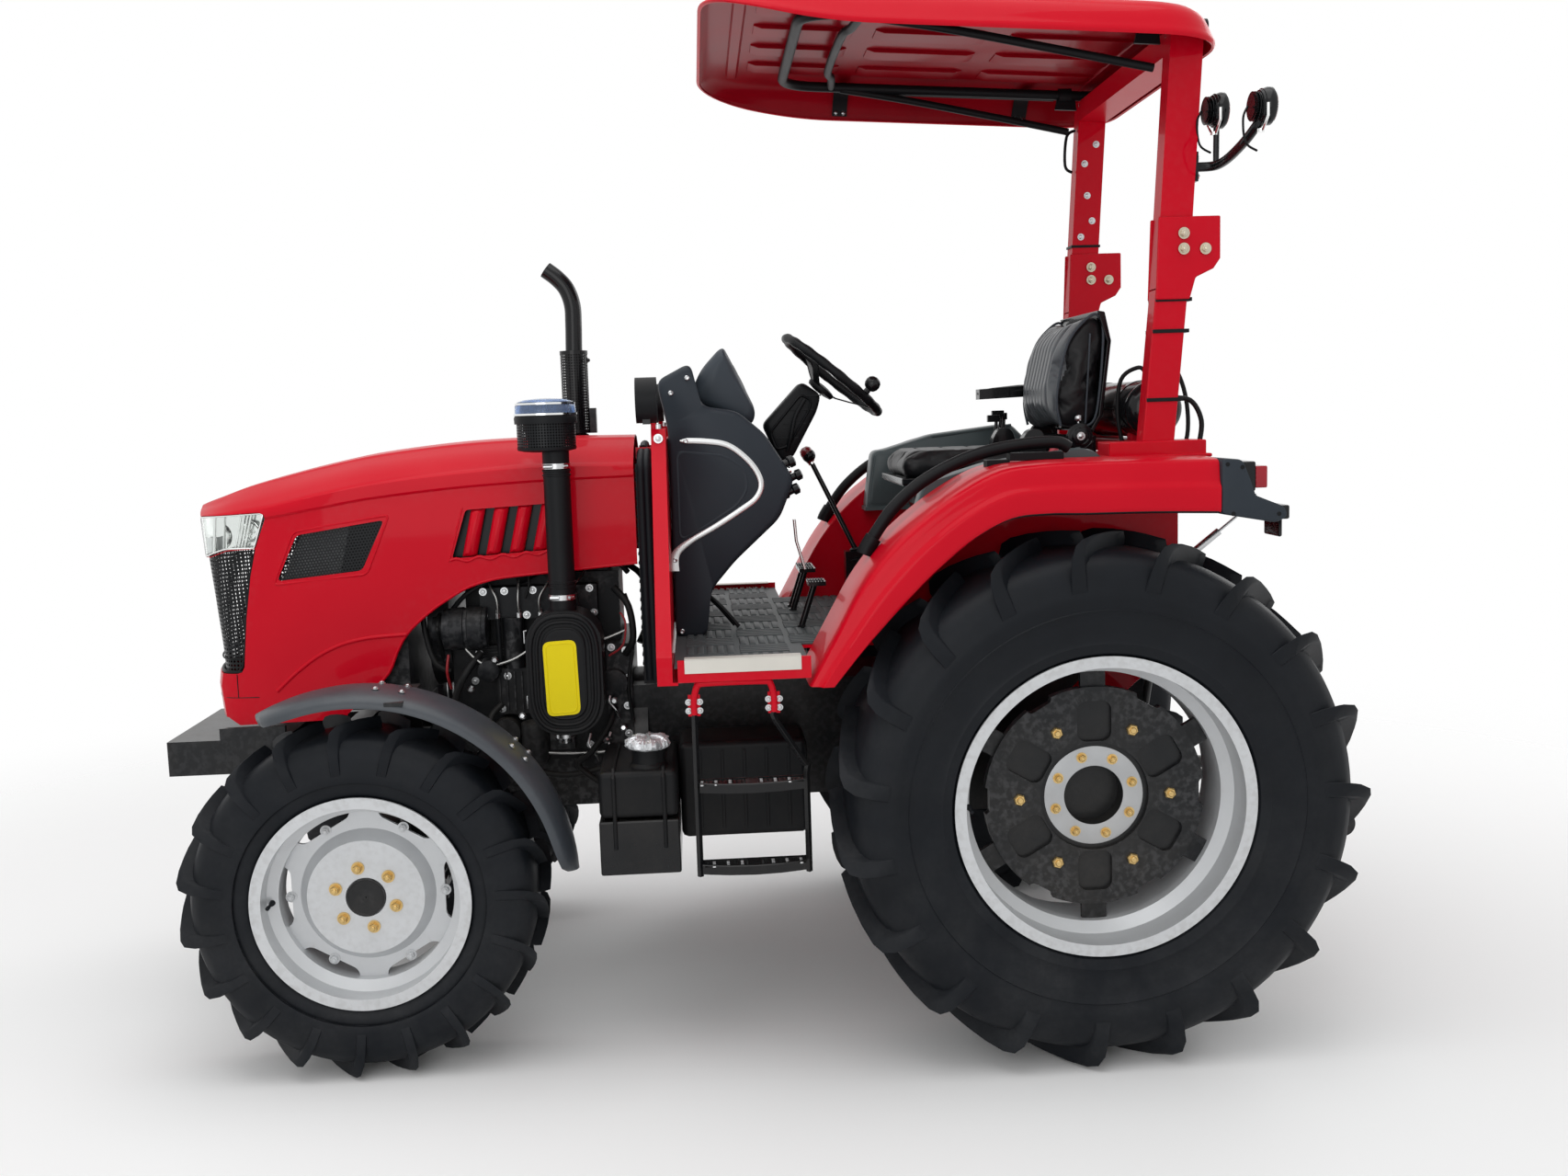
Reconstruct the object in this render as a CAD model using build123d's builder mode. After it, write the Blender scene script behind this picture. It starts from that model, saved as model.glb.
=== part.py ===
from build123d import *
import os
from math import asin, atan, cos, degrees, radians, sin, sqrt, tan

os.makedirs("parts", exist_ok=True)

# A four wheel drive farm tractor, in millimetres. +X is forward, +Y is the driver's left, +Z is up.
# The origin is on the ground, half way between the front bracket and the ball ends of the lower links.

# Wheels and axles
wheelbase = 1877.0
rear_tyre_radius = 680.0
rear_tyre_width = 378.0
rear_track = 1410.0
rear_rim_radius = 381.0
rear_rim_width = 330.0
front_tyre_radius = 470.0
front_tyre_width = 241.0
front_track = 1170.0
front_rim_radius = 279.0
front_rim_width = 220.0
rim_gauge = 7.0
flange_depth = 22.0
tyre_facets = 19
lug_count = 19
lug_slant = 45.0
lug_root = 10.0
lug_share = 0.9
tread_flat = 0.6
shoulder_share = 0.86
mouth_share = 1.13
rear_lug_height = 38.0
rear_lug_gauge = 44.0
front_lug_height = 30.0
front_lug_gauge = 32.0
kingpin_y = front_track / 2 - 130


def lug_reach(width, gauge):
    """A lug's length, and how far round the tyre its far corners are from its middle."""
    slant = radians(lug_slant)
    long = (lug_share * width / 2 - lug_root - gauge * cos(slant)) / sin(slant)
    return long, long / 2 * cos(slant) + gauge / 2 * sin(slant)


def standing_height(radius, width, gauge):
    """How high the axle is when the tyre stands on the two lug corners either side of its lowest point."""
    corner = degrees(asin(lug_reach(width, gauge)[1] / radius))
    return radius * cos(radians(180 / lug_count - corner))


# Chassis: how far it reaches ahead of and behind the rear axle
front_reach = wheelbase + 610
link_reach = 850.0
rear_x = -(front_reach - link_reach) / 2
front_x = rear_x + wheelbase
rear_z = standing_height(rear_tyre_radius, rear_tyre_width, rear_lug_gauge)
front_z = standing_height(front_tyre_radius, front_tyre_width, front_lug_gauge)
fit_gap = 0.5
pin_gap = 0.3
move_gap = 5.0

# Body, with heights above the rear axle
floor_rise = 380.0
floor_gauge = 8.0
body_half = 800.0
hood_half = 266.0
hood_gauge = 5.0
fender_out = rear_track / 2 + 125
fender_in = (rear_track - rear_tyre_width) / 2 - 23
fender_gauge = 8.0
deck_half = fender_in - 113
post_y = fender_in - 36
post_width = 60.0
post_depth = 87.0
canopy_half = 620.0
canopy_gauge = 6.0


def spot(ahead, rise):
    """A point in side view: how far ahead of the rear axle, and how far above it."""
    return (rear_x + ahead, rear_z + rise)


def side_plane(y):
    """A plane seen from the tractor's left, whose extrusions run to its right."""
    return Plane(origin=(0, y, 0), x_dir=(1, 0, 0), z_dir=(0, -1, 0))


def wheel_plane(x, z):
    """A half plane through a wheel's axis, with (distance out, radius) as its points."""
    return Plane(origin=(x, 0, z), x_dir=(0, 1, 0), z_dir=(1, 0, 0))


def wheel_face(x, y, z):
    """The same plane centred on a wheel's axis."""
    return Plane(origin=(x, y, z), x_dir=(1, 0, 0), z_dir=(0, -1, 0))


def cross_plane(ahead):
    """A plane across the tractor, so far ahead of the rear axle, that extrudes forward."""
    return Plane(origin=(rear_x + ahead, 0, rear_z), x_dir=(0, 1, 0), z_dir=(1, 0, 0))


def level_plane(rise):
    """A level plane over the middle of the rear axle, that extrudes upward."""
    return Plane(origin=(rear_x, 0, rear_z + rise), x_dir=(1, 0, 0), z_dir=(0, 0, 1))


def slab(points, y, width, mode=Mode.ADD):
    """A flat piece cut to a side outline, from its left face at y."""
    with BuildSketch(side_plane(y)) as outline:
        with BuildLine():
            Polyline(*[spot(*point) for point in points], close=True)
        make_face()
    extrude(outline.sketch, amount=width, mode=mode)


def block(ahead, across, rise, mode=Mode.ADD):
    """A box between (low, high) pairs: ahead of the rear axle, across, above the rear axle."""
    middle = [(low + high) / 2 for low, high in (ahead, across, rise)]
    with Locations((rear_x + middle[0], middle[1], rear_z + middle[2])):
        Box(ahead[1] - ahead[0], across[1] - across[0], rise[1] - rise[0], mode=mode)


def bar(start, end, radius, mode=Mode.ADD):
    """A round bar between two points, each (ahead, across, rise)."""
    base, tip = [Vector(rear_x + p[0], p[1], rear_z + p[2]) for p in (start, end)]
    with BuildSketch(Plane(origin=base, z_dir=tip - base)) as section:
        Circle(radius)
    extrude(section.sketch, amount=(tip - base).length, mode=mode)


def bent_tube(points, bend, radius, bore=0):
    """A tube along straight runs joined by arcs."""
    path_points = [(rear_x + p[0], p[1], rear_z + p[2]) for p in points]
    with BuildLine() as path:
        FilletPolyline(*path_points, radius=bend)
    start = path.line ^ 0
    with BuildSketch(Plane(origin=start.position, z_dir=path.line % 0)) as section:
        Circle(radius)
        if bore:
            Circle(bore, mode=Mode.SUBTRACT)
    sweep(section.sketch, path=path.line)


def save(piece, name):
    piece.part.label = name
    export_step(piece.part, f"parts/{name}.step")


# Tyres: rings of flat facets, with two staggered rows of slanted lugs out to the rolling radius
def facet_ring(face, radius, amount, fall, run):
    """A prism whose facets are at the radius, and fall away to a smaller one over the last of its length."""
    with BuildPart() as ring:
        with BuildSketch(face) as outline:
            RegularPolygon(radius, tyre_facets, major_radius=False)
        extrude(outline.sketch, amount=amount)
        end = ring.faces().sort_by(Axis(face.origin, face.z_dir))[-1]
        chamfer(end.edges(), fall, run, reference=end)
    return ring.part


def tyre_lug(x, z, middle, side, turn, radius, width, height, gauge, shoulder):
    slant = radians(lug_slant)
    long, reach = lug_reach(width, gauge)
    top = sqrt(radius ** 2 - reach ** 2)
    radial = Vector(cos(turn), 0, sin(turn))
    along = Vector(-sin(turn), 0, cos(turn)) * cos(slant) + Vector(0, side * sin(slant), 0)
    out = lug_root + long / 2 * sin(slant) + gauge / 2 * cos(slant)
    tip = (width / 2 - out) / sin(slant) + gauge
    face = Plane(origin=Vector(x, middle + side * out, z), x_dir=along, z_dir=along.cross(radial))
    with BuildSketch(face.offset(-gauge / 2)) as outline:
        with BuildLine():
            Polyline((-long / 2, top - height - 10), (-long / 2, top), (long / 2, top),
                     (tip, shoulder + height / 4), (tip, shoulder - height), close=True)
        make_face()
    extrude(outline.sketch, amount=gauge)


def tyre(x, z, radius, width, track, rim_radius, rim_width, height, gauge):
    middle = track / 2
    half = width / 2
    tread = radius - height
    shoulder = shoulder_share * radius
    mouth = mouth_share * rim_radius
    bead = rim_width / 2 - rim_gauge
    for side in (1, -1):
        face = Plane(origin=(x, middle, z), x_dir=(1, 0, 0), z_dir=(0, side, 0))
        add(facet_ring(face, tread, half, tread - shoulder, half - tread_flat * half))
    for row, side in enumerate((1, -1)):
        for count in range(lug_count):
            turn = radians((count + row / 2) * 360 / lug_count - 90)
            tyre_lug(x, z, middle, side, turn, radius, width, height, gauge, shoulder)
    with BuildSketch(wheel_face(x, middle + half, z)) as sides:
        Circle(radius + height)
    extrude(sides.sketch, amount=width, mode=Mode.INTERSECT)
    for side in (1, -1):
        face = Plane(origin=(x, middle + side * (half + 1), z), x_dir=(1, 0, 0), z_dir=(0, -side, 0))
        recess = facet_ring(face, mouth, half + 1 - bead, mouth - rim_radius - fit_gap, half - bead)
        add(recess, mode=Mode.SUBTRACT)
    with BuildSketch(wheel_face(x, middle + half, z)) as bore:
        RegularPolygon(rim_radius - flange_depth + fit_gap, tyre_facets, major_radius=False)
    extrude(bore.sketch, amount=width, mode=Mode.SUBTRACT)


with BuildPart() as rear_tyre:
    tyre(rear_x, rear_z, rear_tyre_radius, rear_tyre_width, rear_track, rear_rim_radius, rear_rim_width,
         rear_lug_height, rear_lug_gauge)

with BuildPart() as front_tyre:
    tyre(front_x, front_z, front_tyre_radius, front_tyre_width, front_track, front_rim_radius,
         front_rim_width, front_lug_height, front_lug_gauge)


# Rims: a rolled band with two flanges and a well between the bead seats
def rim_profile(track, radius, width):
    middle = track / 2
    out = width / 2
    seat = radius - flange_depth
    well = seat - 26
    points = [
        (middle - out, radius), (middle - out + rim_gauge, radius), (middle - out + rim_gauge, seat),
        (middle - 0.45 * out, seat), (middle - 0.3 * out, well), (middle + 0.3 * out, well),
        (middle + 0.45 * out, seat), (middle + out - rim_gauge, seat), (middle + out - rim_gauge, radius),
        (middle + out, radius), (middle + out, seat - rim_gauge), (middle + 0.48 * out, seat - rim_gauge),
        (middle + 0.33 * out, well - rim_gauge), (middle - 0.33 * out, well - rim_gauge),
        (middle - 0.48 * out, seat - rim_gauge), (middle - out, seat - rim_gauge),
    ]
    Polyline(*points, close=True)


rear_wheel_axis = Axis((rear_x, 0, rear_z), (0, 1, 0))
front_wheel_axis = Axis((front_x, 0, front_z), (0, 1, 0))
rear_well = rear_rim_radius - flange_depth - 26 - rim_gauge
front_well = front_rim_radius - flange_depth - 26 - rim_gauge

with BuildPart() as rear_rim:
    with BuildSketch(wheel_plane(rear_x, rear_z)):
        with BuildLine():
            rim_profile(rear_track, rear_rim_radius, rear_rim_width)
        make_face()
    revolve(axis=rear_wheel_axis)

# The rear disc: a cast plate with six pockets for its bolts, six feet on the rim's well and the hub's flange
rear_disc_y = rear_track / 2 + 47
rear_disc_radius = 284.0
rear_disc_gauge = 28.0
hub_bore = 76.2
hub_flange_radius = 132.0
disc_bolt_circle = 195.0
disc_bolts = 6
pocket_depth = 12.0
with BuildPart() as rear_disc:
    face = wheel_face(rear_x, rear_disc_y, rear_z)
    with BuildSketch(face) as plate:
        Circle(rear_disc_radius)
        with PolarLocations(rear_disc_radius, disc_bolts):
            SlotCenterToCenter(44, 26, rotation=90, mode=Mode.SUBTRACT)
    extrude(plate.sketch, amount=rear_disc_gauge)
    with BuildSketch(face.offset(pocket_depth)) as feet:
        with PolarLocations((rear_disc_radius + rear_well) / 2, disc_bolts, start_angle=30):
            Rectangle(rear_well - rear_disc_radius + 20, 64)
        Circle(rear_well - fit_gap, mode=Mode.INTERSECT)
    extrude(feet.sketch, amount=rear_disc_gauge - pocket_depth)
    with BuildSketch(face) as pockets:
        with PolarLocations(disc_bolt_circle, disc_bolts, start_angle=30):
            RectangleRounded(104, 88, 24)
        Circle(hub_flange_radius + 8)
    extrude(pockets.sketch, amount=pocket_depth, mode=Mode.SUBTRACT)
    with BuildSketch(face.offset(pocket_depth)) as flange:
        Circle(hub_flange_radius)
    extrude(flange.sketch, amount=70 - pocket_depth)
    with BuildSketch(face) as bore:
        Circle(hub_bore)
    extrude(bore.sketch, amount=60, mode=Mode.SUBTRACT)

# The front rim, with its dished disc welded in by six lobes
front_disc_y = front_track / 2 + 46
front_disc_gauge = 10.0
front_hub_bore = 52.0
front_dome = 174.0
dish_depth = 34.0
with BuildPart() as front_dish:
    with BuildSketch(wheel_plane(front_x, front_z)):
        with BuildLine():
            Polyline(
                (front_disc_y, front_hub_bore), (front_disc_y, front_dome - 24),
                (front_disc_y - dish_depth, front_dome), (front_disc_y - dish_depth, front_well + 1),
                (front_disc_y - dish_depth - front_disc_gauge, front_well + 1),
                (front_disc_y - dish_depth - front_disc_gauge, front_dome - 8),
                (front_disc_y - front_disc_gauge, front_dome - 32),
                (front_disc_y - front_disc_gauge, front_hub_bore), close=True,
            )
        make_face()
    revolve(axis=front_wheel_axis)
    with BuildSketch(wheel_face(front_x, front_disc_y, front_z)) as windows:
        with PolarLocations(front_well, 6):
            SlotCenterToCenter(110, 56, rotation=90)
    extrude(windows.sketch, amount=dish_depth + 20, mode=Mode.SUBTRACT)
    with BuildSketch(wheel_face(front_x, front_disc_y - front_disc_gauge, front_z)) as hub_pad:
        Circle(100)
    extrude(hub_pad.sketch, amount=24)
with BuildPart() as front_rim:
    with BuildSketch(wheel_plane(front_x, front_z)):
        with BuildLine():
            rim_profile(front_track, front_rim_radius, front_rim_width)
        make_face()
    revolve(axis=front_wheel_axis)
    add(front_dish.part)

for piece, name in [(rear_tyre, "rear_tyre"), (rear_rim, "rear_rim"), (rear_disc, "rear_disc"),
                    (front_tyre, "front_tyre"), (front_rim, "front_rim")]:
    save(piece, f"{name}_left")
    with BuildPart() as twin:
        mirror(piece.part, about=Plane.XZ)
    save(twin, f"{name}_right")

# Front axle: a beam on a centre pivot, with a kingpin housing at each end and the steering barrel behind
beam_rise = 90.0
beam_size = 104.0
kingpin_radius = 68.0
kingpin_low = 10.0
kingpin_high = 160.0
arm_length = 150.0
barrel_radius = 34.0
rod_radius = 14.0
rod_drop = -62.0
barrel_half = 170.0
with BuildPart() as front_axle:
    with Locations((front_x, 0, front_z + beam_rise)):
        Box(beam_size, 2 * kingpin_y, beam_size)
        Box(200, 220, 190)
    with Locations((front_x, kingpin_y, front_z + (kingpin_low + kingpin_high) / 2),
                   (front_x, -kingpin_y, front_z + (kingpin_low + kingpin_high) / 2)):
        Cylinder(kingpin_radius, kingpin_high - kingpin_low)
    with BuildSketch(wheel_face(front_x - arm_length, barrel_half, front_z + rod_drop)):
        Circle(barrel_radius)
        Circle(rod_radius + pin_gap, mode=Mode.SUBTRACT)
    extrude(amount=2 * barrel_half)
    with Locations((front_x - arm_length / 2 - 40, 0, front_z + rod_drop + barrel_radius + 36)):
        Box(arm_length - 20, 160, 90)
    with BuildSketch(wheel_face(front_x - arm_length, barrel_half, front_z + rod_drop)):
        Circle(rod_radius + pin_gap)
    extrude(amount=2 * barrel_half, mode=Mode.SUBTRACT)

# Steering rod: one rod through the barrel, with an eye under each knuckle's arm
eye_y = kingpin_y - 25
arm_drop = -46.0
with BuildPart() as steering_rod:
    with BuildSketch(wheel_face(front_x - arm_length, eye_y - 20, front_z + rod_drop)):
        Circle(rod_radius)
    extrude(amount=2 * (eye_y - 20))
    with Locations(*[(front_x - arm_length, side * eye_y, front_z + rod_drop) for side in (1, -1)]):
        Cylinder(26, 2 * rod_radius)
save(steering_rod, "steering_rod")

# Knuckles: the wheel's final drive case, its steering arm and the mudguard's bracket
spindle_y = kingpin_y + 73
spindle_radius = 84.0
guard_gap = 74.0
guard_radius = front_tyre_radius + guard_gap
guard_gauge = 6.0
guard_in = front_track / 2 - 105
guard_out = front_track / 2 + 107
bracket_x = 112.0
with BuildPart() as knuckle:
    with Locations((front_x, kingpin_y, front_z - 44)):
        Cylinder(kingpin_radius + 4, 2 * (kingpin_low + 44) - 4)
    with BuildSketch(wheel_face(front_x, front_disc_y - front_disc_gauge - 24 - pin_gap, front_z)):
        Circle(spindle_radius)
    extrude(amount=front_disc_y - front_disc_gauge - 24 - pin_gap - spindle_y)
    with Locations((front_x, (kingpin_y + spindle_y + 30) / 2, front_z - 42)):
        Box(130, spindle_y + 30 - kingpin_y, 2 * (kingpin_low + 42) - 6)
    with Locations((front_x - arm_length / 2 - 12, eye_y, front_z + arm_drop + 14)):
        Box(arm_length + 24, 46, 24)
    bracket_z = sqrt(guard_radius ** 2 - bracket_x ** 2)
    with Locations((front_x - bracket_x, eye_y + 10, front_z + (bracket_z - 14 + arm_drop) / 2)):
        Box(46, 12, bracket_z - 14 - arm_drop)
    with Locations((front_x - bracket_x, (eye_y + 4 + guard_out) / 2, front_z + bracket_z - 20)):
        Box(46, guard_out - eye_y - 4, 10)
save(knuckle, "knuckle_left")
with BuildPart() as knuckle_right:
    mirror(knuckle.part, about=Plane.XZ)
save(knuckle_right, "knuckle_right")

# Front mudguards: a curved plastic strip over each wheel with rolled down edges
guard_front_angle = 58.0
guard_rear_angle = 176.0
guard_lip = 10.0


def guard_arc(inner, y, width):
    """An arched strip from the guard's outer face in to a radius."""
    ends = (guard_front_angle, guard_rear_angle)
    with BuildSketch(wheel_face(front_x, y, front_z)) as strip:
        with BuildLine():
            for radius in (guard_radius + guard_gauge, inner):
                CenterArc((0, 0), radius, ends[0], ends[1] - ends[0])
            for turn in (radians(angle) for angle in ends):
                Line((inner * cos(turn), inner * sin(turn)),
                     ((guard_radius + guard_gauge) * cos(turn), (guard_radius + guard_gauge) * sin(turn)))
        make_face()
    extrude(strip.sketch, amount=width)


with BuildPart() as mudguard:
    guard_arc(guard_radius, guard_out, guard_out - guard_in)
    guard_arc(guard_radius - guard_lip, guard_out, 4)
    guard_arc(guard_radius - guard_lip, guard_in + 4, 4)
save(mudguard, "mudguard_left")
with BuildPart() as mudguard_right:
    mirror(mudguard.part, about=Plane.XZ)
save(mudguard_right, "mudguard_right")

# Front frame: two rails from the engine, the axle's pivot casting and the front weight bracket
rail_half = 150.0
bracket_half = 235.0
bracket_low = 40.0
bracket_high = 137.0
bracket_back = wheelbase + 284
engine_front = wheelbase - 177
pivot_rise = front_z + beam_rise - rear_z
with BuildPart() as front_frame:
    for side in (1, -1):
        block((engine_front, bracket_back + 40), (side * rail_half - 14, side * rail_half + 14), (20, 130))
        block((bracket_back, front_reach), (side * bracket_half - 8, side * bracket_half + 8),
              (bracket_low, bracket_high))
        block((bracket_back, bracket_back + 180), (side * bracket_half - 8, side * bracket_half + 8),
              (bracket_high, bracket_high + 33))
    block((bracket_back, bracket_back + 24), (-bracket_half, bracket_half), (bracket_low, bracket_high))
    block((front_reach - 14, front_reach), (-bracket_half, bracket_half), (bracket_low, bracket_high))
    block((bracket_back, front_reach), (-bracket_half, bracket_half), (bracket_high - 12, bracket_high))
    for ahead in (wheelbase + 100 + move_gap, wheelbase - 160 - move_gap):
        block((ahead, ahead + 60), (-rail_half, rail_half), (pivot_rise - 33, 130))
    bar((wheelbase - 160 - move_gap, 0, pivot_rise), (wheelbase + 160 + move_gap, 0, pivot_rise),
        34 - pin_gap)
save(front_frame, "front_frame")

# The pivot pin passes through the middle of the axle beam
with BuildPart() as pivoted_axle:
    add(front_axle.part)
    bar((wheelbase - 120, 0, pivot_rise), (wheelbase + 120, 0, pivot_rise), 34, mode=Mode.SUBTRACT)
save(pivoted_axle, "front_axle")

# Engine: crankcase, head and sump, with the pump, manifolds, filters and pulleys that are bolted to them
engine_back = 1190.0
engine_half = 205.0
head_half = 120.0
engine_blocks = [
    # ahead, across, rise
    ((engine_back, engine_front), (-150, 150), (20, 360)),
    ((engine_back, engine_back + 70), (-engine_half, engine_half), (20, 360)),
    ((engine_back + 30, engine_front - 40), (-head_half, head_half), (360, 560)),
    ((engine_back + 60, engine_front - 80), (-90, 90), (560, 660)),
    ((engine_back + 40, engine_front - 120), (-140, 140), (-120, 20)),
    ((engine_back + 160, engine_front - 130), (150, engine_half), (170, 300)),
    ((engine_back + 100, engine_front - 100), (-engine_half, -head_half), (420, 540)),
    ((engine_back + 90, engine_front - 90), (head_half, 185), (440, 530)),
    ((engine_back + 170, engine_back + 240), (145, engine_half), (60, 130)),
]
engine_bars = [
    # start, end and radius; each point is (ahead, across, rise)
    ((engine_front, 0, 420), (engine_front + 60, 0, 420), 190),
    ((engine_front - 1, 0, 215), (engine_front + 44, 0, 215), 80),
    ((engine_front - 110, 200, 420), (engine_front + 10, 200, 420), 58),
    ((engine_front + 10, 200, 420), (engine_front + 40, 200, 420), 36),
    ((engine_front - 60, 140, 120), (engine_front - 60, 245, 120), 46),
    ((engine_front - 150, 149, 120), (engine_front - 150, 230, 120), 40),
    ((engine_back + 60, -190, 90), (engine_back + 290, -190, 90), 52),
    ((engine_back + 120, 0, 659), (engine_back + 120, 0, 700), 34),
    ((engine_back + 330, 182, 300), (engine_back + 330, 182, 445), 30),
]
with BuildPart() as engine:
    for ahead, across, rise in engine_blocks:
        block(ahead, across, rise)
    for start, end, radius in engine_bars:
        bar(start, end, radius)
    for cylinder in range(4):
        ahead = engine_back + 190 + 60 * cylinder
        bar((ahead, 185, 290), (ahead, 205, 445), 7)
    bent_tube([(engine_front - 60, 60, 559), (engine_front - 60, 60, 640), (engine_front + 110, 60, 640)],
              50, 24)
save(engine, "engine")

# Radiator pack, just behind the front grille
with BuildPart() as radiator:
    block((engine_front + 110, engine_front + 190), (-225, 225), (190, 690))
    block((engine_front + 104, engine_front + 196), (-rail_half - 14, rail_half + 14), (130, 190))
    bar((engine_front + 150, 0, 690), (engine_front + 150, 0, 740), 34)
save(radiator, "radiator")

# Transmission: clutch housing, gearbox and the rear axle with its two trumpets
trumpet_radius = 105.0
hub_face = rear_disc_y - 70.0
pto_rise = -70.0
pto_radius = 17.5
top_pin_radius = 9.7
leg_foot = 110.0
rock_ahead = -245.0
rock_rise = 300.0
rock_radius = 22.0
link_ahead = -60.0
link_rise = -140.0
link_in = 255.0
link_pin = 16.0
gearbox_half = 165.0
gearbox_top = 230.0
axle_half = 215.0
axle_front = 260.0
axle_back = -290.0
axle_top = 290.0
lift_top = 345.0
with BuildPart() as transmission:
    block((axle_front, engine_back), (-gearbox_half, gearbox_half), (-110, gearbox_top))
    bar((engine_back - 40, 0, 60), (engine_back, 0, 60), gearbox_half + 30)
save(transmission, "transmission")

with BuildPart() as rear_axle:
    block((axle_back, axle_front), (-axle_half, axle_half), (-170, axle_top))
    for side in (1, -1):
        bar((0, side * 200, 0), (0, side * (hub_face - 120), 0), trumpet_radius)
        bar((0, side * (hub_face - 140), 0), (0, side * (hub_face - pin_gap), 0), 140)
        block((-60, 60), (side * post_y - 28, side * post_y + 28), (40, leg_foot))
        bar((link_ahead, side * axle_half, link_rise), (link_ahead, side * (link_in + 34), link_rise),
            link_pin)
    block((axle_back, 40), (-axle_half, axle_half), (axle_top, lift_top))
    bar((rock_ahead, -axle_half - 1, rock_rise), (rock_ahead, axle_half + 1, rock_rise), rock_radius + pin_gap,
        mode=Mode.SUBTRACT)
    block((rock_ahead - 15, rock_ahead + 15), (-150, 150), (axle_top - 40, lift_top))
    bar((axle_back, 0, pto_rise), (axle_back - 100, 0, pto_rise), pto_radius)
    block((axle_back - 50, axle_back), (-28, 28), (170, 240))
    block((axle_back - 51, axle_back - 10), (-16, 16), (160, 250), mode=Mode.SUBTRACT)
    bar((axle_back - 28, -30, 205), (axle_back - 28, 30, 205), top_pin_radius, mode=Mode.SUBTRACT)
    bar((axle_back - 10, 0, pto_rise), (axle_back - 28, 0, pto_rise), 48)
save(rear_axle, "rear_axle")

# Drawbar: a flat swinging bar in its hanger, with one pin hole at the rear
drawbar_rise = -250.0
drawbar_gauge = 30.0
drawbar_end = 640.0
drawbar_hole = 16.0
with BuildPart() as drawbar:
    block((-drawbar_end, 60), (-35, 35), (drawbar_rise, drawbar_rise + drawbar_gauge))
    with Locations((rear_x - drawbar_end + 50, 0, rear_z + drawbar_rise + drawbar_gauge / 2)):
        Hole(drawbar_hole)
    for ahead in (-270, 0):
        for side in (1, -1):
            block((ahead, ahead + 30), (side * 60 - 15, side * 60 + 15), (drawbar_rise, -170))
        block((ahead, ahead + 30), (-75, 75), (drawbar_rise - 20, drawbar_rise))
save(drawbar, "drawbar")

# Fuel tank on the left and battery box on the right, hung from the gearbox
tank_front = wheelbase - 605
tank_rear = 709.0
tank_step = 1062.0
tank_in = 250.0
tank_out = body_half - 180
tank_top = 87.0
with BuildPart() as fuel_tank:
    block((tank_step, tank_front), (tank_in, tank_out), (-192, tank_top))
    block((tank_rear, tank_step), (tank_in, tank_out - 160), (-147, 121))
    bar((tank_step + 77, tank_out - 70, tank_top), (tank_step + 77, tank_out - 70, tank_top + 53), 46)
    bar((tank_step + 77, tank_out - 70, tank_top + 49), (tank_step + 77, tank_out - 70, tank_top + 79), 58)
    for ahead in (tank_rear + 60, tank_step + 18):
        block((ahead, ahead + 40), (gearbox_half, tank_in), (-60, 0))
save(fuel_tank, "fuel_tank")

with BuildPart() as battery_box:
    block((tank_step - 62, tank_front), (-tank_out + 60, -tank_in), (-150, 60))
    block((tank_step - 22, tank_step + 18), (-tank_in, -gearbox_half), (-60, 0))
save(battery_box, "battery_box")

# Platform: the floor, its side sills and the raised seat deck between the fenders
floor_back = 640.0
floor_front = 1049.0
deck_rise = 560.0
with BuildPart() as platform:
    block((-120, floor_front), (-fender_in, fender_in), (floor_rise - floor_gauge, floor_rise))
    block((floor_back + 80, floor_front), (-body_half, body_half), (floor_rise - floor_gauge, floor_rise))
    for side in (1, -1):
        block((floor_back + 80, floor_front), (side * body_half - 4, side * body_half + 4),
              (floor_rise - 33, floor_rise + 22))
    for ahead in (300, 900):
        for side in (1, -1):
            block((ahead, ahead + 60), (side * 120 - 30, side * 120 + 30),
                  (gearbox_top, floor_rise - floor_gauge))
    slab([(330, floor_rise), (290, deck_rise), (-250, deck_rise), (-250, floor_rise - floor_gauge),
          (-120, floor_rise - floor_gauge), (-120, floor_rise)], deck_half, 2 * deck_half)
save(platform, "platform")

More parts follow.
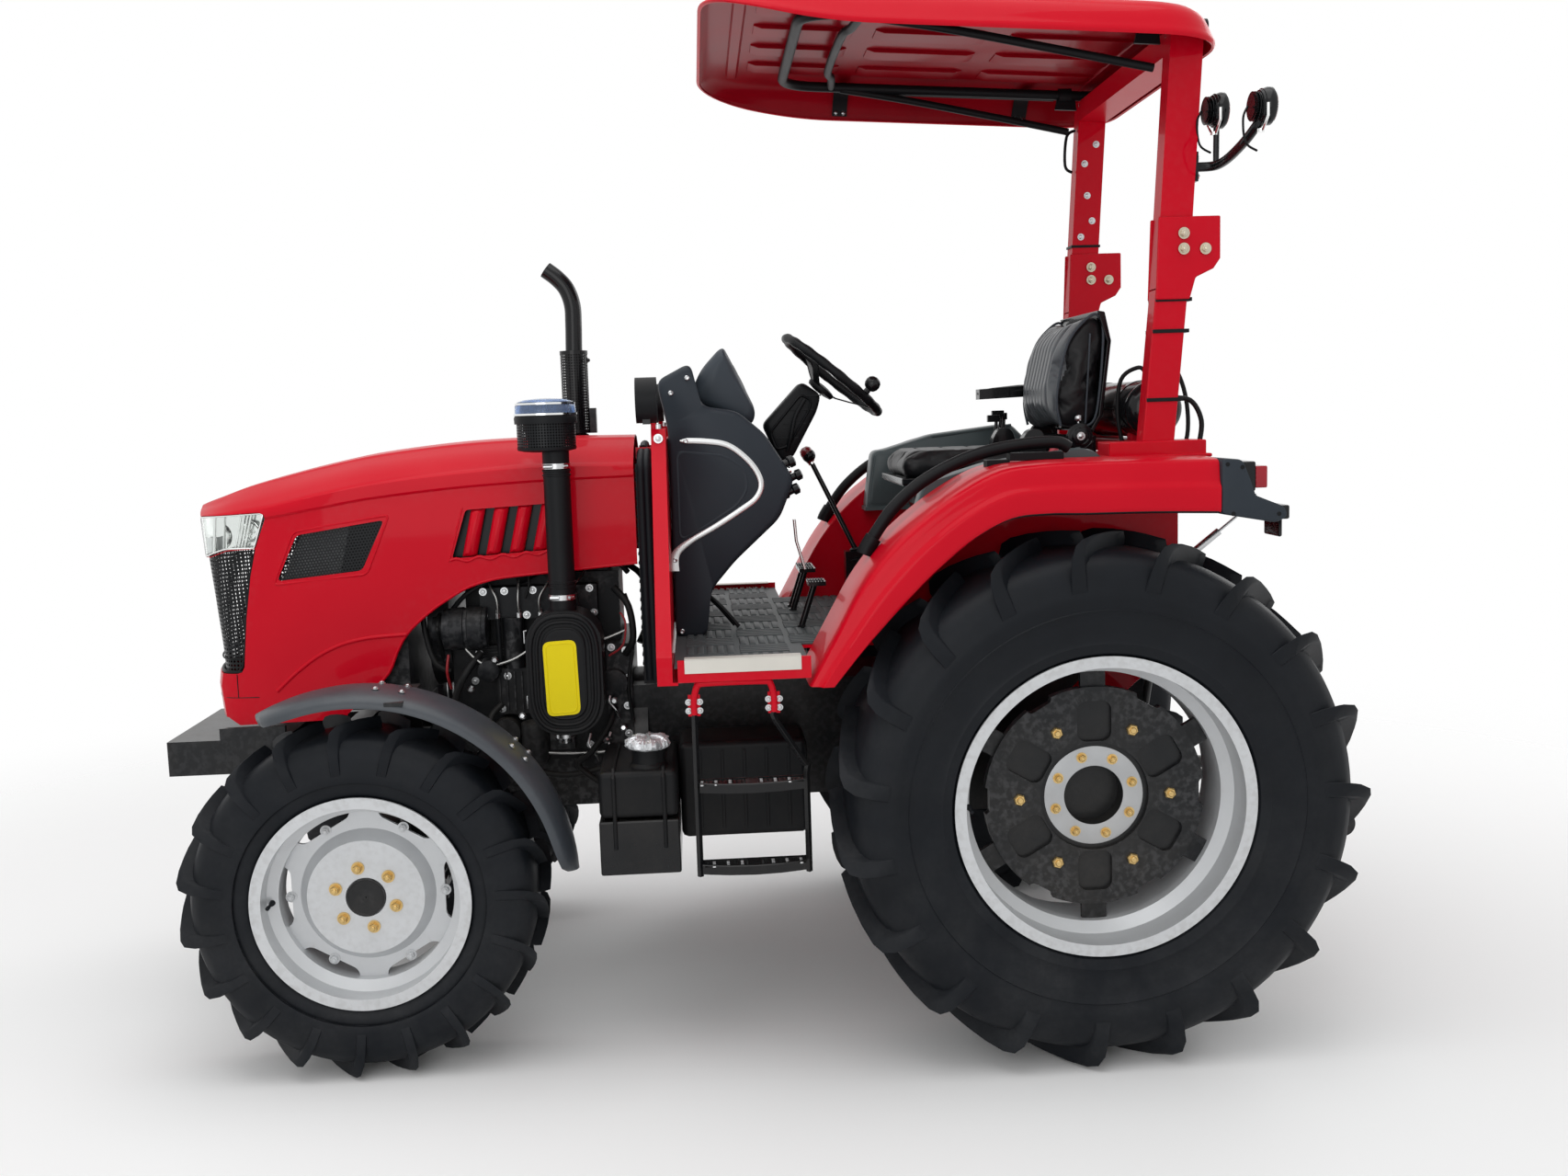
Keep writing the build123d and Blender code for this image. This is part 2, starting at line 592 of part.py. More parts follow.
# Pillar frame: a red folded frame each side of the dash, from the floor to lamp height
pillar_back = 1062.0
pillar_depth = 38.0
pillar_top = 965.0
lamp_foot = pillar_top + 16
pillar_top_y = 450.0
hood_back = 1158.0
hood_hinge = (1140.0, 896.0)
hinge_y = 150.0
with BuildPart() as pillar_frame:
    for side in (1, -1):
        with BuildSketch(cross_plane(pillar_back)) as face:
            with BuildLine():
                Polyline((side * 330, floor_rise - 33), (side * body_half, floor_rise - 33),
                         (side * body_half, floor_rise + 30), (side * pillar_top_y, pillar_top),
                         (side * 330, pillar_top), close=True)
            make_face()
        extrude(face.sketch, amount=6)
        with BuildSketch(cross_plane(pillar_back)) as edge:
            with BuildLine():
                Polyline((side * (body_half - 32), floor_rise - 33), (side * body_half, floor_rise - 33),
                         (side * body_half, floor_rise + 30), (side * pillar_top_y, pillar_top),
                         (side * (pillar_top_y - 32), pillar_top), (side * (body_half - 32), floor_rise + 20),
                         close=True)
            make_face()
        extrude(edge.sketch, amount=pillar_depth)
        block((pillar_back - 13, pillar_back + pillar_depth),
              (min(side * 330, side * body_half), max(side * 330, side * body_half)),
              (floor_rise - 40, floor_rise - 33))
        post = (pillar_back + 30, side * (pillar_top_y - 10))
        bar((*post, pillar_top - 4), (*post, lamp_foot), 8)
        lug = side * (hinge_y - 6)
        block((pillar_back, hood_hinge[0] + 14), (lug - 4, lug + 4), (hood_hinge[1] - 16, hood_hinge[1] + 16))
        bar((hood_hinge[0], lug, hood_hinge[1]), (hood_hinge[0], side * (hinge_y + 12), hood_hinge[1]), 8)
    block((pillar_back, pillar_back + pillar_depth), (-330, 330), (floor_rise - 40, floor_rise + 20))
    block((pillar_back, pillar_back + 6), (-331, 331), (floor_rise, pillar_top - 30))
save(pillar_frame, "pillar_frame")

# Round lamps on the pillars' tops, facing forward
pillar_lamp_radius = 60.0
with BuildPart() as pillar_lamps:
    for side in (1, -1):
        ahead, across, rise = (pillar_back + 47, side * (pillar_top_y - 10), pillar_top + 76)
        bar((ahead - 28, across, rise), (ahead + 28, across, rise), pillar_lamp_radius)
        bar((ahead - 17, across, lamp_foot), (ahead - 17, across, rise), 12)
save(pillar_lamps, "pillar_lamps")

# Bulkhead: a black tray between the pillars and the hood's rear opening
tray_inset = 14.0
tray_rim = 20.0
tray_low = 250.0
tray_high = 868.0
with BuildPart() as bulkhead:
    tray_half = hood_half - tray_inset
    tray_back = pillar_back + pillar_depth + fit_gap
    block((tray_back, tray_back + 8), (-tray_half, tray_half), (tray_low, tray_high))
    for side in (1, -1):
        block((tray_back, hood_back - move_gap), (side * tray_half - (tray_rim if side > 0 else 0),
              side * tray_half + (0 if side > 0 else tray_rim)), (tray_low, tray_high))
save(bulkhead, "bulkhead")

# Steps: a two tread ladder under each sill, with a bent rear rail and treads bowed outwards
step_front = 1018.0
step_back = 733.0
rail_size = 12.0
rail_jog = 75.0
tread_rises = (-140, 68)
tread_gauge = 24.0
tread_bow = 30.0
with BuildPart() as steps:
    for side in (1, -1):
        across = (side * body_half - 22, side * body_half + 22)
        block((step_front - rail_size, step_front), across, (tread_rises[0], floor_rise - 33))
        slab([(step_back, tread_rises[0]), (step_back, 118), (step_back + rail_jog, 235),
              (step_back + rail_jog, floor_rise - 33), (step_back + rail_jog + rail_size, floor_rise - 33),
              (step_back + rail_jog + rail_size, 230), (step_back + rail_size, 113),
              (step_back + rail_size, tread_rises[0])], across[1], 44)
        for rise in tread_rises:
            inner, outer = side * (body_half - 40), side * (body_half + 40)
            with BuildSketch(level_plane(rise)) as tread:
                with BuildLine():
                    Polyline((step_back, outer), (step_back, inner), (step_front, inner),
                             (step_front, outer))
                    ThreePointArc((step_front, outer),
                                  ((step_front + step_back) / 2, outer + side * tread_bow),
                                  (step_back, outer))
                make_face()
            extrude(tread.sketch, amount=tread_gauge)
save(steps, "steps")

# Dash cowl with the instrument pod on top, both moulded with rounded corners
cowl_half = 290.0
pod_half = 160.0
cowl_round = 26.0


def moulding(points, corner, half):
    """A slab with rounded corners, the same each side of the tractor's middle."""
    with BuildSketch(side_plane(half)) as outline:
        with BuildLine():
            FilletPolyline(*[spot(*point) for point in points], radius=corner, close=True)
        make_face()
    extrude(outline.sketch, amount=2 * half)


with BuildPart() as cowl_pod:
    moulding([(1000, 1040), (962, 1124), (897, 1192), (880, 1160), (806, 1004), (821, 960)], 10, pod_half)
with BuildPart() as dash_cowl:
    moulding([(pillar_back - 4, floor_rise), (pillar_back - 4, 960), (1085, 1094), (990, 1142), (962, 1022),
              (866, 1006), (790, 940), (712, 812), (756, 706), (885, 590), (955, 510), (971, floor_rise)],
             cowl_round, cowl_half)
    block((pillar_back - 34, pillar_back - 4), (-cowl_half, cowl_half), (floor_rise, floor_rise + 40))
    block((941, 971), (-cowl_half, cowl_half), (floor_rise, floor_rise + 40))
    add(cowl_pod.part)
save(dash_cowl, "dash_cowl")

# Steering column and wheel, square to a line that leans back from the cowl
wheel_hub = (574.0, 1102.0)
column_lean = 40.2
steering_wheel_radius = 172.0
grip_radius = 14.0
lean = radians(column_lean)
with BuildPart() as steering_column:
    slab([(735, 850), (785, 963), (668, 1086), (612, 1046), (624, 1000), (700, 864)], 55, 110)
    shaft_low = (wheel_hub[0] + 120 * sin(lean), wheel_hub[1] - 120 * cos(lean))
    shaft_high = (wheel_hub[0] + 48 * sin(lean), wheel_hub[1] - 48 * cos(lean))
    bar((shaft_low[0], 0, shaft_low[1]), (shaft_high[0], 0, shaft_high[1]), 16)
save(steering_column, "steering_column")

column_dir = Vector(-sin(lean), 0, cos(lean))
hub_point = Vector(rear_x + wheel_hub[0], 0, rear_z + wheel_hub[1])
with BuildPart() as steering_wheel:
    ring_plane = Plane(origin=hub_point, x_dir=(0, 1, 0), z_dir=column_dir)
    across_grip = column_dir.cross(Vector(0, 1, 0))
    with BuildSketch(Plane(origin=hub_point, x_dir=(0, 1, 0), z_dir=across_grip)) as grip:
        with Locations((steering_wheel_radius - grip_radius, 0)):
            Circle(grip_radius)
    revolve(grip.sketch, axis=Axis(hub_point, column_dir))
    with BuildSketch(ring_plane.offset(-46)) as boss:
        Circle(36)
    extrude(boss.sketch, amount=34)
    reach = steering_wheel_radius - grip_radius
    start = hub_point - column_dir * 28
    for turn in (90, 210, 330):
        angle = radians(turn)
        end = hub_point + ring_plane.x_dir * (reach * cos(angle)) + ring_plane.y_dir * (reach * sin(angle))
        with BuildSketch(Plane(origin=start, z_dir=end - start)) as spoke:
            Circle(9)
        extrude(spoke.sketch, amount=(end - start).length)
save(steering_wheel, "steering_wheel")

# Hood: a pressed shell from the dash to the nose, open below. Each section gives
# (ahead, half width, rise of the side crease, rise of the top)
hood_low = 180.0
hood_nose = wheelbase + 524
hood_sections = [
    (hood_back, hood_half - 4, 843, 947), (wheelbase - 472, hood_half, 838, 950),
    (wheelbase - 205, hood_half, 827, 943), (wheelbase + 62, hood_half - 6, 806, 914),
    (wheelbase + 330, hood_half - 30, 778, 854), (hood_nose, hood_half - 56, 740, 786),
]
nose_line = [(hood_nose, 786), (hood_nose - 55, 645), (hood_nose - 79, 351), (hood_nose - 71, 312),
             (hood_nose - 73, hood_low - 10)]
nose_sweep = 82.0
arch_start = (wheelbase - 15, 311)
arch_middle = (wheelbase - 125, 470)
arch_end = (wheelbase - 333, 565)
mesh_window = [(wheelbase + 278, 580), (wheelbase + 207, 704), (wheelbase - 29, 737), (wheelbase + 37, 602)]
lamp_window = [(hood_nose + 19, 752), (hood_nose - 229, 762), (hood_nose - 195, 668), (hood_nose + 19, 652)]
louvre_count = 6
louvre_pitch = 42.0
louvre_width = 20.0
louvre_start = (wheelbase - 437, 643)
louvre_lean = 26.0
louvre_height = 116.0
grille_low = 351.0
grille_high = 645.0
grille_half = 190.0


def hood_loft(inset, back):
    for ahead, half, crease, top in hood_sections:
        ahead = back if ahead == hood_back else ahead
        with BuildSketch(cross_plane(ahead)) as section:
            out, high = half - inset, top - inset
            low = hood_low - 10 * inset
            brow = crease + 0.55 * (top - crease) - inset
            with BuildLine():
                Polyline((-out + 42, brow), (-out, crease - inset), (-out, low), (out, low),
                         (out, crease - inset), (out - 42, brow))
                ThreePointArc((out - 42, brow), (0, high), (-out + 42, brow))
            make_face()
        yield section.sketch


def nose_cut(shift):
    """Takes off what is ahead of the nose, both seen from the side and seen from above."""
    front = [(ahead - shift, rise) for ahead, rise in nose_line]
    slab(front + [(hood_nose + 200, 0), (hood_nose + 200, 900), (front[0][0], 900)],
         hood_half, 2 * hood_half, mode=Mode.SUBTRACT)
    tip, corner = hood_nose - shift, hood_nose - nose_sweep - shift
    with BuildSketch(level_plane(0)) as before_nose:
        with BuildLine():
            ThreePointArc((corner, -hood_half), (tip, 0), (corner, hood_half))
            Polyline((corner, hood_half), (hood_nose + 200, hood_half), (hood_nose + 200, -hood_half),
                     (corner, -hood_half))
        make_face()
    extrude(before_nose.sketch, amount=hood_nose, mode=Mode.SUBTRACT)


with BuildPart() as hood_core:
    loft(list(hood_loft(hood_gauge, hood_back - 40)), ruled=True)
    nose_cut(hood_gauge)

with BuildPart() as hood_body:
    loft(list(hood_loft(0, hood_back)), ruled=True)
    nose_cut(0)

with BuildPart() as hood:
    add(hood_body.part)
    add(hood_core.part, mode=Mode.SUBTRACT)
    with BuildSketch(side_plane(hood_half + 1)) as arch:
        with BuildLine():
            ThreePointArc(spot(*arch_start), spot(*arch_middle), spot(*arch_end))
            Polyline(spot(*arch_end), spot(hood_back - 60, 596), spot(hood_back - 60, 0),
                     spot(wheelbase + 101, 0), spot(wheelbase + 101, 192), spot(*arch_start))
        make_face()
    extrude(arch.sketch, amount=2 * hood_half + 2, mode=Mode.SUBTRACT)
    slab(mesh_window, hood_half + 1, 2 * hood_half + 2, mode=Mode.SUBTRACT)
    for count in range(louvre_count):
        ahead, rise = louvre_start[0] + count * louvre_pitch, louvre_start[1] - count * 2
        slab([(ahead, rise), (ahead + louvre_width, rise),
              (ahead + louvre_width - louvre_lean, rise + louvre_height),
              (ahead - louvre_lean, rise + louvre_height)],
             hood_half + 1, 2 * hood_half + 2, mode=Mode.SUBTRACT)
    for side in (1, -1):
        slab(lamp_window, max(side * hood_half, side * 110), hood_half - 110, mode=Mode.SUBTRACT)
    block((hood_nose - 150, hood_nose + 50), (-grille_half, grille_half), (grille_low, grille_high),
          mode=Mode.SUBTRACT)
    for side in (1, -1):
        low = hood_hinge[1] - 16
        slab([(1126, low), (1126, low + 32), (hood_back + 6, low + 32), (hood_back + 6, 921), (1240, 921),
              (1240, 908), (1180, low)], side * (hinge_y + 5) + 4, 8)
        bar((hood_hinge[0], side * (hinge_y - 2), hood_hinge[1]),
            (hood_hinge[0], side * (hinge_y + 14), hood_hinge[1]), 8 + pin_gap, mode=Mode.SUBTRACT)
save(hood, "hood")

with BuildPart() as hood_grilles:
    add(hood_body.part)
    add(hood_core.part, mode=Mode.SUBTRACT)
    with BuildPart(mode=Mode.PRIVATE) as windows:
        slab(mesh_window, hood_half + 1, 2 * hood_half + 2)
        block((hood_nose - 150, hood_nose + 50), (-grille_half, grille_half), (grille_low, grille_high))
    add(windows.part, mode=Mode.INTERSECT)
save(hood_grilles, "hood_grilles")

with BuildPart() as headlamps:
    add(hood_body.part)
    with BuildPart(mode=Mode.PRIVATE) as corners:
        for side in (1, -1):
            slab(lamp_window, max(side * hood_half, side * 110), hood_half - 110)
    add(corners.part, mode=Mode.INTERSECT)
save(headlamps, "headlamps")

# Air cleaner can on the engine's left, its riser and the pre-cleaner bowl
can_low = 146.0
can_high = 485.0
can_corner = 90.0
riser_y = hood_half + 100
riser_ahead = wheelbase - 517
can_in = riser_y - 81
can_out = riser_y + 49
with BuildPart() as air_cleaner:
    with BuildSketch(side_plane(can_out)) as can_outline:
        with Locations((rear_x + riser_ahead, rear_z + (can_low + can_high) / 2)):
            RectangleRounded(204, can_high - can_low, can_corner)
    extrude(can_outline.sketch, amount=can_out - can_in)
    bar((riser_ahead, riser_y, can_high - 20), (riser_ahead, riser_y, 916), 36)
    block((riser_ahead - 30, riser_ahead + 30), (engine_half, can_in + 20), (260, 300))
save(air_cleaner, "air_cleaner")
with BuildPart() as precleaner:
    bar((riser_ahead + 22, riser_y, 916), (riser_ahead + 22, riser_y, 1010), 80)
    bar((riser_ahead + 22, riser_y, 1010), (riser_ahead + 22, riser_y, 1045), 84)
    bar((riser_ahead + 22, riser_y, 1045), (riser_ahead + 22, riser_y, 1057), 70)
save(precleaner, "precleaner")

# Exhaust on the right: silencer, guarded pipe and curved tail
exhaust_y = -hood_half - 94
stack_ahead = wheelbase - 522
with BuildPart() as exhaust:
    block((stack_ahead - 30, stack_ahead + 30), (exhaust_y - 30, -engine_half), (500, 540))
    bar((stack_ahead, exhaust_y, 480), (stack_ahead, exhaust_y, 953), 40)
    bar((stack_ahead, exhaust_y, 953), (stack_ahead, exhaust_y, 1210), 43)
    bent_tube([(stack_ahead, exhaust_y, 1205), (stack_ahead - 15, exhaust_y, 1360),
               (stack_ahead + 72, exhaust_y, 1464)], 90, 27)
save(exhaust, "exhaust")

# Pedals and levers on the platform
with BuildPart() as pedals_levers:
    bar((482, -300, 550), (622, -330, 850), 8)
    with Locations((rear_x + 624, -331, rear_z + 858)):
        Sphere(22)
    block((440, 520), (-330, -270), (floor_rise, 552))
    for side, across in ((1, 210), (-1, 150), (-1, 240)):
        block((690, 712), (side * across - 11, side * across + 11), (floor_rise, floor_rise + 14))
        bar((700, side * across, floor_rise + 10), (660, side * across, floor_rise + 130), 9)
        block((630, 680), (side * across - 40, side * across + 40), (floor_rise + 128, floor_rise + 140))
save(pedals_levers, "pedals_levers")

# Fenders: an arched skin over each rear tyre, a deep outer band and an inner wall on the floor
fender_end = -300.0
fender_top = 852.0
fender_inset = 16.0
fender_band = 12.0
fender_upper = [(725, 325), (522, 646), (244, 840), (39, fender_top), (fender_end, fender_top)]
fender_lower = [(665, 325), (452, 561), (222, 728), (39, 725), (fender_end, 721)]


def fender_line(share):
    """The points of a line along the fender's side, from its upper edge at 0 to its lower edge at 1."""
    return [spot(upper[0] + share * (lower[0] - upper[0]), upper[1] + share * (lower[1] - upper[1]))
            for upper, lower in zip(fender_upper, fender_lower)]


def fender_strip(first, last, out, width):
    """The strip between two of those lines, from a plane inwards."""
    with BuildSketch(side_plane(out)) as strip:
        with BuildLine():
            for line in (fender_line(first), fender_line(last)):
                ThreePointArc(*line[:3])
                Polyline(*line[2:])
            Line(fender_line(first)[0], fender_line(last)[0])
            Line(fender_line(first)[-1], fender_line(last)[-1])
        make_face()
    extrude(strip.sketch, amount=width)


with BuildPart() as fenders:
    fender_strip(0, 0.06, fender_out - fender_inset, fender_out - fender_inset - fender_in)
    fender_strip(0, 0.5, fender_out - fender_inset, fender_band)
    fender_strip(0.42, 0.5, fender_out, fender_inset + fender_band)
    fender_strip(0.42, 1, fender_out, fender_band)
    with BuildSketch(side_plane(fender_in + fender_gauge)) as wall:
        with BuildLine():
            line = fender_line(0)
            ThreePointArc(*line[:3])
            Polyline(*line[2:], spot(fender_end, 600), spot(-250, floor_rise - floor_gauge),
                     spot(680, floor_rise - floor_gauge), spot(700, 325), line[0])
        make_face()
    extrude(wall.sketch, amount=fender_gauge)
    mirror(about=Plane.XZ)
save(fenders, "fenders")

with BuildPart() as fender_tails:
    slab([(fender_end, fender_top), (-390, 830), (-412, 742), (-475, 724), (-468, 696), (fender_end, 690)],
         fender_out, 250)
    slab([(-380, 828), (-428, 822), (-420, 772), (-380, 770)], fender_out - 10, 90)
    mirror(about=Plane.XZ)
save(fender_tails, "fender_tails")

handle_y = fender_out - 230
with BuildPart() as grab_handles:
    bent_tube([(575, handle_y, 660), (476, handle_y, 775), (391, handle_y, 838), (271, handle_y, 892),
               (60, handle_y, fender_top + 56)], 60, 14)
    bar((559, handle_y, 621), (566, handle_y, 675), 9)
    bar((100, handle_y, fender_top), (100, handle_y, fender_top + 50), 9)
    mirror(about=Plane.XZ)
save(grab_handles, "grab_handles")

console_in = deck_half + 15
with BuildPart() as fender_consoles:
    slab([(438, 672), (411, 863), (371, 867), (217, 911), (-43, 939), (-104, 876), (-104, 690), (246, 674)],
         -console_in, fender_in - console_in)
    slab([(420, 672), (380, 800), (200, 850), (-60, 880), (-104, 850), (-104, 690)],
         fender_in, fender_in - console_in)
save(fender_consoles, "fender_consoles")

# Seat: a sprung base with one armrest, the cushion and the backrest
with BuildPart() as seat_frame:
    block((0, 330), (-150, 150), (deck_rise, 780))
    block((-60, 400), (-220, 220), (780, 800))
    block((-160, -130), (-200, 200), (780, 905))
    block((-165, -60), (-200, 200), (780, 800))
    slab([(-139, 1025), (-139, 1060), (90, 1050), (90, 1018)], -235, 60)
    block((-160, -130), (-290, -200), (870, 905))
    block((-160, -130), (-290, -250), (905, 1050))
save(seat_frame, "seat_frame")
with BuildPart() as seat_cushion:
    block((-50, 420), (-230, 230), (800.5, 905))
save(seat_cushion, "seat_cushion")
with BuildPart() as seat_backrest:
    slab([(-40, 915), (-25, 1020), (-60, 1180), (-132, 1258), (-180, 1258), (-200, 1170), (-175, 960),
          (-130, 906)], 225, 450)
save(seat_backrest, "seat_backrest")

# Roll bar: two fixed legs with cheek plates, and an upper hoop that folds back between them
fold_ahead = -374.0
fold_rise = 1391.0
splice_rise = fold_rise - 101
post_foot = fold_ahead + 129
hoop_rake = 38.0 / 608.0
reservoir_ahead = post_foot - 55
reservoir_rise = 975.0
reservoir_radius = 80.0
reservoir_half = post_y - 127
pin_radius = 12.0
cheek_gauge = 8.0
leg_half = post_width / 2 + fit_gap
with BuildPart() as rops_base:
    for side in (1, -1):
        slab([(-60, leg_foot), (60, leg_foot), (60, leg_foot + 30), (-170, 360), (post_foot + 40, 860),
              (post_foot, splice_rise), (post_foot - post_depth, splice_rise),
              (post_foot + 40 - post_depth, 860), (-260, 300), (-60, leg_foot + 20)],
             side * post_y + leg_half, 2 * leg_half)
        for face in (1, -1):
            left = side * post_y + face * (leg_half + cheek_gauge / 2) + cheek_gauge / 2
            slab([(post_foot + 5, splice_rise - 90), (post_foot - 5, fold_rise + 85),
                  (fold_ahead - 42, fold_rise + 85), (fold_ahead - 42, fold_rise - 51),
                  (post_foot - 80, splice_rise - 90)], left, cheek_gauge)
        bar((fold_ahead, side * post_y - leg_half, fold_rise),
            (fold_ahead, side * post_y + leg_half, fold_rise), pin_radius)
    block((reservoir_ahead - 40, reservoir_ahead + 40), (-post_y, post_y), (850, 890))
    for side in (1, -1):
        block((reservoir_ahead - 45, reservoir_ahead + 45), (side * 200 - 20, side * 200 + 20), (880, 915))
    bar((reservoir_ahead, -reservoir_half, reservoir_rise), (reservoir_ahead, reservoir_half, reservoir_rise),
        reservoir_radius, mode=Mode.SUBTRACT)
save(rops_base, "rops_base")

with BuildPart() as air_reservoir:
    bar((reservoir_ahead, -reservoir_half, reservoir_rise), (reservoir_ahead, reservoir_half, reservoir_rise),
        reservoir_radius)
save(air_reservoir, "air_reservoir")

canopy_front = 941.0
canopy_back = -410.0
canopy_pitch = 3.0
canopy_rise = 1935.0
canopy_height = 105.0
canopy_taper = 20.0
canopy_middle = (canopy_front + canopy_back) / 2
frame_rise = 51.0
frame_tube = 30.0


def roof_line(ahead, offset):
    """The rise of a line along the tipped canopy, at a height above its rim."""
    pitch = radians(canopy_pitch)
    return canopy_rise + offset / cos(pitch) + (ahead - canopy_middle) * tan(pitch)


def post_point(back, rise):
    """A point on the raked post, so far behind its front face."""
    return (post_foot - back - hoop_rake * (rise - splice_rise), rise)


def post_top(back, offset):
    """Where a post's face, so far behind its front, meets a line along the canopy."""
    level = roof_line(0, offset)
    slope = tan(radians(canopy_pitch))
    ahead = (post_foot - back - hoop_rake * (level - splice_rise)) / (1 + hoop_rake * slope)
    return (ahead, roof_line(ahead, offset))


with BuildPart() as rops_upper:
    for side in (1, -1):
        slab([post_point(0, splice_rise + 2), post_top(0, frame_rise), post_top(post_depth, frame_rise),
              post_point(post_depth, splice_rise + 2)], side * post_y + post_width / 2, post_width)
        slab([(post_foot - 75, fold_rise - 46), (post_foot - 75, fold_rise + 49),
              (fold_ahead - 26, fold_rise + 41), (fold_ahead - 31, fold_rise - 31)], side * post_y + 9, 18)
        bar((fold_ahead, side * post_y - 20, fold_rise), (fold_ahead, side * post_y + 20, fold_rise),
            pin_radius + pin_gap, mode=Mode.SUBTRACT)
    slab([post_top(0, frame_rise), post_top(post_depth, frame_rise), post_top(post_depth, frame_rise - 64),
          post_top(0, frame_rise - 64)], post_y, 2 * post_y)
save(rops_upper, "rops_upper")

# Canopy: a shallow domed tray, tipped forward-up, on a tube frame bolted to the hoop
canopy_plane = Plane(origin=(rear_x + (canopy_front + canopy_back) / 2, 0, rear_z + canopy_rise),
                     x_dir=(cos(radians(canopy_pitch)), 0, sin(radians(canopy_pitch))),
                     z_dir=(-sin(radians(canopy_pitch)), 0, cos(radians(canopy_pitch))))
canopy_long = canopy_front - canopy_back
canopy_corner = 150.0
canopy_edge = 72.0
visor_back = 500.0
visor_lift = 62.0


def canopy_form(inset):
    """The canopy's outer form, or the hollow a wall's thickness inside it."""
    with BuildSketch(canopy_plane) as rim:
        RectangleRounded(canopy_long - 2 * inset, 2 * canopy_half - 2 * inset, canopy_corner - inset)
    extrude(rim.sketch, amount=canopy_height - inset, taper=canopy_taper)


with BuildPart() as canopy_hollow:
    canopy_form(canopy_gauge)
    fillet(canopy_hollow.faces().sort_by(Axis.Z)[-1].edges(), canopy_edge - canopy_gauge)
with BuildPart() as canopy:
    canopy_form(0)
    fillet(canopy.faces().sort_by(Axis.Z)[-1].edges(), canopy_edge)
    add(canopy_hollow.part, mode=Mode.SUBTRACT)
    visor_middle = (visor_back + canopy_front) / 2
    slab([(visor_back, roof_line(visor_back, -1)), (visor_middle, roof_line(visor_middle, visor_lift * 0.28)),
          (canopy_front + 1, roof_line(canopy_front, visor_lift)),
          (canopy_front + 1, canopy_rise - 60), (visor_back, canopy_rise - 60)],
         canopy_half + 1, 2 * canopy_half + 2, mode=Mode.SUBTRACT)
save(canopy, "canopy")

frame_front = canopy_front - 241
frame_back = post_top(post_depth, frame_rise)[0] + 8
frame_half = post_y - 27
with BuildPart() as canopy_frame:
    frame_middle = (frame_front + frame_back) / 2 - canopy_middle
    with BuildSketch(canopy_plane.offset(frame_rise)) as frame_ring:
        with Locations((frame_middle, 0)):
            RectangleRounded(frame_front - frame_back, 2 * frame_half, 80)
            RectangleRounded(frame_front - frame_back - 2 * frame_tube, 2 * frame_half - 2 * frame_tube, 50,
                             mode=Mode.SUBTRACT)
    extrude(frame_ring.sketch, amount=frame_tube)
    with BuildSketch(canopy_plane.offset(frame_rise + frame_tube)) as pads:
        with Locations((frame_middle, 0)):
            with GridLocations(frame_front - frame_back - 300, 2 * frame_half - frame_tube, 2, 2):
                Rectangle(40, frame_tube)
    extrude(pads.sketch, amount=canopy_height - canopy_gauge - frame_rise - frame_tube)
save(canopy_frame, "canopy_frame")

# Work lamps on a bent arm behind the left post
lamp_rise = 1606.0
with BuildPart() as work_lamps:
    slab([post_point(post_depth, lamp_rise - 36), post_point(post_depth, lamp_rise + 34),
          post_point(post_depth + 8, lamp_rise + 34), post_point(post_depth + 8, lamp_rise - 36)],
         post_y + 25, 50)
    start = post_point(post_depth + 8, lamp_rise)
    bent_tube([(start[0], post_y, lamp_rise), (start[0] - 44, post_y + 23, lamp_rise),
               (start[0] - 64, post_y + 183, lamp_rise + 34),
               (start[0] - 84, post_y + 243, lamp_rise + 74)], 30, 11)
    bar((start[0] - 49, post_y + 23, lamp_rise + 4), (start[0] - 49, post_y + 23, lamp_rise + 104), 8)
    for back, out, up in ((49, 23, 139), (89, 243, 106)):
        lamp = (start[0] - back, post_y + out, lamp_rise + up)
        bar((lamp[0] - 22, lamp[1], lamp[2]), (lamp[0] + 28, lamp[1], lamp[2]), 46)
save(work_lamps, "work_lamps")

# Three point hitch: lift arms on the rock shaft, lift rods and the lower links
lift_length = 250.0
lift_droop = 10.0
link_end_rise = -215.0
link_out = 370.0
ball_radius = 35.0
ball_bore = 11.2
link_pin_ahead = -440.0
arm_end = (rock_ahead - lift_length * cos(radians(lift_droop)),
           rock_rise - lift_length * sin(radians(lift_droop)))
share = (link_ahead - link_pin_ahead) / (link_reach - ball_radius + link_ahead)
rod_low = (link_pin_ahead, link_rise + share * (link_end_rise - link_rise))
rod_y = link_in + share * (link_out - link_in)
with BuildPart() as lift_arms:
    for side in (1, -1):
        bar((rock_ahead, side * (axle_half - 55), rock_rise),
            (rock_ahead, side * (axle_half + 75), rock_rise), rock_radius)
        slab([(rock_ahead + 36, rock_rise + 30), (rock_ahead + 36, rock_rise - 30),
              (rock_ahead, rock_rise - 38),
              (arm_end[0] - 20, arm_end[1] - 26), (arm_end[0] - 26, arm_end[1] + 22),
              (rock_ahead, rock_rise + 38)], side * 265 + 14, 28)
save(lift_arms, "lift_arms")

